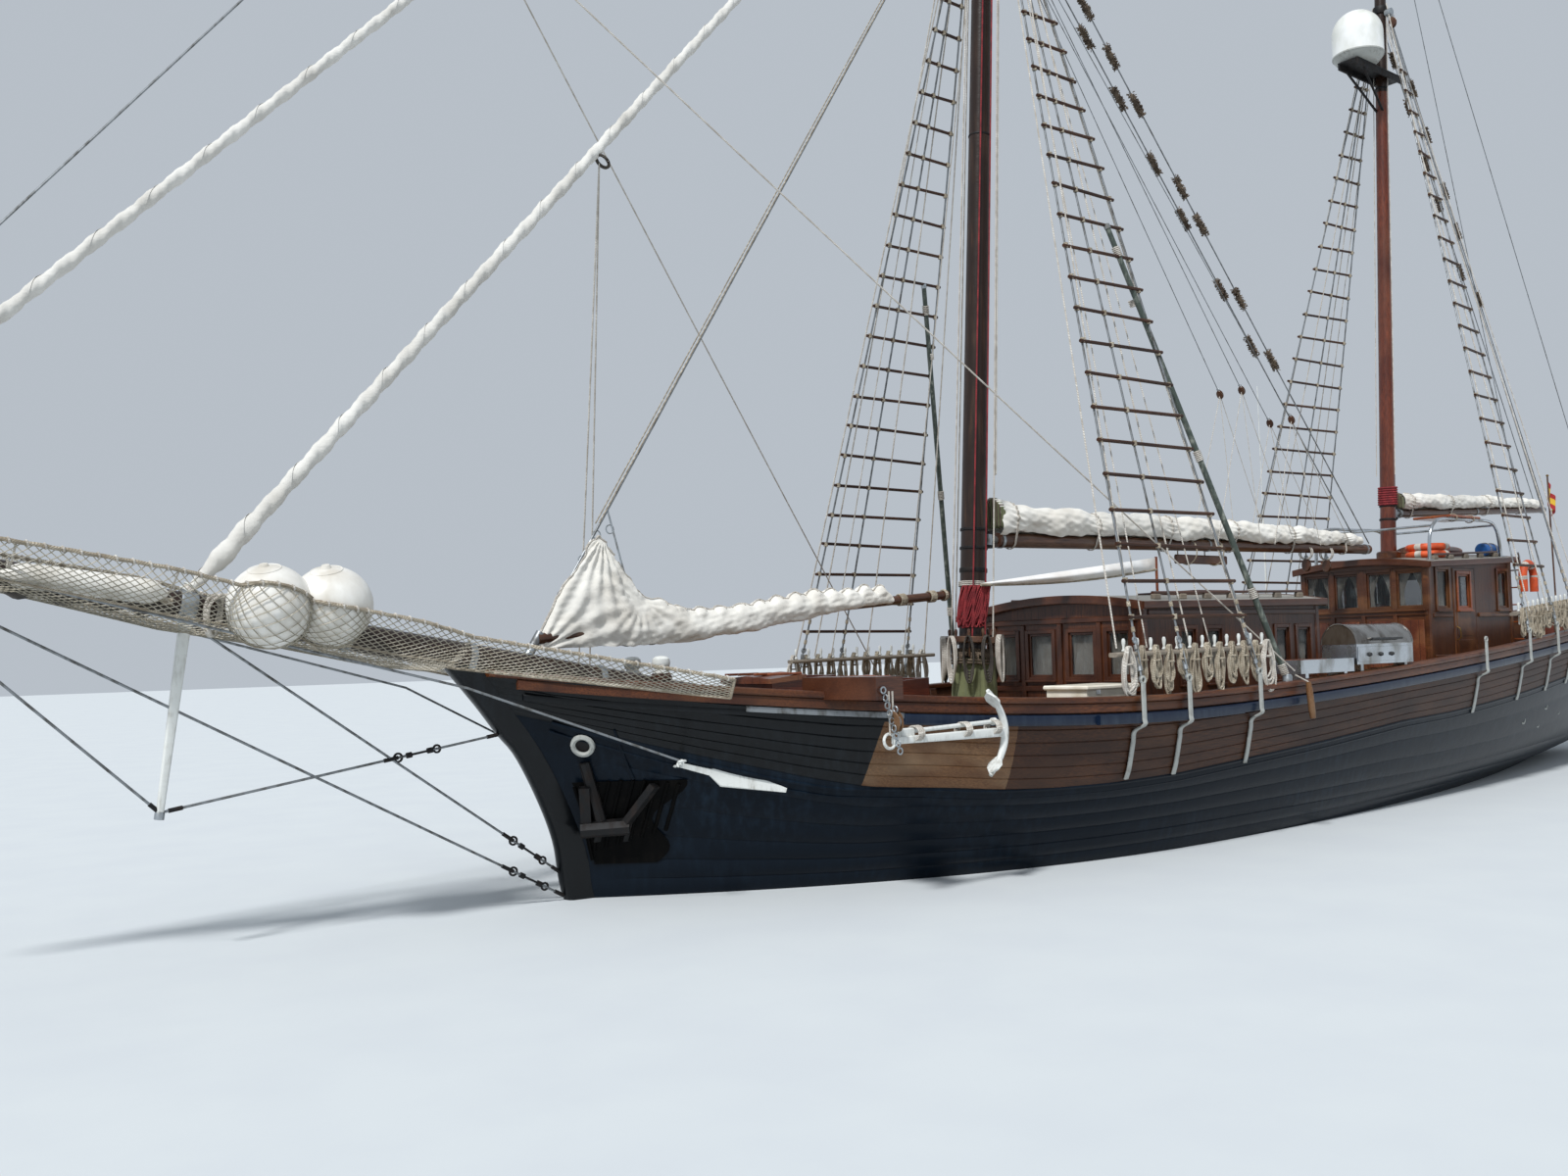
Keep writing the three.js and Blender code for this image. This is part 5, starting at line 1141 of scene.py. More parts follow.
def makeCover(name):
    cover, neck = covers[name], goosenecks[name]
    pivot, end = np.array(neck["pivot"]), np.array(neck["end"])
    length = np.linalg.norm(end - pivot)
    ahead = unit(end - pivot)
    table = np.array(cover["sections"])
    shares = np.linspace(table[0, 0], table[-1, 0], int(length / 0.022))
    halfWidth = np.interp(shares, table[:, 0], table[:, 1])
    halfHeight = np.interp(shares, table[:, 0], table[:, 2])
    along = shares * length
    ties = np.arange(along[0] + 0.25, along[-1] - 0.1, cover["tieEvery"])
    near = np.exp(-(np.abs(along[:, None] - ties[None]).min(1) / 0.12) ** 2)
    slump = 0.02 * np.sin(along * 2.1 + 1) + 0.012 * np.sin(along * 5.3)
    boomRadius = neck["radius"] * (1 - 0.2 * shares)
    angles = np.radians(np.linspace(-154, 154, 72))
    middle = pivot + ahead * along[:, None] + np.array([0, 0, 1]) * (halfHeight + 0.4 * boomRadius)[:, None]
    pinch = 1 - 0.1 * near
    flat = np.abs(np.sin(angles)) ** 0.85 * np.sign(np.sin(angles))
    across = (halfWidth * pinch)[:, None] * flat[None] * (1 - 0.1 * np.cos(angles)[None])
    above = ((halfHeight - 0.012) * (pinch + slump - 0.02))[:, None] * np.cos(angles)[None]
    points = (middle[:, None] + across[..., None] * np.array([0, 1, 0])
        + above[..., None] * np.array([0, 0, 1]))
    normal = outward(points)
    normal *= np.sign((normal * (points - middle[:, None])).sum(-1, keepdims=True))
    radiating = np.sin(angles * 17 + 3 * np.sin(along * 9)[:, None]) * near[:, None] * 0.008
    hollow = -0.022 * (1 - near)[:, None] * np.clip(creases(points, 0.8, 3), 0, 1)
    points = points + normal * (cover["crease"] * creases(points, 0.42, 5) + 0.006 * creases(points, 0.12,
        8) + radiating + hollow)[..., None]
    points[:, :, 1] = np.clip(points[:, :, 1], -halfWidth.max() - 0.012, halfWidth.max() + 0.012)
    shape = Shape()
    addGrid(shape, points)
    cloth = addPiece(f"{name}SailCover", shape, "sail", body=f"{name}_boom",
        stands=[f"{name}_sail_furled"], smooth=70)
    ropes = Shape()
    for tie in ties:
        at = int(np.argmin(np.abs(along - tie)))
        ring = points[at, 6:-6] + normal[at, 6:-6] * 0.007
        low = middle[at] - np.array([0, 0, 1]) * (halfHeight[at] + 0.4 * boomRadius[at])
        under = [low + (boomRadius[at] + 0.012) * np.array([0, sin(a), -cos(a)])
            for a in np.radians(np.linspace(60, -60, 9))]
        for shift in (0, 0.016):
            addTube(ropes, np.vstack([ring, under, ring[:1]]) + ahead * shift, 0.006, 5, 0)
        knot = ring[len(ring) // 3]
        addTube(ropes, smoothPath([knot, knot + (0, 0.02, 0.02), knot + (0.03, 0.03, -0.09)], 4), 0.007, 5, 0)
    laced = addPiece(f"{name}SailTies", ropes, "whiteRope", body=f"{name}_boom")
    # leaves of the flaked sail that show at the mast end of the cover
    leaves = Shape()
    for leaf in range(11):
        y = (leaf - 5) * 0.026
        low, high = 0.05 + 0.01 * (leaf % 2), 0.4 - 0.012 * abs(leaf - 5) ** 1.4
        rows = []
        for share in np.linspace(0, 1, 14):
            z = pivot[2] + neck["radius"] + low + (high - low) * share
            shrink = 1 if name == "main" else 0.72
            bend = 0.016 * sin(7 * share + leaf * 1.7)
            z = pivot[2] + (z - pivot[2]) * shrink
            rows.append([(pivot[0] - x, (y + bend * (x - 0.1) * 3) * shrink, z) for x in np.linspace(0.095,
                0.17, 6)])
        addGrid(leaves, rows, leaf % 2)
    front = addPiece(f"{name}SailLeaves", leaves, "greenCanvas frayed", body=f"{name}_boom",
        smooth=60)
    solid = front.modifiers.new("thickness", "SOLIDIFY")
    solid.thickness = 0.008


staysail = {
    "top": [(9.8, 2.25), (9.675, 2.497), (9.42, 2.872), (9.264, 3.096), (9.15, 3.215), (9.059, 3.101),
        (8.939, 2.906), (8.775, 2.727), (8.563, 2.619), (8.212, 2.564), (7.753, 2.572), (7.271, 2.63),
        (6.637, 2.731), (5.967, 2.777), (5.6, 2.759)],
    "low": [(9.8, 2.2), (9.287, 2.175), (8.769, 2.19), (8.222, 2.225), (7.762, 2.285), (7.282, 2.345),
        (6.778, 2.43), (6.248, 2.535), (5.6, 2.6)],
    "half": [(9.8, 0.02), (9.6, 0.06), (9.2, 0.075), (8.9, 0.1), (8.5, 0.125), (7.3, 0.135), (6.2, 0.12),
        (5.6, 0.085)],
}


def makeStaysail():
    xs = np.concatenate([np.linspace(9.79, 8.9, 110), np.linspace(8.89, 5.6, 190)])
    top = np.interp(xs, *np.array(staysail["top"][::-1]).T)
    low = np.interp(xs, *np.array(staysail["low"][::-1]).T)
    half = np.interp(xs, *np.array(staysail["half"][::-1]).T)
    aft = np.clip((8.9 - xs) / 0.5, 0, 1)
    scallops = np.abs(np.sin((xs - 5.6) * pi / 0.23)) ** 0.6
    top = top - 0.045 * aft * (1 - scallops)
    angles = np.radians(np.linspace(-158, 158, 76))
    middle = np.stack([xs, 0 * xs, (top + low) / 2], 1)
    rise = (top - low) / 2
    flat = np.sign(np.sin(angles)) * np.abs(np.sin(angles)) ** 0.7
    lean = 1 - 0.5 * np.clip(rise / 0.5, 0, 1)[:, None] * np.cos(angles)[None]  # fuller at the foot
    points = middle[:, None] + (half[:, None] * flat * lean)[..., None] * np.array([0, 1, 0])
    points = points + (rise[:, None] * np.cos(angles))[..., None] * np.array([0, 0, 1])
    normal = outward(points)
    normal *= np.sign((normal * (points - middle[:, None])).sum(-1, keepdims=True))
    depth = 0.011 * creases(points, 0.26, 11) + 0.004 * creases(points, 0.08, 12)
    for centre, spokes, size, reach in (((9.12, 3.22), 26, 0.022, 0.75), ((9.8, 2.18), 22, 0.02, 0.8),
            ((8.75, 2.62), 18, 0.014, 0.5)):
        dx, dz = points[..., 0] - centre[0], points[..., 2] - centre[1]
        far = np.hypot(dx, dz)
        depth = depth + size * np.sin(spokes * np.arctan2(dz, dx)) * np.clip(far / 0.2, 0,
            1) * np.exp(-far / reach)
    pleats = 0.014 * np.sin((xs * 27)[:, None] + 2.0 * points[..., 2] * 3) * np.clip(np.cos(angles), 0,
        1)[None]
    depth = depth + pleats * aft[:, None]
    thin = np.clip(half / 0.09, 0.25, 1)[:, None]
    points = points + normal * (depth * thin)[..., None]
    shape = Shape()
    addGrid(shape, points)
    cloth = addPiece("staysailCover", shape, "sail", body="staysail_boom",
        stands=["staysail_furled"], smooth=70)
    ropes = Shape()
    for x in np.arange(5.72, 8.7, 0.23):  # lacing through the puckered head
        at = int(np.argmin(np.abs(xs - x)))
        ring = points[at, 30:-30] + normal[at, 30:-30] * 0.006
        addTube(ropes, ring, 0.005, 5, 0)
    head = len(angles) // 2
    addTube(ropes, points[100:, head] + (0, 0, 0.012), 0.007, 6, 0, 3, 0.06)
    addTube(ropes, points[:96, head] + normal[:96, head] * 0.008, 0.011, 6, 0, 3, 0.08)
    for step in (30, 55, 75, 92):  # hanks on the stay
        place = points[step, head]
        reach = (place[0] - stayFoot[0]) / unit(stayHead - stayFoot)[0]
        size = min(0.04, np.linalg.norm(place - onStay(reach)) / 2 + 0.014)
        addRing(ropes, (place + onStay(reach)) / 2, (0, 1, 0), size, 0.006, 1, 12)
    addTube(ropes, [points[108, head], onStay(1.45), onStay(1.62)], 0.009, 6, 1)
    laced = addPiece("staysailLacing", ropes, "whiteRope galvanised", body="staysail_boom")


rolled = {
    "jib": {"foot": (12.72, 0, 2.65), "headZ": 13.06, "radii": (0.062, 0.034), "stands": "jib_furled"},
    "outerJib": {"foot": (15.36, 0, 3.13), "headZ": 15.41, "radii": (0.052, 0.028),
        "stands": "outer_jib_furled"},
}


def makeHeadsails():
    for name, stay in rolled.items():
        foot, head = np.array(stay["foot"]), mastAt("main", stay["headZ"])
        ahead = unit(head - foot)
        length = np.linalg.norm(head - foot)
        start, end = 0.1, length - mastRadius("main", stay["headZ"]) - 0.15
        along = np.arange(start, end, 0.028)
        radius = np.interp(along / length, (0, 1), stay["radii"])
        radius = radius * np.interp(along, (start, 0.34, 0.62, 0.95), (0.5, 1.18, 1.22, 1.0))
        path = foot + ahead * along[:, None]
        side, up = frames(path)
        turns = np.linspace(0, 2 * pi * 1.12, 26)
        twist = -along * 2 * pi / 0.56
        spiral = radius[:, None] * (0.955 + 0.09 * (turns / turns[-1])[None] ** 3)
        spiral = spiral * (1 + 0.1 * np.cos(2 * turns[None] + 0.5 * np.sin(along[:, None] * 2.3)))
        spiral = spiral + 0.0022 * np.sin(turns[None] * 3 + along[:, None] * 31)
        lay = turns[None] + twist[:, None]
        points = path[:, None] + (spiral * np.cos(lay))[..., None] * side[:, None]
        points = points + (spiral * np.sin(lay))[..., None] * up[:, None]
        shape = Shape()
        addGrid(shape, points[:, ::-1])
        cloth = addPiece(f"{name}Roll", shape, "rolledSail", stands=[stay["stands"]], smooth=80)
        gear = Shape()
        addTube(gear, [foot + ahead * -0.045, foot + ahead * 0.1], 0.022, 12, 0)
        profile = [(0.02, 0.03), (0.07, 0.032), (0.074, 0.038), (0.074, 0.046), (0.05, 0.05), (0.05, 0.075),
            (0.072, 0.08), (0.072, 0.088), (0.02, 0.092)]
        addLathe(gear, profile, foot, ahead, 24, 1)
        for turn in range(7):
            addRing(gear, foot + ahead * (0.053 + 0.003 * turn), ahead, 0.056, 0.005, 2)
        top = foot + ahead * end
        addTube(gear, [top - ahead * 0.05, mastAt("main", stay["headZ"]) - ahead * 0.02], 0.012, 10, 0)
        addTube(gear, [top - ahead * 0.02, top + ahead * 0.06], 0.026, 16, 0)
        fittings = addPiece(f"{name}Furler", gear, "galvanised whitePaint whiteRope")


def addStrands(shape, starts, ends, radius, finish=0):
    # many short three-sided strands at once
    starts, ends = np.asarray(starts, float), np.asarray(ends, float)
    ahead = unit(ends - starts)
    side = unit(np.cross(ahead, (0.31, 0.17, 0.93)))
    up = np.cross(ahead, side)
    rings = []
    for base in (starts, ends):
        for turn in range(3):
            angle = turn * 2 * pi / 3
            rings.append(base + radius * (cos(angle) * side + sin(angle) * up))
    points = np.stack(rings, 1)
    first = 6 * np.arange(len(starts))[:, None]
    faces = np.concatenate([first + [turn, (turn + 1) % 3, 3 + (turn + 1) % 3, 3 + turn]
        for turn in range(3)])
    shape.add(points, faces, finish)


net = {
    "sections": [(14.45, 0.26, 3.03, 2.75), (14.0, 0.35, 3.01, 2.67), (12.9, 0.55, 2.82, 2.4),
        (12.0, 0.62, 2.6, 2.26), (11.2, 0.75, 2.42, 2.08), (10.78, 0.76, 2.3, 2.04)],
    "wingEnd": (8.8, 1.48, 1.74, 1.55, 1.9),
    "cell": 0.055,  # real netting is finer; this still shows as a net
    "twine": 0.0042,
    "aft": 10.78,  # where the trough ends and the wings begin
    "curl": 1.38,  # radians from the trough's lowest line to its edge
    "bulge": 0.325,  # distance kept from the middle of a fender ball
    "lanyards": (13.9, 12.9, 12.0),  # tied up to the bowsprit
}
fenders = {"places": (12.23, 11.77), "squash": (1.0, 0.98), "y": 0.43, "z": 2.565, "radius": 0.31,
    "axis": (0.25, 0.3, 1)}


def netSurface(xs, around):
    # around runs from -1 on the starboard edge to 1 on the port edge
    table = np.array(net["sections"])[::-1]
    half, top, bottom = (np.interp(xs, table[:, 0], table[:, column]) for column in (1, 2, 3))
    curl = net["curl"]
    angle = around * curl
    y = half[:, None] * np.sin(angle) / sin(curl)
    fall = (np.cos(angle) - cos(curl)) / (1 - cos(curl))
    z = top[:, None] - (top - bottom)[:, None] * fall ** 0.8
    return np.stack([np.broadcast_to(xs[:, None], y.shape), y, z], -1)


def addNetting(shape, grid):
    # diamonds across a grid of points
    rows, columns = np.arange(grid.shape[0] - 1), np.arange(grid.shape[1] - 1)
    row, column = np.meshgrid(rows, columns, indexing="ij")
    even = (row + column) % 2 == 0
    addStrands(shape, grid[row, column][even], grid[row + 1, column + 1][even], net["twine"])
    addStrands(shape, grid[row + 1, column][~even], grid[row, column + 1][~even], net["twine"])


def makeNet():
    shape = Shape()
    xs = np.arange(net["aft"], net["sections"][0][0], net["cell"] * 0.62)
    around = np.linspace(-1, 1, 55)
    trough = netSurface(xs, around)
    trough = trough + (0, 0, 1) * (0.018 * creases(trough, 1.1, 21))[..., None]
    trough[:, :, 1][:, [0, -1]] = netSurface(xs, around)[:, [0, -1], 1]
    for x in fenders["places"]:  # the net bulges round the fender balls
        away = trough - np.array([x, fenders["y"], fenders["z"]])
        far = np.linalg.norm(away, axis=-1, keepdims=True)
        near = (far < net["bulge"]) & (trough[..., 1:2] > 0)
        trough = np.where(near, trough + away * (net["bulge"] / far - 1), trough)
    addNetting(shape, trough)
    ropes = Shape()
    share = np.linspace(0, 1, 62)[:, None]
    across = np.linspace(0, 1, 17)[None, :, None]
    for side in (1, -1):  # a wing of net runs aft from each edge of the trough
        edges = []
        for root, tip in (((0.314, 2.064), net["wingEnd"][1:3]), ((0.746, 2.306), net["wingEnd"][3:5])):
            x = net["aft"] * (1 - share) + net["wingEnd"][0] * share
            line = np.array(root) * (1 - share) + np.array(tip) * share
            edges.append(np.hstack([x, side * line[:, :1], line[:, 1:]]))
        low, high = edges
        wing = low[:, None] * (1 - across) + high[:, None] * across
        wing[..., 2] -= 0.05 * (across * (1 - across) * 4)[..., 0] * np.sin(share * pi)
        addNetting(shape, wing)
        edge = np.vstack([trough[::-1, -1 if side > 0 else 0], high])
        addTube(ropes, edge, 0.015, 8, 0, 3, 0.09)
        steps = np.concatenate([[0], np.cumsum(np.linalg.norm(np.diff(edge, axis=0), axis=1))])
        for far in np.arange(0.07, steps[-1], 0.11):  # seizings along the edge rope
            place = np.array([np.interp(far, steps, edge[:, axis]) for axis in range(3)])
            addRing(ropes, place, (1, 0.2, -0.3), 0.019, 0.008, 1, 8)
        lower = np.vstack([trough[::-1, 14 if side < 0 else -15], low])
        addTube(ropes, lower, 0.01, 6, 0)
        addTube(ropes, between(high[-1], low[-1], 6), 0.013, 6, 0)
        for x in net["lanyards"]:
            start = trough[int(np.argmin(np.abs(xs - x))), -1 if side > 0 else 0]
            spar = np.array([x, side * 0.1, 1.665 + (x - 8) * 0.194])
            addTube(ropes, smoothPath([start, (start + spar) / 2 + (0, 0, -0.03), spar], 6), 0.008, 6, 1)
            addRing(ropes, spar - (0, side * 0.1, 0), (1, 0, 0.194), 0.115 - 0.01 * (x - 12), 0.01, 1, 16)
    for loop in range(7):  # rope loops at the martingale's head
        y = 0.13 + 0.03 * (loop % 4)
        path = [(12.58 - 0.02 * loop, y, 2.66), (12.62, y + 0.05, 2.5 + 0.02 * loop),
            (12.6, y + 0.02, 2.36), (12.53, y - 0.02, 2.42), (12.5, y - 0.03, 2.6),
            (12.58 - 0.02 * loop, y, 2.66)]
        addTube(ropes, smoothPath(path, 5), 0.011, 6, 1)
    bundle = smoothPath([(14.1, 0.02, 2.76), (13.7, 0.06, 2.7), (13.2, 0.12, 2.62), (12.85, 0.16, 2.55)], 12)
    swell = 0.075 + 0.02 * np.sin(np.arange(len(bundle)) * 0.9)
    addTube(ropes, bundle, swell * np.clip(np.minimum(np.arange(len(bundle)) + 1, len(bundle) - np.arange(
        len(bundle))) / 4, 0.3, 1), 14, 2)
    addTube(ropes, bundle + (0, 0.02, 0.05), 0.03, 8, 0, 3, 0.15)
    addPiece("bowspritNetTwine", shape, "twine", stands=["bowsprit_net"])
    addPiece("netEdgeRopes", ropes, "hemp whiteRope darkRope")
    balls = Shape()
    radius, axis = fenders["radius"], unit(fenders["axis"])
    for x, squash in zip(fenders["places"], fenders["squash"]):
        middle = np.array([x, fenders["y"], fenders["z"]])
        curve = np.linspace(0.04, pi - 0.04, 26)
        profile = [(radius * sin(t), -radius * cos(t) * squash) for t in curve]
        addLathe(balls, profile, middle, axis, 36, 0)
        for t in (0.35, 2.75):
            seam = middle - axis * radius * cos(t) * squash
            addRing(balls, seam, axis, radius * sin(t) + 0.001, 0.005, 0, 30)
        top = middle + axis * 0.29
        addTube(balls, [top, top + axis * 0.035], [0.05, 0.03], 16, 0)
    spare = smoothPath([(13.95, 0.12, 2.8), (13.6, 0.16, 2.76), (13.2, 0.22, 2.7), (12.9, 0.26, 2.66)], 8)
    ends = np.clip(np.minimum(np.arange(len(spare)) + 0.5, len(spare) - 0.5 - np.arange(len(spare))) / 3,
        0.2, 1)
    addTube(balls, spare, 0.09 * ends, 20, 0)
    addPiece("netFenders", balls, "fender")


apron = {"heights": (1.335, 2.0), "reach": (0.115, 0.055), "pleats": (15, 31), "pleatDepth": 0.012,
    "teeth": 54, "fray": (0.05, 0.12)}


def makeApron():
    angles = np.linspace(-pi, pi, 241)
    heights = np.linspace(*apron["heights"], 26)
    share = (heights - heights[0]) / (heights[-1] - heights[0])
    low, high = apron["reach"]
    pleat = np.cos(angles * apron["pleats"][0]) + 0.35 * np.cos(angles * apron["pleats"][1] + 1)
    rows = []
    for z, t in zip(heights, share):
        radius = mastRadius("main", z) + low + (high - low) * t + apron["pleatDepth"] * pleat * (1 - 0.4 * t)
        radius = radius + 0.01 * np.sin(angles * 4 + z * 6)
        centre = mastAt("main", z) + (-0.05, 0.035, 0)
        rows.append(np.stack([centre[0] + radius * np.cos(angles), radius * np.sin(angles), 0 * angles + z],
            1))
    rows = np.array(rows)
    shape = Shape()
    addGrid(shape, rows[:, :-3])
    cloth = addPiece("mastApronCloth", shape, "greenCanvas", stands=["mast_apron"], smooth=60)
    trim = Shape()
    for z, radius, thickness in ((1.96, 0.075, 0.012), (1.93, 0.082, 0.012), (1.4, 0.118, 0.007)):
        addRing(trim, mastAt("main", z), (-0.0708, 0, 1), mastRadius("main", z) + radius, thickness, 0, 40)
    for tooth in range(apron["teeth"]):  # frayed collar over the top of the apron
        angle = tooth * 2 * pi / apron["teeth"]
        out = np.array([cos(angle), sin(angle), 0])
        reach = random.uniform(*apron["fray"])
        top = mastAt("main", 2.07) + out * (mastRadius("main", 2.07) + 0.035)
        path = [top, top + out * 0.035 + (0, 0, -0.03), top + out * 0.045 - (0, 0, reach)]
        addTube(trim, smoothPath(path, 3), [0.012] * 5 + [0.009, 0.004], 5, 0)
    addRing(trim, mastAt("main", 2.075), (-0.0708, 0, 1), mastRadius("main", 2.07) + 0.03, 0.022, 0, 40)
    collar = addPiece("mastCollar", trim, "frayed")


# Standing and running rigging beyond the shrouds
def addBlockAndSheave(shape, place, ahead, size, tone, sheave):
    # wooden block: rounded cheeks, sheave and strop
    ahead, place = unit(ahead), np.asarray(place)
    side = turnTo(ahead, (0, 1, 0.2))[:, 1]
    profile = [(0.001, 0), (size * 0.42, 0), (size * 0.5, size * 0.05), (size * 0.46, size * 0.13),
        (0.001, size * 0.16)]
    for way in (-1, 1):
        addLathe(shape, profile, np.zeros(3), side * way, 14, tone)
        cheek = shape.points[-1]
        cheek = cheek + np.outer(cheek @ ahead, ahead) * 0.45
        shape.points[-1] = cheek + place + side * way * size * 0.1
    addTube(shape, [place - side * size * 0.1, place + side * size * 0.1], size * 0.4, 14, sheave)
    addRing(shape, place + ahead * size * 0.85, side, size * 0.2, size * 0.06, sheave, 12)


def sprit(x, drop=0.0):
    return np.array([x, 0, bowsprit["heel"][2] + (x - 8) * bowsprit["slope"] - drop])


# x and length
martingale = {"head": 12.71, "foot": (12.9, 0, 1.07), "widths": (0.085, 0.052), "wire": 0.0105,
    "collars": ((12.71, 0.12), (14.78, 0.26), (14.69, 0.05))}


def makeMartingale():
    shape = Shape()
    head, foot = sprit(martingale["head"], 0.08), np.array(martingale["foot"])
    ahead = unit(foot - head)
    path = between(head, foot + ahead * 0.05, 12)
    widths = np.linspace(*martingale["widths"], 12)
    section = np.stack([roundedBox(width, width * 0.8, 0.014) for width in widths])
    addSweep(shape, path, section, 0, (1, 0, 0.12), (0, 1, 0))
    axis = unit(sprit(14) - sprit(12))
    for x, length in martingale["collars"]:
        radius = 0.15 - 0.075 * (x - 8) / 7.65
        profile = [(radius - 0.01, 0), (radius + 0.018, 0), (radius + 0.022, 0.01),
            (radius + 0.022, length - 0.01), (radius + 0.018, length), (radius - 0.01, length)]
        addLathe(shape, profile, sprit(x) - axis * length / 2, axis, 30, 1)
    stays = [(sprit(14.78, 0.1), foot), (sprit(14.69, 0.1), np.array([9.585, 0, 0.04])),
        (foot, np.array([10.19, 0, 1.48])), (sprit(12.69, 0.12), np.array([9.615, 0, 0.245]))]
    for place, (start, end) in enumerate(stays):
        addTube(shape, between(start, end, 6), martingale["wire"], 8, 2)
        span = unit(end - start)
        length = np.linalg.norm(end - start)
        reach = end - span * 0.55 if place in (1, 3) else end - span * 0.9
        if place != 0:
            addScrew(shape, reach, reach + span * 0.34, 3)
            addTube(shape, [reach - span * 0.12, reach], 0.017, 8, 3)
        for far in (0.06, length - 0.1):
            addTube(shape, [start + span * far, start + span * (far + 0.1)], 0.017, 8, 3)
    addLathe(shape, [(0.001, 0), (0.032, 0.004), (0.036, 0.02), (0.036, 0.06), (0.001, 0.064)],
        foot - ahead * 0.01, ahead, 16, 1)
    addPiece("martingaleRig", shape, "whitePaint galvanised wire blackIron", stands=["martingale"])
    wires = Shape()
    for side in (1, -1):  # bowsprit shrouds along the net down to plates on the bow
        plate = onHull(8.95, 1.165, 0.03, side)
        start, screw = sprit(14.74) + (0, side * 0.11, 0), np.array([9.2, side * 1.33, 1.24])
        bend = np.array([10.75, side * 0.6, 1.9])
        addTube(wires, [start, bend, screw], 0.01, 8, 0)
        addScrew(wires, plate, screw, 1)
        low, high = onHull(8.12, 0.915, 0.0, side), onHull(8.95, 1.18, 0.0, side)
        outer = unit(np.cross(low - high, (0, 0, 1)))
        outer = outer * np.sign(outer[1] * side)
        up = unit(np.cross(outer, low - high))
        up = up * np.sign(up[2])
        spade = [(0.0, 0.02), (0.3, 0.03), (0.42, 0.1), (1.0, 0.02), (1.0, -0.02), (0.42, -0.1),
            (0.3, -0.03), (0.0, -0.02)]
        rows = []
        for lift in (0.0, 0.03, 0.035):
            rows.append([high + (low - high) * share + up * rise * (1 - (lift > 0.032) * 0.12) + outer
                * lift for share, rise in spade])
        addGrid(wires, rows, 1, closed=True)
        wires.close(8, 8, 1)
    # topmast stay from the bowsprit's tip
    tip = np.array([15.6, 0, 3.17])
    addTube(wires, between(tip, mastAt("main", 18.5, 0, 0.07), 10), 0.009, 8, 0)
    addPiece("bowspritWires", wires, "wire whitePaint")


halyards = {  # each from its mast (height, y, distance ahead) to a point; then radius and tone
    "main": [
        ((12.4, 0.08, 0.05), (4.45, 2.44, 2.06), 0.007, 2),
        ((12.4, -0.08, 0.05), (4.35, -2.44, 2.06), 0.007, 2),
        ((11.6, 0.12, -0.08), (3.4, 2.44, 2.06), 0.007, 2),
        ((11.6, -0.12, -0.08), (3.1, -2.44, 2.06), 0.007, 2),
    ],
    "mizzen": [
        ((12.1, 0.06, -0.08), (-6.2, 2.26, 2.42), 0.007, 2),
        ((12.1, -0.06, -0.08), (-6.2, -2.26, 2.42), 0.007, 2),
        ((15.5, 0.05, -0.05), (-11.9, 0.7, 2.45), 0.007, 0),
        ((15.5, -0.05, -0.05), (-11.9, -0.7, 2.45), 0.007, 0),
    ],
}
toRails = {  # falls belayed on the pin rails: x of the pin, height at the mast; then y and height of the rail
    "main": (((4.92, 11.9), (4.62, 12.6), (3.75, 12.2), (2.72, 11.7)), 0.12, 2.44, 2.06),
    "mizzen": (((-4.35, 12.2), (-4.95, 11.8), (-5.9, 11.9)), 0.11, 2.28, 2.4),
}


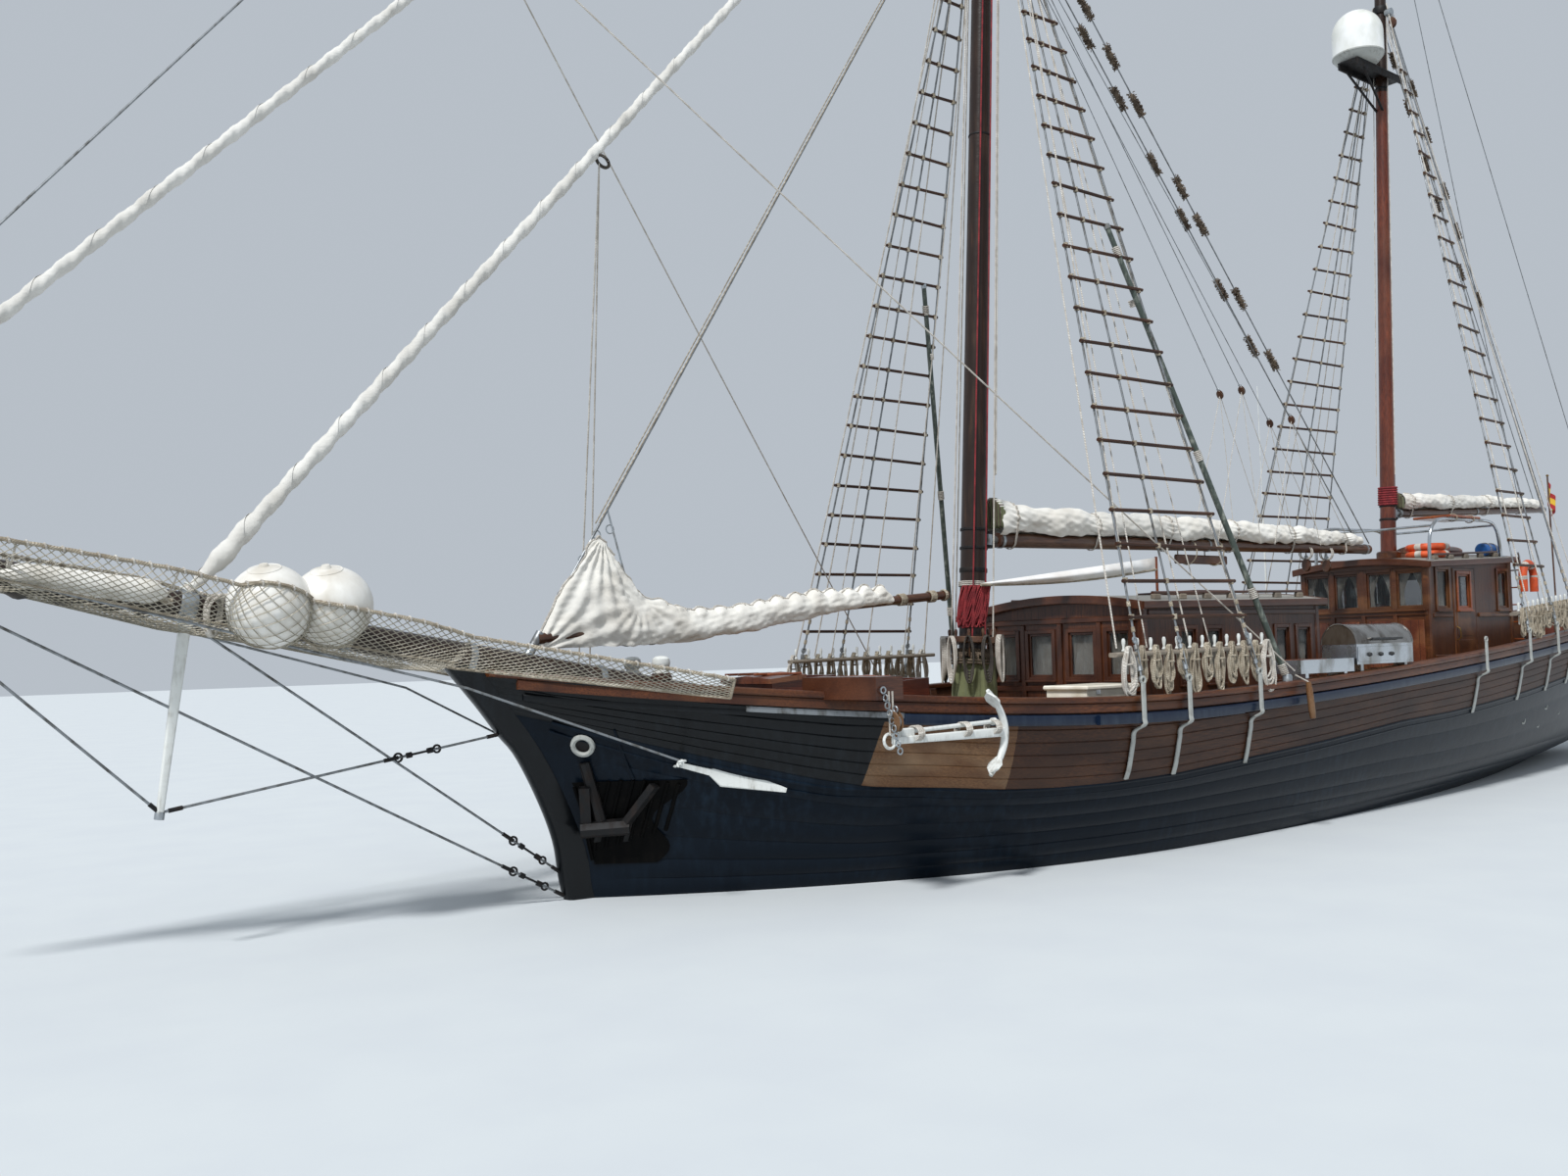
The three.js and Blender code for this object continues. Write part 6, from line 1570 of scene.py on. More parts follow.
def makeRunningRigging():
    # lines between fixed points: start, end, radius, tone
    lines = [(mastAt("main", 15.3, 0, -0.1), mastAt("mizzen", 15.45, 0, 0.09), 0.007, 0)]
    for y, x, tone in ((0.19, 0.02, 3), (0.13, 0.12, 3), (-0.14, 0.13, 2), (0.22, -0.05, 2), (-0.2, 0.03, 2)):
        lines.append((mastAt("main", 11.55, y * 0.9, x * 0.8), mastAt("main", 2.22, y * 1.15, x * 1.3),
            0.009, tone))
    for y, x in ((0.17, -0.15), (0.21, -0.12), (0.24, -0.09)):
        lines.append((mastAt("main", 11.5, y * 0.8, x * 0.7), mastAt("main", 4.05, y, x), 0.01, 2))
    for side in (1, -1):
        for mast, (falls, headY, railY, railZ) in toRails.items():
            for x, high in falls:
                lines.append((mastAt(mast, high, side * headY, 0.02), (x, side * railY, railZ), 0.009, 2))
        lines.append((mastAt("mizzen", 12.0, side * 0.11, 0.02), mastAt("mizzen", 4.6, side * 0.15, 0.05),
            0.007, 2))
    for mast, rows in halyards.items():
        lines += [(mastAt(mast, *head), foot, radius, tone) for head, foot, radius, tone in rows]
    shape = Shape()
    clew, outerClew = np.array([9.02, 0, 6.7]), np.array([10.12, 0, 8.6])
    for start, end, slack in ((clew, (8.57, -1.44, 1.86), 0.0), (clew, (8.38, -1.54, 1.84), 0.004),
            (outerClew, (2.12, 2.6, 1.76), 0.03), (outerClew, (3.4, -2.57, 1.74), 0.03)):
        side = 0.06 if end[1] > 0 else -0.06
        addTube(shape, hanging(start + (0, side, 0), end, slack, 24), 0.008, 6, 2)  # headsail sheets
    for knot in (clew, outerClew):
        addRing(shape, knot, (-0.66, 0, 0.75), 0.07, 0.016, 5, 20)
    for start, end, radius, tone in lines:
        addTube(shape, hanging(start, end, 0.01 * (tone == 2), 10), radius, 6, tone)
    for mast, z, y, size, lift in (("main", 11.42, 0.24, 0.13, 0.28), ("main", 11.42, -0.24, 0.13, 0.28),
            ("main", 12.85, 0.16, 0.13, 0.28), ("mizzen", 11.85, 0.2, 0.12, 0.24),
            ("mizzen", 11.85, -0.2, 0.12, 0.24)):
        isMain = mast == "main"
        place = mastAt(mast, z, y, 0.02 if isMain else 0)
        addBlockAndSheave(shape, place, (0, 0, 1), size, 1, 4)
        strop = mastAt(mast, z + lift, y * (0.45 if isMain else 0.4))
        addTube(shape, [place + (0, 0, 0.1 if isMain else 0.09), strop], 0.012, 8, 0)
    # coils hung on the pin ring and lashed round the mizzen
    for step in range(10):
        angle = step * pi / 5
        around = (mastRadius("main", 2.15) + 0.105) * np.array([cos(angle), sin(angle), 0])
        tone = 5 if step % 3 else 2
        base = mastAt("main", 2.18) + around
        for loop in range(5):
            path = []
            for turn in np.linspace(0, 2 * pi, 18):
                low = (1 - cos(turn)) / 2
                tangent = np.array([-sin(angle), cos(angle), 0])
                out = around / np.linalg.norm(around) * (0.055 + 0.01 * loop)
                path.append(base + out + tangent * 0.055 * sin(turn) + (0, 0,
                    0.06 - low * (0.4 + 0.03 * loop)))
            addTube(shape, path, 0.01, 5, tone, capped=False)
    # red halyard coils on the fore side of the mainmast
    for degrees in (8, 34, 60, 84):
        out = np.array([cos(radians(degrees)), sin(radians(degrees)), 0])
        tangent = np.array([-out[1], out[0], 0])
        for loop in range(8):
            fall = 0.42 + 0.05 * sin(loop * 2.4 + degrees)
            path = [mastAt("main", 2.8 - fall * (1 - cos(turn)) / 2) + out * (mastRadius("main", 2.6) + 0.03
                + 0.011 * (loop % 4)) + tangent * (0.04 + 0.004 * loop) * sin(turn + 0.2 * loop)
                for turn in np.linspace(0, 2 * pi, 20)]
            addTube(shape, path, 0.01, 6, 3, capped=False)
    for turn in range(8):
        z = 4.15 + 0.036 * turn
        addRing(shape, mastAt("mizzen", z), (0.05, 0.03, 1), mastRadius("mizzen", z) + 0.016, 0.018, 3, 28)
    addPiece("runningRigging", shape, "wire boomVarnish whiteRope redRope galvanised darkRope")


def addFuzz(shape, start, end, places, length, radius, tone):
    # baggywrinkle: short bristly rolls of old rope on a line
    ahead = unit(end - start)
    side = unit(np.cross(ahead, (0, 0, 1)))
    up = np.cross(ahead, side)
    for place in places:
        middle = start + (end - start) * place
        far = np.linspace(-0.5, 0.5, 9) * length
        swell = radius * np.sqrt(np.clip(1 - (far / length * 1.95) ** 4, 0.05, 1))
        addTube(shape, middle + ahead * far[:, None], swell * 0.72, 12, tone)
        count = 190
        spin = np.random.default_rng(int(place * 1000)).uniform(0, 1, (count, 4))
        along = (spin[:, 0] - 0.5) * length
        angle = spin[:, 1] * 2 * pi
        out = np.cos(angle)[:, None] * side + np.sin(angle)[:, None] * up
        root = middle + ahead * along[:, None] + out * radius * 0.62
        bristle = out * (radius * (0.35 + 0.35 * spin[:, 2:3])) + ahead * (spin[:, 3:4] - 0.5) * 0.05
        addStrands(shape, root, root + bristle, 0.006, tone)


fuzzPlaces = {  # shares of the lift's length, as the chafing gear sits on each side
    1: (0.05, 0.12, 0.187, 0.25, 0.313, 0.427, 0.48, 0.59, 0.686),
    -1: (0.06, 0.14, 0.217, 0.298, 0.388, 0.467, 0.572, 0.661),
}


# knot's x and z, shares
lifts = {"mainEnd": (-4.2, 0, 3.56), "mizzenEnd": (-10.35, 0, 4.42), "sheetBlocks": (-2.6, -3.15),
    "jacks": ((-0.9, 5.5, (0.5, 0.62, 0.72)), (-2.1, 5.2, (0.66, 0.8, 0.9)))}


def makeLifts():
    # topping lifts with chafing gear; they swing with their booms
    shape = Shape()
    end, head = np.array(lifts["mainEnd"]), mastAt("main", 11.55, 0, -0.22)
    pivot, boomTip = np.array(goosenecks["main"]["pivot"]), np.array(goosenecks["main"]["end"])
    for side in (1, -1):
        top = head + (0, side * 0.1, 0)
        boomEnd = end + (0, side * 0.09, -0.05)
        addTube(shape, between(top, boomEnd, 8), 0.009, 8, 0)
        addFuzz(shape, top, boomEnd, fuzzPlaces[side], 0.34, 0.045, 1)
        # lazy jacks: two lines a side that fork above the boom
        for knotX, knotZ, feet in lifts["jacks"]:
            knot = np.array([knotX, side * 0.17, knotZ])
            addTube(shape, between(head + (0.02, side * 0.05, -0.5), knot, 6), 0.006, 6, 0)
            addBlockAndSheave(shape, knot, (0.6, 0, 1), 0.09, 2, 3)
            for share in feet:
                foot = pivot * (1 - share) + boomTip * share + (0, side * 0.2, 0.02)
                addTube(shape, between(knot, foot, 5), 0.005, 6, 4)
    for x in lifts["sheetBlocks"]:  # below the boom
        place = np.array([x, 0, 3.22])
        addBlockAndSheave(shape, place - (0, 0, 0.06), (0, 0, 1), 0.13, 2, 3)
        addTube(shape, [place + (0, 0, 0.03), place + (0, 0, 0.14)], 0.012, 8, 3)
        for fall in (-0.02, 0.02):
            addRing(shape, place + (fall, 0, 0.12), (1, 0, 0), 0.098, 0.009, 4, 18)
    addPiece("mainLift", shape, "wire frayed boomVarnish galvanised whiteRope", body="main_boom")
    shape = Shape()
    end, head = np.array(lifts["mizzenEnd"]), mastAt("mizzen", 12.0, 0, -0.18)
    for side in (1, -1):
        top, boomEnd = head + (0, side * 0.08, 0), end + (0, side * 0.07, -0.05)
        addTube(shape, between(top, boomEnd, 8), 0.008, 8, 0)
        addFuzz(shape, top, boomEnd, np.array([0.1, 0.19, 0.3, 0.38, 0.52]) + 0.03 * side, 0.28, 0.038, 1)
    addPiece("mizzenLift", shape, "wire frayed", body="mizzen_boom")


makeCover("main")
makeCover("mizzen")
makeStaysail()
makeHeadsails()
makeNet()
makeApron()
makeMartingale()
makeRunningRigging()
makeLifts()
print("sails, net and rigging made")

# Deckhouses. Walls stay the solids; roofs are crowned, windows get frames, glass and curtains.
houses = {
    "saloon": {"front": 2.84, "back": -0.8, "half": 1.19, "eaves": (2.52, 2.56), "camber": 0.11,
        "frontPanes": ((0.312, 0.37), (0.8465, 0.307)), "frontZ": (1.73, 2.25), "sidePanes": ((2.0, 0.28),
        (1.48, 0.28), (0.04, 0.28), (-0.44, 0.28)), "sideZ": (1.65, 2.25), "railZ": (1.42, 2.42),
        "railRuns": ((-0.71, 2.75),), "frontRailZ": (1.56, 2.36), "stiles": (0.0, 0.58, 1.05),
        "stileTop": 2.36},
    "wheelhouse": {"front": -4.12, "back": -6.76, "half": 1.0, "eaves": (3.12, 3.23), "camber": 0.09,
        "frontPanes": ((0.26, 0.38), (0.73, 0.4)), "frontZ": (2.52, 3.05), "sidePanes": ((-4.545, 0.35),
        (-6.46, 0.32)), "sideZ": (2.5, 3.06), "railZ": (1.75, 2.36), "railRuns": ((-4.8, -4.21),
        (-6.67, -5.62)), "frontRailZ": (1.5, 2.4), "stiles": (0.0, 0.49), "stileTop": 3.1},
}
roofing = {"thickness": 0.055, "overhang": 0.085, "edge": 0.03}
joinery = {"frame": 0.05, "proud": 0.018, "sash": 0.028}


def eaves(house, x):
    low, high = house["eaves"]
    return low + (high - low) * (house["front"] - x) / (house["front"] - house["back"])


def roofTop(house, x, y):
    reach = house["half"] + roofing["overhang"]
    edge = eaves(house, x) - house["camber"] * roofing["overhang"] / house["half"]
    crown = eaves(house, x) + house["camber"]
    return crown + roofing["thickness"] - (crown - edge) * (y / reach) ** 2


def makeRoofs():
    for name, house in houses.items():
        shape = Shape()
        reach = house["half"] + roofing["overhang"]
        ends = (house["back"] - roofing["overhang"], house["front"] + roofing["overhang"])
        rows = []
        across = np.linspace(reach, -reach, 41)
        for x in np.linspace(ends[0], ends[1], 12):
            top = [(x, y, roofTop(house, x, y)) for y in across]
            edge = eaves(house, x) - house["camber"] * roofing["overhang"] / house["half"]
            under = [(x, -reach, edge), (x, 0, eaves(house, x) + house["camber"]), (x, reach, edge)]
            rows.append(top + under)
        addGrid(shape, np.array(rows)[:, ::-1], 0, closed=True)
        count = len(rows[0])
        shape.close(shape.size, count)
        shape.close(count, count, 0, True)
        for x in ends:  # arched boards on the front and back edges
            line = [(x, y, roofTop(house, x, y) - 0.042) for y in across]
            addSweep(shape, line, roundedBox(roofing["edge"], 0.1, 0.008), 1, (1, 0, 0))
        for side in (1, -1):
            line = [(x, side * reach, roofTop(house, x, reach) - 0.035) for x in np.linspace(*ends, 6)]
            addSweep(shape, line, roundedBox(roofing["edge"], 0.085, 0.008), 1)
            y = side * (house["half"] - 0.12)  # grab rail on pads
            start, end = ends[0] + 0.25, ends[1] - (0.45 if name == "saloon" else 0.5)
            line = [(x, y, roofTop(house, x, y) + 0.075) for x in np.linspace(start, end, 8)]
            addSweep(shape, line, roundedBox(0.045, 0.032, 0.012), 1)
            for x in np.linspace(start + 0.06, end - 0.06, 7 if name == "saloon" else 5):
                z = roofTop(house, x, y)
                addBlock(shape, (x - 0.07, y - 0.03, z - 0.01), (x + 0.07, y + 0.03, z + 0.062), 0.014, 2)
        addPiece(f"{name}RoofCrown", shape, "roofPaint darkTrim greyTeak",
            stands=[f"{name}_roof"])


def addFrame(shape, centre, level, outward, width, height, tone):
    # mitred window frame with a sash inside the opening
    centre, level, outward, up = (np.asarray(v, float) for v in (centre, level, outward, (0, 0, 1)))
    trim, proud, sash = joinery["frame"], joinery["proud"], joinery["sash"]
    inside = outward * 0.022
    for way in (-1, 1):
        side = centre + level * way * (width / 2 + trim / 2) + outward * proud / 2
        reach = up * (height / 2 + trim)
        addBar(shape, side - reach, side + reach, proud, trim, 0.006, tone, up=level)
        rail = centre + up * way * (height / 2 + trim / 2) + outward * proud / 2
        reach = level * (width / 2)
        addBar(shape, rail - reach, rail + reach, proud, trim, 0.006, tone)
        inner = centre + level * way * (width / 2 - sash / 2) - inside
        reach = up * height / 2
        addBar(shape, inner - reach, inner + reach, 0.03, sash, 0.003, tone, up=level)
        inner = centre + up * way * (height / 2 - sash / 2) - inside
        reach = level * (width / 2 - sash)
        addBar(shape, inner - reach, inner + reach, 0.03, sash, 0.003, tone)
    sill, reach = centre - up * (height / 2 + trim) + outward * 0.02, level * (width / 2 + trim)
    addBar(shape, sill - reach, sill + reach, 0.045, 0.022, 0.005, tone)


def addPane(shape, centre, level, outward, width, height):
    centre, level, outward = (np.asarray(v, float) for v in (centre, level, outward))
    inner = centre - outward * 0.022
    half = level * (width / 2 - 0.02)
    addBar(shape, inner - half, inner + half, 0.006, height - 0.04, 0.001)


def addCurtain(shape, centre, level, outward, width, height, drawn, seed):
    # drawn: hangs straight over the pane; otherwise held back to both sides in a tie
    centre, level, outward, up = (np.asarray(v, float) for v in (centre, level, outward, (0, 0, 1)))
    back = centre - outward * 0.075
    across = np.linspace(0, 1, 34)
    for way in (-1, 1):
        rows = []
        for drop in np.linspace(0, 1, 12):
            tie = 0.35 + 0.65 * abs(1 - drop / 0.62) ** 1.4 if drop < 0.62 else 0.35 + 0.2 * (drop - 0.62)
            fold = 0.012 * np.sin(across * 2 * pi * 6 + seed + 0.6 * sin(drop * 3 + seed))
            place = way * (width / 2 - across * width * 0.5 * (1.0 if drawn else tie))
            fall = up * (height / 2 - drop * height * 0.985)
            rows.append(back + place[:, None] * level + fold[:, None] * outward + fall)
        addGrid(shape, np.array(rows))


def addWindow(parts, centre, level, outward, width, height, tone, drawn):
    frameShape, glassShape, clothShape = parts
    addFrame(frameShape, centre, level, outward, width, height, tone)
    addPane(glassShape, centre, level, outward, width, height)
    if drawn is not None:
        addCurtain(clothShape, centre, level, outward, width, height, drawn, centre[0] * 3 + centre[1] * 5)


def makeHouseTrim():
    for name, house in houses.items():
        parts = (Shape(), Shape(), Shape())
        trim = parts[0]
        drawn = name == "saloon"
        low, high = house["frontZ"]
        back, front = house["back"], house["front"]
        sideLow, sideHigh = house["sideZ"]
        for side in (1, -1):
            for y, width in house["frontPanes"]:
                middle = np.array([front, side * y, (low + high) / 2])
                addWindow(parts, middle, (0, 1, 0), (1, 0, 0), width, high - low, 0, drawn)
            for x, width in house["sidePanes"]:
                middle = np.array([x, side * house["half"], (sideLow + sideHigh) / 2])
                addWindow(parts, middle, (1, 0, 0), (0, side, 0), width, sideHigh - sideLow, 0, True)
            if name == "wheelhouse":
                addWindow(parts, np.array([back, side * 0.5, 2.75]), (0, 1, 0), (-1, 0, 0), 0.6, 0.6, 0, None)
            for x in (front - 0.035, back + 0.035):  # corner posts
                y = side * (house["half"] - 0.028)
                foot = deckLevel.height(x) + 0.03
                addBlock(trim, (x - 0.05, y - 0.045, foot), (x + 0.05, y + 0.045, eaves(house, x) - 0.005),
                    0.02, 0)
            y = side * (house["half"] + 0.012)
            for lift in house["railZ"]:  # rails along the sides
                for aft, fore in house["railRuns"]:
                    addBlock(trim, (aft, y - 0.014, lift), (fore, y + 0.014, lift + 0.06), 0.008, 0)
        front = front + 0.012
        span = house["half"] - 0.02
        for z in house["frontRailZ"]:
            addBlock(trim, (front - 0.014, -span, z), (front + 0.014, span, z + 0.065), 0.008, 0)
        for y in house["stiles"]:
            for side in ((1,) if y == 0 else (1, -1)):
                y0, top = side * y, house["stileTop"]
                addBlock(trim, (front - 0.014, y0 - 0.03, 1.4), (front + 0.016, y0 + 0.03, top), 0.008, 0)
        if name == "wheelhouse":  # fielded panels below the windows
            for y in (0.245, 0.745, -0.245, -0.745):
                addBlock(trim, (front - 0.02, y - 0.17, 1.64), (front + 0.002, y + 0.17, 2.33), 0.012, 1)
            addBar(trim, (-4.1, -0.95, 2.47), (-4.1, 0.95, 2.47), 0.07, 0.028, 0.008, 0)
            collar = mastRadius("mizzen", 3.35) + 0.06
            profile = [(0.1, -0.06), (collar, -0.06), (collar, 0.03), (collar - 0.02, 0.05), (0.1, 0.05)]
            addLathe(trim, profile, mastAt("mizzen", 3.36), (0, 0, 1), 32, 0)
        else:
            for y in (-0.25, 0.25):  # a low skylight hatch on the roof
                z = roofTop(house, 0.4, y)
                addBlock(trim, (0.05, y - 0.22, z - 0.03), (0.75, y + 0.22, z + 0.05), 0.012, 0)
        kind, slot = ("darkTrim", "dark_varnish") if drawn else ("orangeVarnish", "varnish")
        addPiece(f"{name}Joinery", trim, f"{kind} hatchWood")
        addPiece(f"{name}Glass", parts[1], "glass")
        cloth = addPiece(f"{name}Curtains", parts[2], "curtain", smooth=70)
    keepNode("darkMahogany", 4, "saloon_front", "saloon_back")
    keepNode("sideBoards", 4, "saloon_side_port", "saloon_side_starboard", "wheelhouse_side_port",
        "wheelhouse_side_starboard")
    keepNode("orangeVarnish", 4, "wheelhouse_front", "wheelhouse_back")


def makeDoors():
    for title, side in (("Port", 1), ("Starboard", -1)):
        shape = Shape()
        y = side * 0.998
        for low, high in ((1.64, 2.02), (2.08, 2.44)):
            addBlock(shape, (-5.42, y - 0.008, low), (-4.95, y + 0.006, high), 0.006, 1)
        window = ((-5.2, y, 2.75), (1, 0, 0), (0, side, 0), 0.36, 0.5)
        addFrame(shape, *window, 0)
        out = y + side * 0.05
        handle = [(-4.93, y, 2.02), (-4.93, out, 2.06), (-4.93, out, 2.18), (-4.93, y, 2.22)]
        addTube(shape, smoothPath(handle, 5), 0.008, 8, 2)
        for z in (1.72, 2.9):
            addBar(shape, (-5.52, y + side * 0.004, z), (-5.4, y + side * 0.004, z), 0.03, 0.006, 0.002, 2)
        name = f"wheelhouse_door_{title.lower()}"
        addPiece(f"sideDoorTrim{title}", shape, "redBoard orangeVarnish bronze", body=name)
        pane = Shape()
        addPane(pane, *window)
        addPiece(f"sideDoorGlass{title}", pane, "glass", body=name)
        keepNode("orangeVarnish", 3, name)
    shape = Shape()
    for low, high in ((1.4, 1.9), (1.97, 2.43)):
        for y in (-0.15, 0.15):
            addBlock(shape, (-0.818, y - 0.115, low), (-0.806, y + 0.115, high), 0.005, 0)
    handle = [(-0.81, -0.25, 1.86), (-0.86, -0.25, 1.89), (-0.86, -0.25, 2.0), (-0.81, -0.25, 2.03)]
    addTube(shape, smoothPath(handle, 5), 0.008, 8, 1)
    addPiece("saloonDoorPanels", shape, "orangeVarnish bronze", body="saloon_door")
    keepNode("darkMahogany", 3, "saloon_door")


bitts = {"x": 8.67, "y": 0.245, "half": 0.07, "foot": 1.24, "top": 1.96}


def makeDeckGear():
    keepNode("mahogany", 6, "companion_fore", "companion_mid")
    keepNode("darkTrim", 8, "cathead_port", "cathead_starboard")
    keepNode("locker", 14, "deck_locker")
    keepNode("stainless", 3, "rail_trough", "barbecue")
    keepNode("blackIron", 8, "bow_anchor_port")
    for name, low, high, half in (("fore", 7.09, 7.54, 0.405), ("mid", 5.93, 6.49, 0.425)):
        lid = Shape()
        z = lidTop(f"companion_lid_{name}")
        for y in (-half + 0.06, -0.13, 0.13, half - 0.06):  # battens across the sliding lid
            addBlock(lid, (low + 0.02, y - 0.02, z - 0.012), (high - 0.02, y + 0.02, z + 0.012), 0.006, 0)
        addPiece(f"{name}LidBattens", lid, "redBoard", body=f"companion_lid_{name}")
        keepNode("hatchWood", 6, f"companion_lid_{name}")
    shape = Shape()
    x, half = bitts["x"], bitts["half"]
    for side in (1, -1):  # bitts with turned white heads
        y = side * bitts["y"]
        addBlock(shape, (x - half, y - half, bitts["foot"]), (x + half, y + half, bitts["top"]), 0.014, 0)
        profile = [(0.001, 1.955), (0.072, 1.955), (0.066, 1.975), (0.058, 1.99), (0.078, 2.02),
            (0.085, 2.05), (0.078, 2.085), (0.052, 2.108), (0.001, 2.114)]
        addLathe(shape, profile, (x, y, 0), (0, 0, 1), 30, 1)
        addLathe(shape, [(0.001, 1.9), (0.1, 1.9), (0.1, 1.93), (0.001, 1.93)], (x, y, 0), (0, 0, 1), 30, 0)
    addBlock(shape, (x - half, -0.42, 1.42), (x + half, 0.42, 1.8), 0.02, 0)
    for turn in range(5):
        addRing(shape, (x, 0.31, 1.5 + 0.032 * turn), (0, 1, 0.03), 0.12, 0.016, 2, 22)
    addPiece("bittsTurned", shape, "darkTrim whitePaint whiteRope", stands=["bitts"])


def lidTop(node):
    return float(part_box(node)[1][2]) - 0.02


anchorAt = {"ring": (7.8, 2.44, 1.36), "crown": (6.52, 2.44, 1.36)}


def makeAnchors():
    shape = Shape()
    ring, crown = np.array(anchorAt["ring"]), np.array(anchorAt["crown"])
    path = between(ring + (0.06, 0, 0), crown, 14)
    section = np.stack([roundedBox(width, width * 0.72, 0.012) for width in np.linspace(0.058, 0.082, 14)])
    addSweep(shape, path, section, 0, (0, 0, 1), (0, 1, 0))
    arms = [crown + (0.2 * (abs(t) ** 2.0), 0, 0.37 * t) for t in np.linspace(-1, 1, 25)]
    width = 0.036 - 0.018 * np.abs(np.linspace(-1, 1, 25)) ** 2
    addTube(shape, arms, width, 12, 0)
    for way in (-1, 1):
        tip, root = crown + (0.235, 0, way * 0.385), crown + (0.075, 0, way * 0.21)
        along = unit(tip - root)
        outer = unit(np.cross(along, (0, 1, 0)))
        palm = [(-0.02, 0.0), (0.03, 0.045), (0.09, 0.085), (0.14, 0.07), (0.2, 0.0), (0.14, -0.07),
            (0.09, -0.085), (0.03, -0.045)]
        rows = []
        for lift in (-0.01, 0.0, 0.01):
            swell = 1 if lift == 0 else 0.9
            rows.append([root + along * far + np.array([0, 1, 0]) * wide * swell * 0.98 + outer * lift * way
                for far, wide in palm])
        rows = np.array(rows)
        rows[..., 1] = np.clip(rows[..., 1], 2.365, 2.53)
        addGrid(shape, rows, 0, closed=True)
        shape.close(8, 8)
        shape.close(24, 8)
    addTube(shape, between(ring + (-0.04, -0.06, 0.06), ring + (-1.15, -0.02, 0.095), 10), 0.019, 12, 0)
    addTube(shape, [ring + (-1.14, -0.02, 0.095), ring + (-1.18, -0.02, 0.097)], 0.032, 14, 0)
    addRing(shape, ring + (0.1, 0, 0), (0, 1, 0.1), 0.06, 0.013, 0, 22)
    addBar(shape, ring + (-0.05, -0.03, 0.035), ring + (-0.2, -0.03, 0.035), 0.05, 0.12, 0.01, 0)
    for far in (0.18, 0.75, 1.12):  # white lashings
        for turn in range(4):
            addRing(shape, ring + (-far - 0.02 * turn, -0.015, 0.045), (1, 0, 0.05), 0.078, 0.008, 1, 16, 0.8)
    head = np.array([7.9, 2.42, 1.8])
    for fall in (-0.02, 0.02):
        addTube(shape, hanging(head + (fall, 0.05, -0.03), ring + (0.1 + fall, 0.03, 0.05), 0.0, 8), 0.008,
            6, 1)
    links = between((7.98, 2.47, 1.78), (7.86, 2.52, 1.28), 9)
    for place, link in enumerate(links):
        addRing(shape, link, (1, 0, 0) if place % 2 else (0, 1, 0), 0.026, 0.007, 2, 12)
    addBlockAndSheave(shape, (7.87, 2.5, 1.52), (0.1, 0, 1), 0.12, 3, 2)
    addPiece("railAnchor", shape, "whitePaint whiteRope galvanised tanPlank",
        stands=["anchor_port"])
    bow = Shape()
    for side in (1, -1):
        for share in np.linspace(0, 1, 10):  # ribs of the anchor pocket, near-black like the pocket's painted shade
            x = 9.6 - 0.7 * share
            zs = np.linspace(0.34 + 0.25 * share, 1.0 + 0.05 * sin(share * 3), 10)
            addTube(bow, [onHull(min(x, stemX(z) - 0.26), z, 0.004, side) for z in zs], 0.018, 8, 6)
        hole = onHull(9.595, 1.369, 0.0, side)
        ahead = onHull(9.695, 1.369, 0.0, side) - onHull(9.495, 1.369, 0.0, side)
        hawse = unit(np.cross(ahead, onHull(9.595, 1.469, 0.0, side) - onHull(9.595, 1.269, 0.0, side)))
        hawse = hawse * np.sign(hawse[1] * side)
        pocket = []
        for z in np.linspace(0.3, 1.04, 16):  # near-black sheet behind the ribs: painted shade of the recessed pocket and its rust staining, with a ragged after edge
            fore, aft = min(9.66, stemX(z) - 0.27), 8.93 + 0.09 * sin(z * 11)
            pocket.append([onHull(x, z, 0.005, side) for x in np.linspace(fore, aft, 14)])
        addGrid(bow, pocket[::side], 6)
        addRing(bow, hole + hawse * 0.018, hawse, 0.085, 0.024, 1, 28)
        addLathe(bow, disc(0.075, 0.006), hole, hawse, 24, 0)
        scarf = [onHull(9.434 - 0.22 * t, 1.492 - 0.436 * t, 0.01, side) for t in np.linspace(0, 1, 8)]
        addTube(bow, scarf, 0.012, 6, 2)
        for x, z, radius in ((-4.82, 0.868, 0.06), (-5.77, 1.019, 0.05), (-5.66, 0.75, 0.04),
                (-6.62, 0.903, 0.05)):
            addRing(bow, onHull(x, z, 0.008, side), (0, 1, 0), radius, 0.012, 1, 20)
            addLathe(bow, disc(radius, 0.004), onHull(x, z, 0.002, side), (0, side, 0), 20, 0)
        for x in (9.35, 9.15):  # flukes' chafing plate
            ends = [onHull(x, z, 0.012, side) for z in (0.5, 0.74)]
            addBar(bow, *ends, 0.02, 0.09, 0.004, 0, up=(1, 0, 0))
    stick = [(2.03, 2.7, 1.64), (1.99, 2.71, 1.25)]
    addTube(bow, between(*stick, 6), [0.026, 0.034, 0.036, 0.036, 0.036, 0.03], 14, 3)
    addTube(bow, between((2.09, 2.58, 1.72), stick[0], 5), 0.008, 6, 4)
    for side in (1, -1):
        addStrap(bow, -2.6, side, 1)
    addPiece("bowFittings", bow, "blackIron greyStrap slateEnamel tanPlank whiteRope blackEnamel pitch")


barbecue = {"ends": (-0.52, 0.76), "sides": (2.13, 2.56), "rim": 2.021, "foot": 1.631, "domeHeight": 0.23}


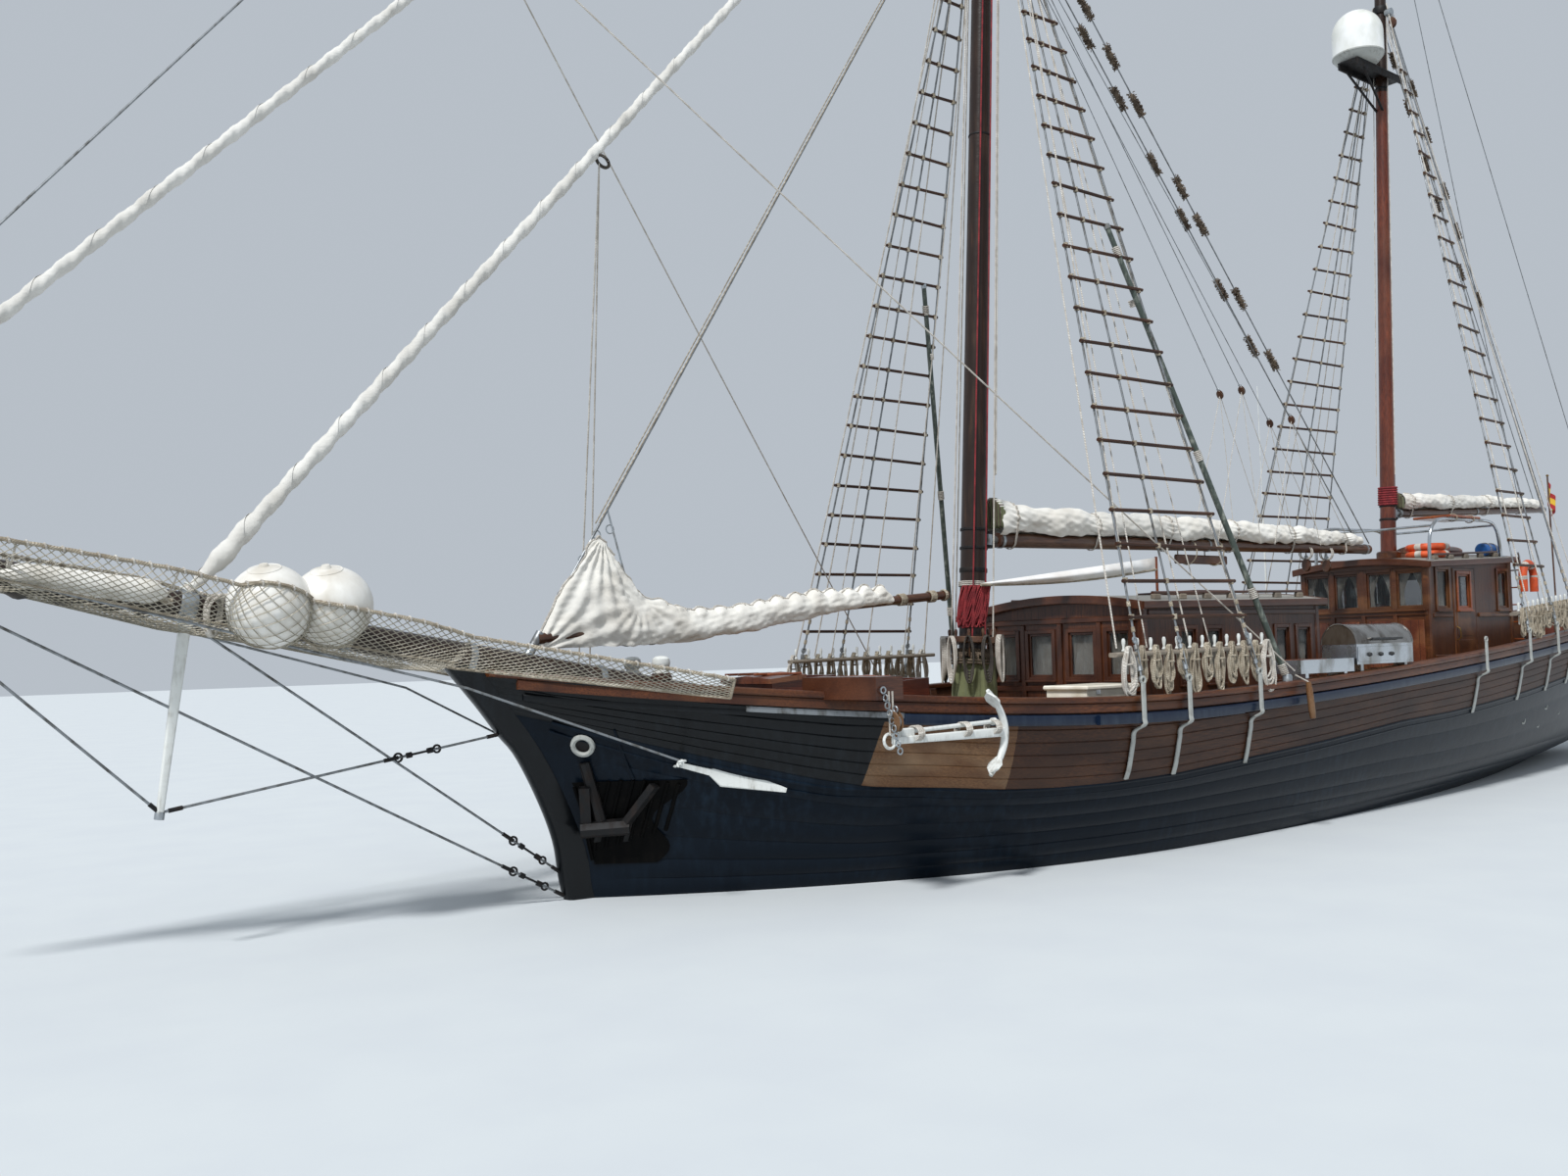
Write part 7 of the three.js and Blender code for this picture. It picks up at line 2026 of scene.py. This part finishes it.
def makeRailGear():
    (x0, x1), (y0, y1), rim, low = (barbecue[key] for key in ("ends", "sides", "rim", "foot"))
    shape = Shape()
    middle, half = (y0 + y1) / 2, (y1 - y0) / 2
    turns = np.linspace(0, pi, 33)

    def arch(x, thick=0.0):
        radius, height = half - thick, barbecue["domeHeight"] - thick
        return [(x, middle + radius * cos(t), rim + 0.004 + height * sin(t)) for t in turns]

    for thick, flip in ((0.0, 1), (0.008, -1)):
        addGrid(shape, np.array([arch(x, thick) for x in np.linspace(x0, x1, 9)])[::flip])
    for x in (x0, x1):
        shape.add(arch(x) + [(x, middle, rim + 0.004)], [[place, place + 1, 33] for place in range(32)], 1)
        addTube(shape, arch(x), 0.008, 8, 0)
    addTube(shape, [(x0, y1, rim + 0.008), (x1, y1, rim + 0.008)], 0.008, 8, 0)
    addTube(shape, [(x0 + 0.3, y1 + 0.03, rim + 0.06), (x1 - 0.3, y1 + 0.03, rim + 0.06)], 0.013, 12, 2)
    for x in (x0 + 0.32, x1 - 0.32):
        addTube(shape, [(x, y1 + 0.03, rim + 0.06), (x, y1 - 0.03, rim + 0.07)], 0.008, 8, 0)
    for x in (x0 + 0.12, x1 - 0.12):
        addBlock(shape, (x + 0.032, y0 - 0.024, rim + 0.004), (x + 0.06, y0 + 0.03, rim + 0.032), 0.003, 0)
    addPiece("barbecueDome", shape, "smoked scorched blackRubber", body="barbecue_lid",
        stands=["barbecue_lid"])
    trim = Shape()
    # heat-tinted plate on the aft end only: painted shade, so that end, turned from the sun, is drawn darker
    # than the fore end
    addBlock(trim, (x0 - 0.004, y0 + 0.03, low + 0.17), (x0 + 0.004, y1 - 0.03, rim - 0.03), 0.003, 1)
    addBlock(trim, (x0 + 0.02, y1 + 0.001, low + 0.19), (x1 - 0.02, y1 + 0.008, rim - 0.03), 0.003, 0)
    for x in (0.0, 0.25, 0.5):
        knob = [(0.001, 0), (0.024, 0), (0.026, 0.006), (0.018, 0.03), (0.001, 0.032)]
        addLathe(trim, knob, (x, y1 + 0.006, low + 0.27), (0, 1, 0), 18, 2)
    for x in np.linspace(0.95, 1.85, 6):  # bait tray's rods and a chopping board
        addTube(trim, [(x, 2.24, 1.845), (x, 2.55, 1.845)], 0.006, 8, 0)
    addBlock(trim, (1.35, 2.25, 1.853), (1.82, 2.54, 1.875), 0.006, 3)
    addPiece("barbecueTrim", trim, "stainless scorched blackRubber hatchWood")
    bigLocker = Shape()
    addBlock(bigLocker, (4.3, 1.67, 1.665), (5.12, 2.23, 1.71), 0.018, 0)
    for x in (4.5, 4.92):
        addBlock(bigLocker, (x - 0.03, 2.198, 1.62), (x + 0.03, 2.208, 1.69), 0.003, 1)
    addPiece("lockerLid", bigLocker, "locker stainless")


poles = {"footX": 2.09, "footY": 2.49, "head": (3.5, 1.43, 6.67), "radii": (0.034, 0.029)}


def makePoles():
    for title, side in (("Port", 1), ("Starboard", -1)):
        shape = Shape()
        foot = np.array([poles["footX"], side * poles["footY"], sheer(poles["footX"]) + 0.012])
        head = np.array(poles["head"]) * (1, side, 1)
        addTube(shape, between(foot, head, 30), np.linspace(*poles["radii"], 30), 20, 0)
        axis = unit(head - foot)
        for far in (0.02, 0.9, 2.5, 4.9):
            for turn in range(6):
                addRing(shape, foot + axis * (far + 0.02 * turn + 0.05), axis, 0.037, 0.008, 1, 18)
        addLathe(shape, [(0.001, -0.1), (0.046, -0.1), (0.052, -0.08), (0.052, 0.04), (0.04, 0.06),
            (0.001, 0.06)], foot, (0, 0, 1), 22, 2)
        addLathe(shape, [(0.001, 0), (0.035, 0), (0.035, 0.05), (0.015, 0.06), (0.001, 0.06)],
            head - axis * 0.03, axis, 20, 2)
        lash = foot + (head - foot) * 0.825
        for turn in range(4):
            start = lash + axis * 0.02 * turn
            addTube(shape, [start, start + (0.02, -side * 0.09, -0.01)], 0.01, 6, 1)
        addPiece(f"boatPole{title}", shape, "poleGreen whiteRope galvanised",
            stands=[f"boat_boom_{title.lower()}"])


helm = {"centre": (-4.4125, 0, 2.25), "radius": 0.34, "spokes": 6}


def makeHelmWheel():
    shape = Shape()
    centre, radius = np.array(helm["centre"]), helm["radius"]
    angles = np.linspace(0, 2 * pi, 57)
    rim = [centre + (0, radius * cos(a), radius * sin(a)) for a in angles]
    out = np.array([(0, cos(a), sin(a)) for a in angles])
    addSweep(shape, rim, roundedBox(0.04, 0.046, 0.012), 0, (1, 0, 0), out, False)
    addLathe(shape, [(0.001, -0.045), (0.05, -0.045), (0.058, -0.03), (0.058, 0.02), (0.04, 0.035),
        (0.001, 0.04)], centre, (1, 0, 0), 28, 1)
    profile = [(0.012, 0.04), (0.016, 0.1), (0.011, 0.14), (0.019, 0.2), (0.013, 0.27), (0.016, 0.31),
        (0.016, 0.37), (0.01, 0.385), (0.017, 0.42), (0.015, 0.445), (0.001, 0.452)]
    for angle in np.arange(helm["spokes"]) * 2 * pi / helm["spokes"]:
        addLathe(shape, profile, centre, (0, cos(angle), sin(angle)), 12, 0)
    addPiece("helmWheelTurned", shape, "mahogany bronze", body="helm_wheel",
        stands=["helm_wheel"])


radome = {"foot": (-4.77, 0, 11.05), "radius": 0.378}
ensign = {"fold": 0.055, "out": 0.2, "drop": 0.36}
roofArch = {"y": 0.9, "radius": 0.025, "brace": 0.019, "feet": (-4.4, -6.72)}
buoys = {"radius": 0.26, "thickness": 0.055, "places": ((0.055, -4.78, 0.48), (0.165, -4.86, 0.44))}
ladder = {"sides": (0.8, 1.1), "stepEvery": 0.27}


def makeRoofGear():
    shape = Shape()
    corners = [(-4.4, 3.2), (-4.44, 3.55), (-4.58, 3.75), (-4.85, 3.83), (-5.6, 3.845), (-6.3, 3.85),
        (-6.55, 3.76), (-6.66, 3.55), (-6.72, 3.2)]
    for side in (1, -1):
        y = side * roofArch["y"]
        addTube(shape, smoothPath([(x, y, z) for x, z in corners], 8), roofArch["radius"], 14, 0)
        for x in roofArch["feet"]:
            addLathe(shape, [(0.001, 0), (0.06, 0), (0.06, 0.012), (0.03, 0.02), (0.001, 0.02)],
                (x, y, roofTop(houses["wheelhouse"], x, roofArch["y"]) - 0.004), (0, 0, 1), 20, 0)
    for x, z in ((-4.56, 3.725), (-6.45, 3.79)):
        addTube(shape, [(x, -roofArch["y"], z), (x, roofArch["y"], z)], roofArch["brace"], 12, 0)
    addPiece("roofArchTubes", shape, "stainless", stands=["roof_arch"])
    gear = Shape()
    wheelhouse = houses["wheelhouse"]
    addBlock(gear, (-6.02, 0.35, 3.868), (-5.05, 0.62, 3.905), 0.01, 0)  # board lashed on the arch
    addBlock(gear, (-6.02, 0.62, 3.868), (-5.05, 0.93, 3.905), 0.01, 0)
    for x in (-5.25, -5.8):
        addRing(gear, (x, 0.86, 3.868), (1, 0, 0), 0.075, 0.008, 4, 16, 0.75)
    z = roofTop(wheelhouse, -6.0, 0)
    rows = []
    curve = np.linspace(0, pi, 17)
    for t in curve:  # crowned hatch on the roof
        rows.append([(x, 0.1 + 0.36 * cos(t), z + 0.07 + 0.11 * sin(t)) for x in (-6.38, -5.62)])
    addGrid(gear, rows, 1)
    addBlock(gear, (-6.38, -0.26, z - 0.06), (-5.62, 0.46, z + 0.072), 0.01, 1)
    for x in (-6.385, -5.615):
        arc = [(x, 0.1 + 0.36 * cos(t), z + 0.07 + 0.11 * sin(t)) for t in curve]
        gear.add(arc + [(x, 0.1, z + 0.07)], [[place, place + 1, 17] for place in range(16)], 1)
    radius, thickness = buoys["radius"], buoys["thickness"]
    for lift, x, y in buoys["places"]:  # ring buoys stacked on the roof
        base = roofTop(wheelhouse, x, y) + lift

        def ringBuoy(angles):
            return [(x - 0.42 + radius * cos(a), y + radius * sin(a), base) for a in angles]

        addTube(gear, ringBuoy(np.linspace(0, 2 * pi, 49)), thickness, 16, 2, capped=False)
        for quarter in range(4):
            bandAngles = np.linspace(-0.16, 0.16, 6) + quarter * pi / 2
            addTube(gear, ringBuoy(bandAngles), thickness + 0.0025, 16, 3)
    z = roofTop(wheelhouse, -6.5, 0.75)
    profile = [(0.001, 0), (0.09, 0), (0.105, 0.02), (0.105, 0.12), (0.109, 0.13), (0.105, 0.14),
        (0.105, 0.27), (0.109, 0.28), (0.105, 0.29), (0.105, 0.39), (0.09, 0.41), (0.001, 0.41)]
    addLathe(gear, profile, (-6.8, 0.74, z + 0.1), (1, 0, 0), 28, 5)
    for x in (-6.7, -6.5):
        addRing(gear, (x, 0.74, z + 0.1), (1, 0, 0), 0.11, 0.006, 4, 22)
    # ladder behind the wheelhouse with a horseshoe buoy
    foot = deckLevel.height(-6.9) + 0.02
    for y in ladder["sides"]:
        addTube(gear, [(-6.93, y, foot), (-6.88, y, 3.3), (-6.84, y, 3.36)], 0.017, 10, 6)
    for z in np.arange(foot + 0.25, 3.2, ladder["stepEvery"]):
        addBar(gear, *[(-6.9, y, z) for y in ladder["sides"]], 0.05, 0.02, 0.004, 0)
    arc = np.linspace(-0.25, pi + 0.25, 28)
    shoe = [(-6.95 + 0.19 * cos(a), 1.19, 2.98 + 0.2 * sin(a)) for a in arc]
    shoe = smoothPath([(shoe[0][0], 1.19, 2.74), *shoe, (shoe[-1][0], 1.19, 2.74)], 2)
    addTube(gear, shoe, 0.062, 14, 2)
    for share in (0.08, 0.36, 0.64, 0.92):  # white bands round the horseshoe buoy
        at = int(share * (len(shoe) - 1))
        addTube(gear, shoe[max(at - 2, 0):at + 3], 0.0635, 14, 3)
    for z in (2.8, 3.02):
        addTube(gear, [(-6.91, 1.1, z), (-6.93, 1.14, z)], 0.012, 8, 4)
    addPiece("roofGear", gear, "redBoard hatchWood orangeBuoy whiteRope hemp blueDrum stainless")
    dome = Shape()
    foot, radius = np.array(radome["foot"]), radome["radius"]
    rim = [(0.001, 0.0), (0.27, 0.0), (0.3, 0.02), (0.365, 0.1), (radius, 0.125)]
    curve = np.linspace(0.05, pi / 2 - 0.01, 20)
    crown = [(radius * cos(t), 0.47 + 0.38 * sin(t)) for t in curve]
    addLathe(dome, [rim[-1], (radius, 0.47), *crown], foot, (0, 0, 1), 64, 0)
    addLathe(dome, rim, foot, (0, 0, 1), 64, 1)
    addLathe(dome, [(0.376, 0.115), (0.3815, 0.12), (0.3815, 0.14), (0.376, 0.145)], foot, (0, 0, 1), 64, 1)
    for way in (-1, 1):
        addLathe(dome, disc(0.045, 0.03, 0.02), foot + (0.15 * way, 0.1, -0.002), (0, 0, 1), 16, 1)
    addPiece("radomeShell", dome, "radome greyStrap", stands=["radome"])
    mast = Shape()
    for low, high, radius, sides in ((2.1, 4.3, 0.016, 12), (4.3, 6.45, 0.006, 8), (4.24, 4.34, 0.022, 12)):
        addTube(mast, [(-5.4, -2.42, low), (-5.4, -2.42, high)], radius, sides, 0)
    staff = between((-12.1, -0.52, 2.5), (-12.02, -0.52, 5.05), 6)
    addTube(mast, staff, 0.016, 12, 1)
    addLathe(mast, [(0.001, 0), (0.026, 0.01), (0.026, 0.03), (0.001, 0.045)], staff[-1], (0, 0, 1), 16, 2)
    addPiece("antennaAndStaff", mast, "whitePaint boomVarnish bronze")
    rows = []
    for drop in np.linspace(0, 1, 14):
        row = []
        for out in np.linspace(0, 1, 22):
            sway = ensign["fold"] * sin(out * 9 + drop * 2.0) * min(1, out * 3)
            z = 4.98 - ensign["drop"] * drop - 0.34 * out ** 0.9
            row.append((-12.03 - ensign["out"] * out, -0.52 + sway, z))
        rows.append(row)
    cloth = Shape()
    addGrid(cloth, rows, np.repeat([0] * 4 + [1] * 5 + [0] * 4, 21))
    flag = addPiece("ensign", cloth, "redFlag yellowFlag", smooth=60)


awning = {"fore": (4.42, 0.24, 2.8), "aft": (1.25, 0.24, 3.02), "sag": 0.05, "belly": 0.1, "width": 0.3}


def makeAwning():
    fore, aft = np.array(awning["fore"]), np.array(awning["aft"])
    share = np.linspace(0, 1, 60)
    lower = fore + (aft - fore) * share[:, None]
    lower[:, 2] -= awning["sag"] * np.sin(share * pi)
    upper = fore + (0, 0, 0.02) + (aft - fore + (0, 0, 0.13)) * share[:, None]
    across = np.linspace(0, 1, 9)[None, :, None]
    points = lower[:, None] * (1 - across) + upper[:, None] * across
    points[..., 1] += awning["belly"] * np.sin(across[..., 0] * 3.1) * np.sin(share * pi)[:, None]
    points[..., 1] += 0.008 * creases(points, 0.3, 31)
    shape = Shape()
    addGrid(shape, points)
    cloth = addPiece("awningCloth", shape, "awningCloth", smooth=70)
    gear = Shape()
    addTube(gear, lower, 0.017, 10, 0)
    x, y = awning["aft"][:2]
    z = roofTop(houses["saloon"], x, y)
    addTube(gear, [(x, y, z - 0.01), (x, y, 3.18)], 0.018, 12, 1)
    addLathe(gear, [(0.001, 0), (0.05, 0), (0.05, 0.012), (0.001, 0.014)], (x, y, z - 0.004), (0, 0, 1), 20,
        2)
    for turn in range(3):
        place = mastAt("main", 2.8 + 0.02 * turn)
        addRing(gear, place, (-0.07, 0, 1), mastRadius("main", 2.8) + 0.01, 0.009, 3, 28)
    addTube(gear, [mastAt("main", 2.8, 0.16), fore], 0.009, 6, 3)
    trim = addPiece("awningEdge", gear, "hemp redBoard galvanised whiteRope")
    board = Shape()
    # varnished board slung below the boom
    addBlock(board, (-0.62, -0.025, 3.125), (0.52, 0.025, 3.245), 0.02, 0)
    for x in (-0.35, 0.25):
        addRing(board, (x, 0, 3.285), (1, 0, 0), 0.15, 0.009, 1, 22, 1.12)
    addPiece("boomBoard", board, "orangeVarnish hemp", body="main_boom")


makeRoofs()
makeHouseTrim()
makeDoors()
makeDeckGear()
makeAnchors()
makeRailGear()
makePoles()
makeHelmWheel()
makeRoofGear()
makeAwning()
print("deckhouses and gear made")
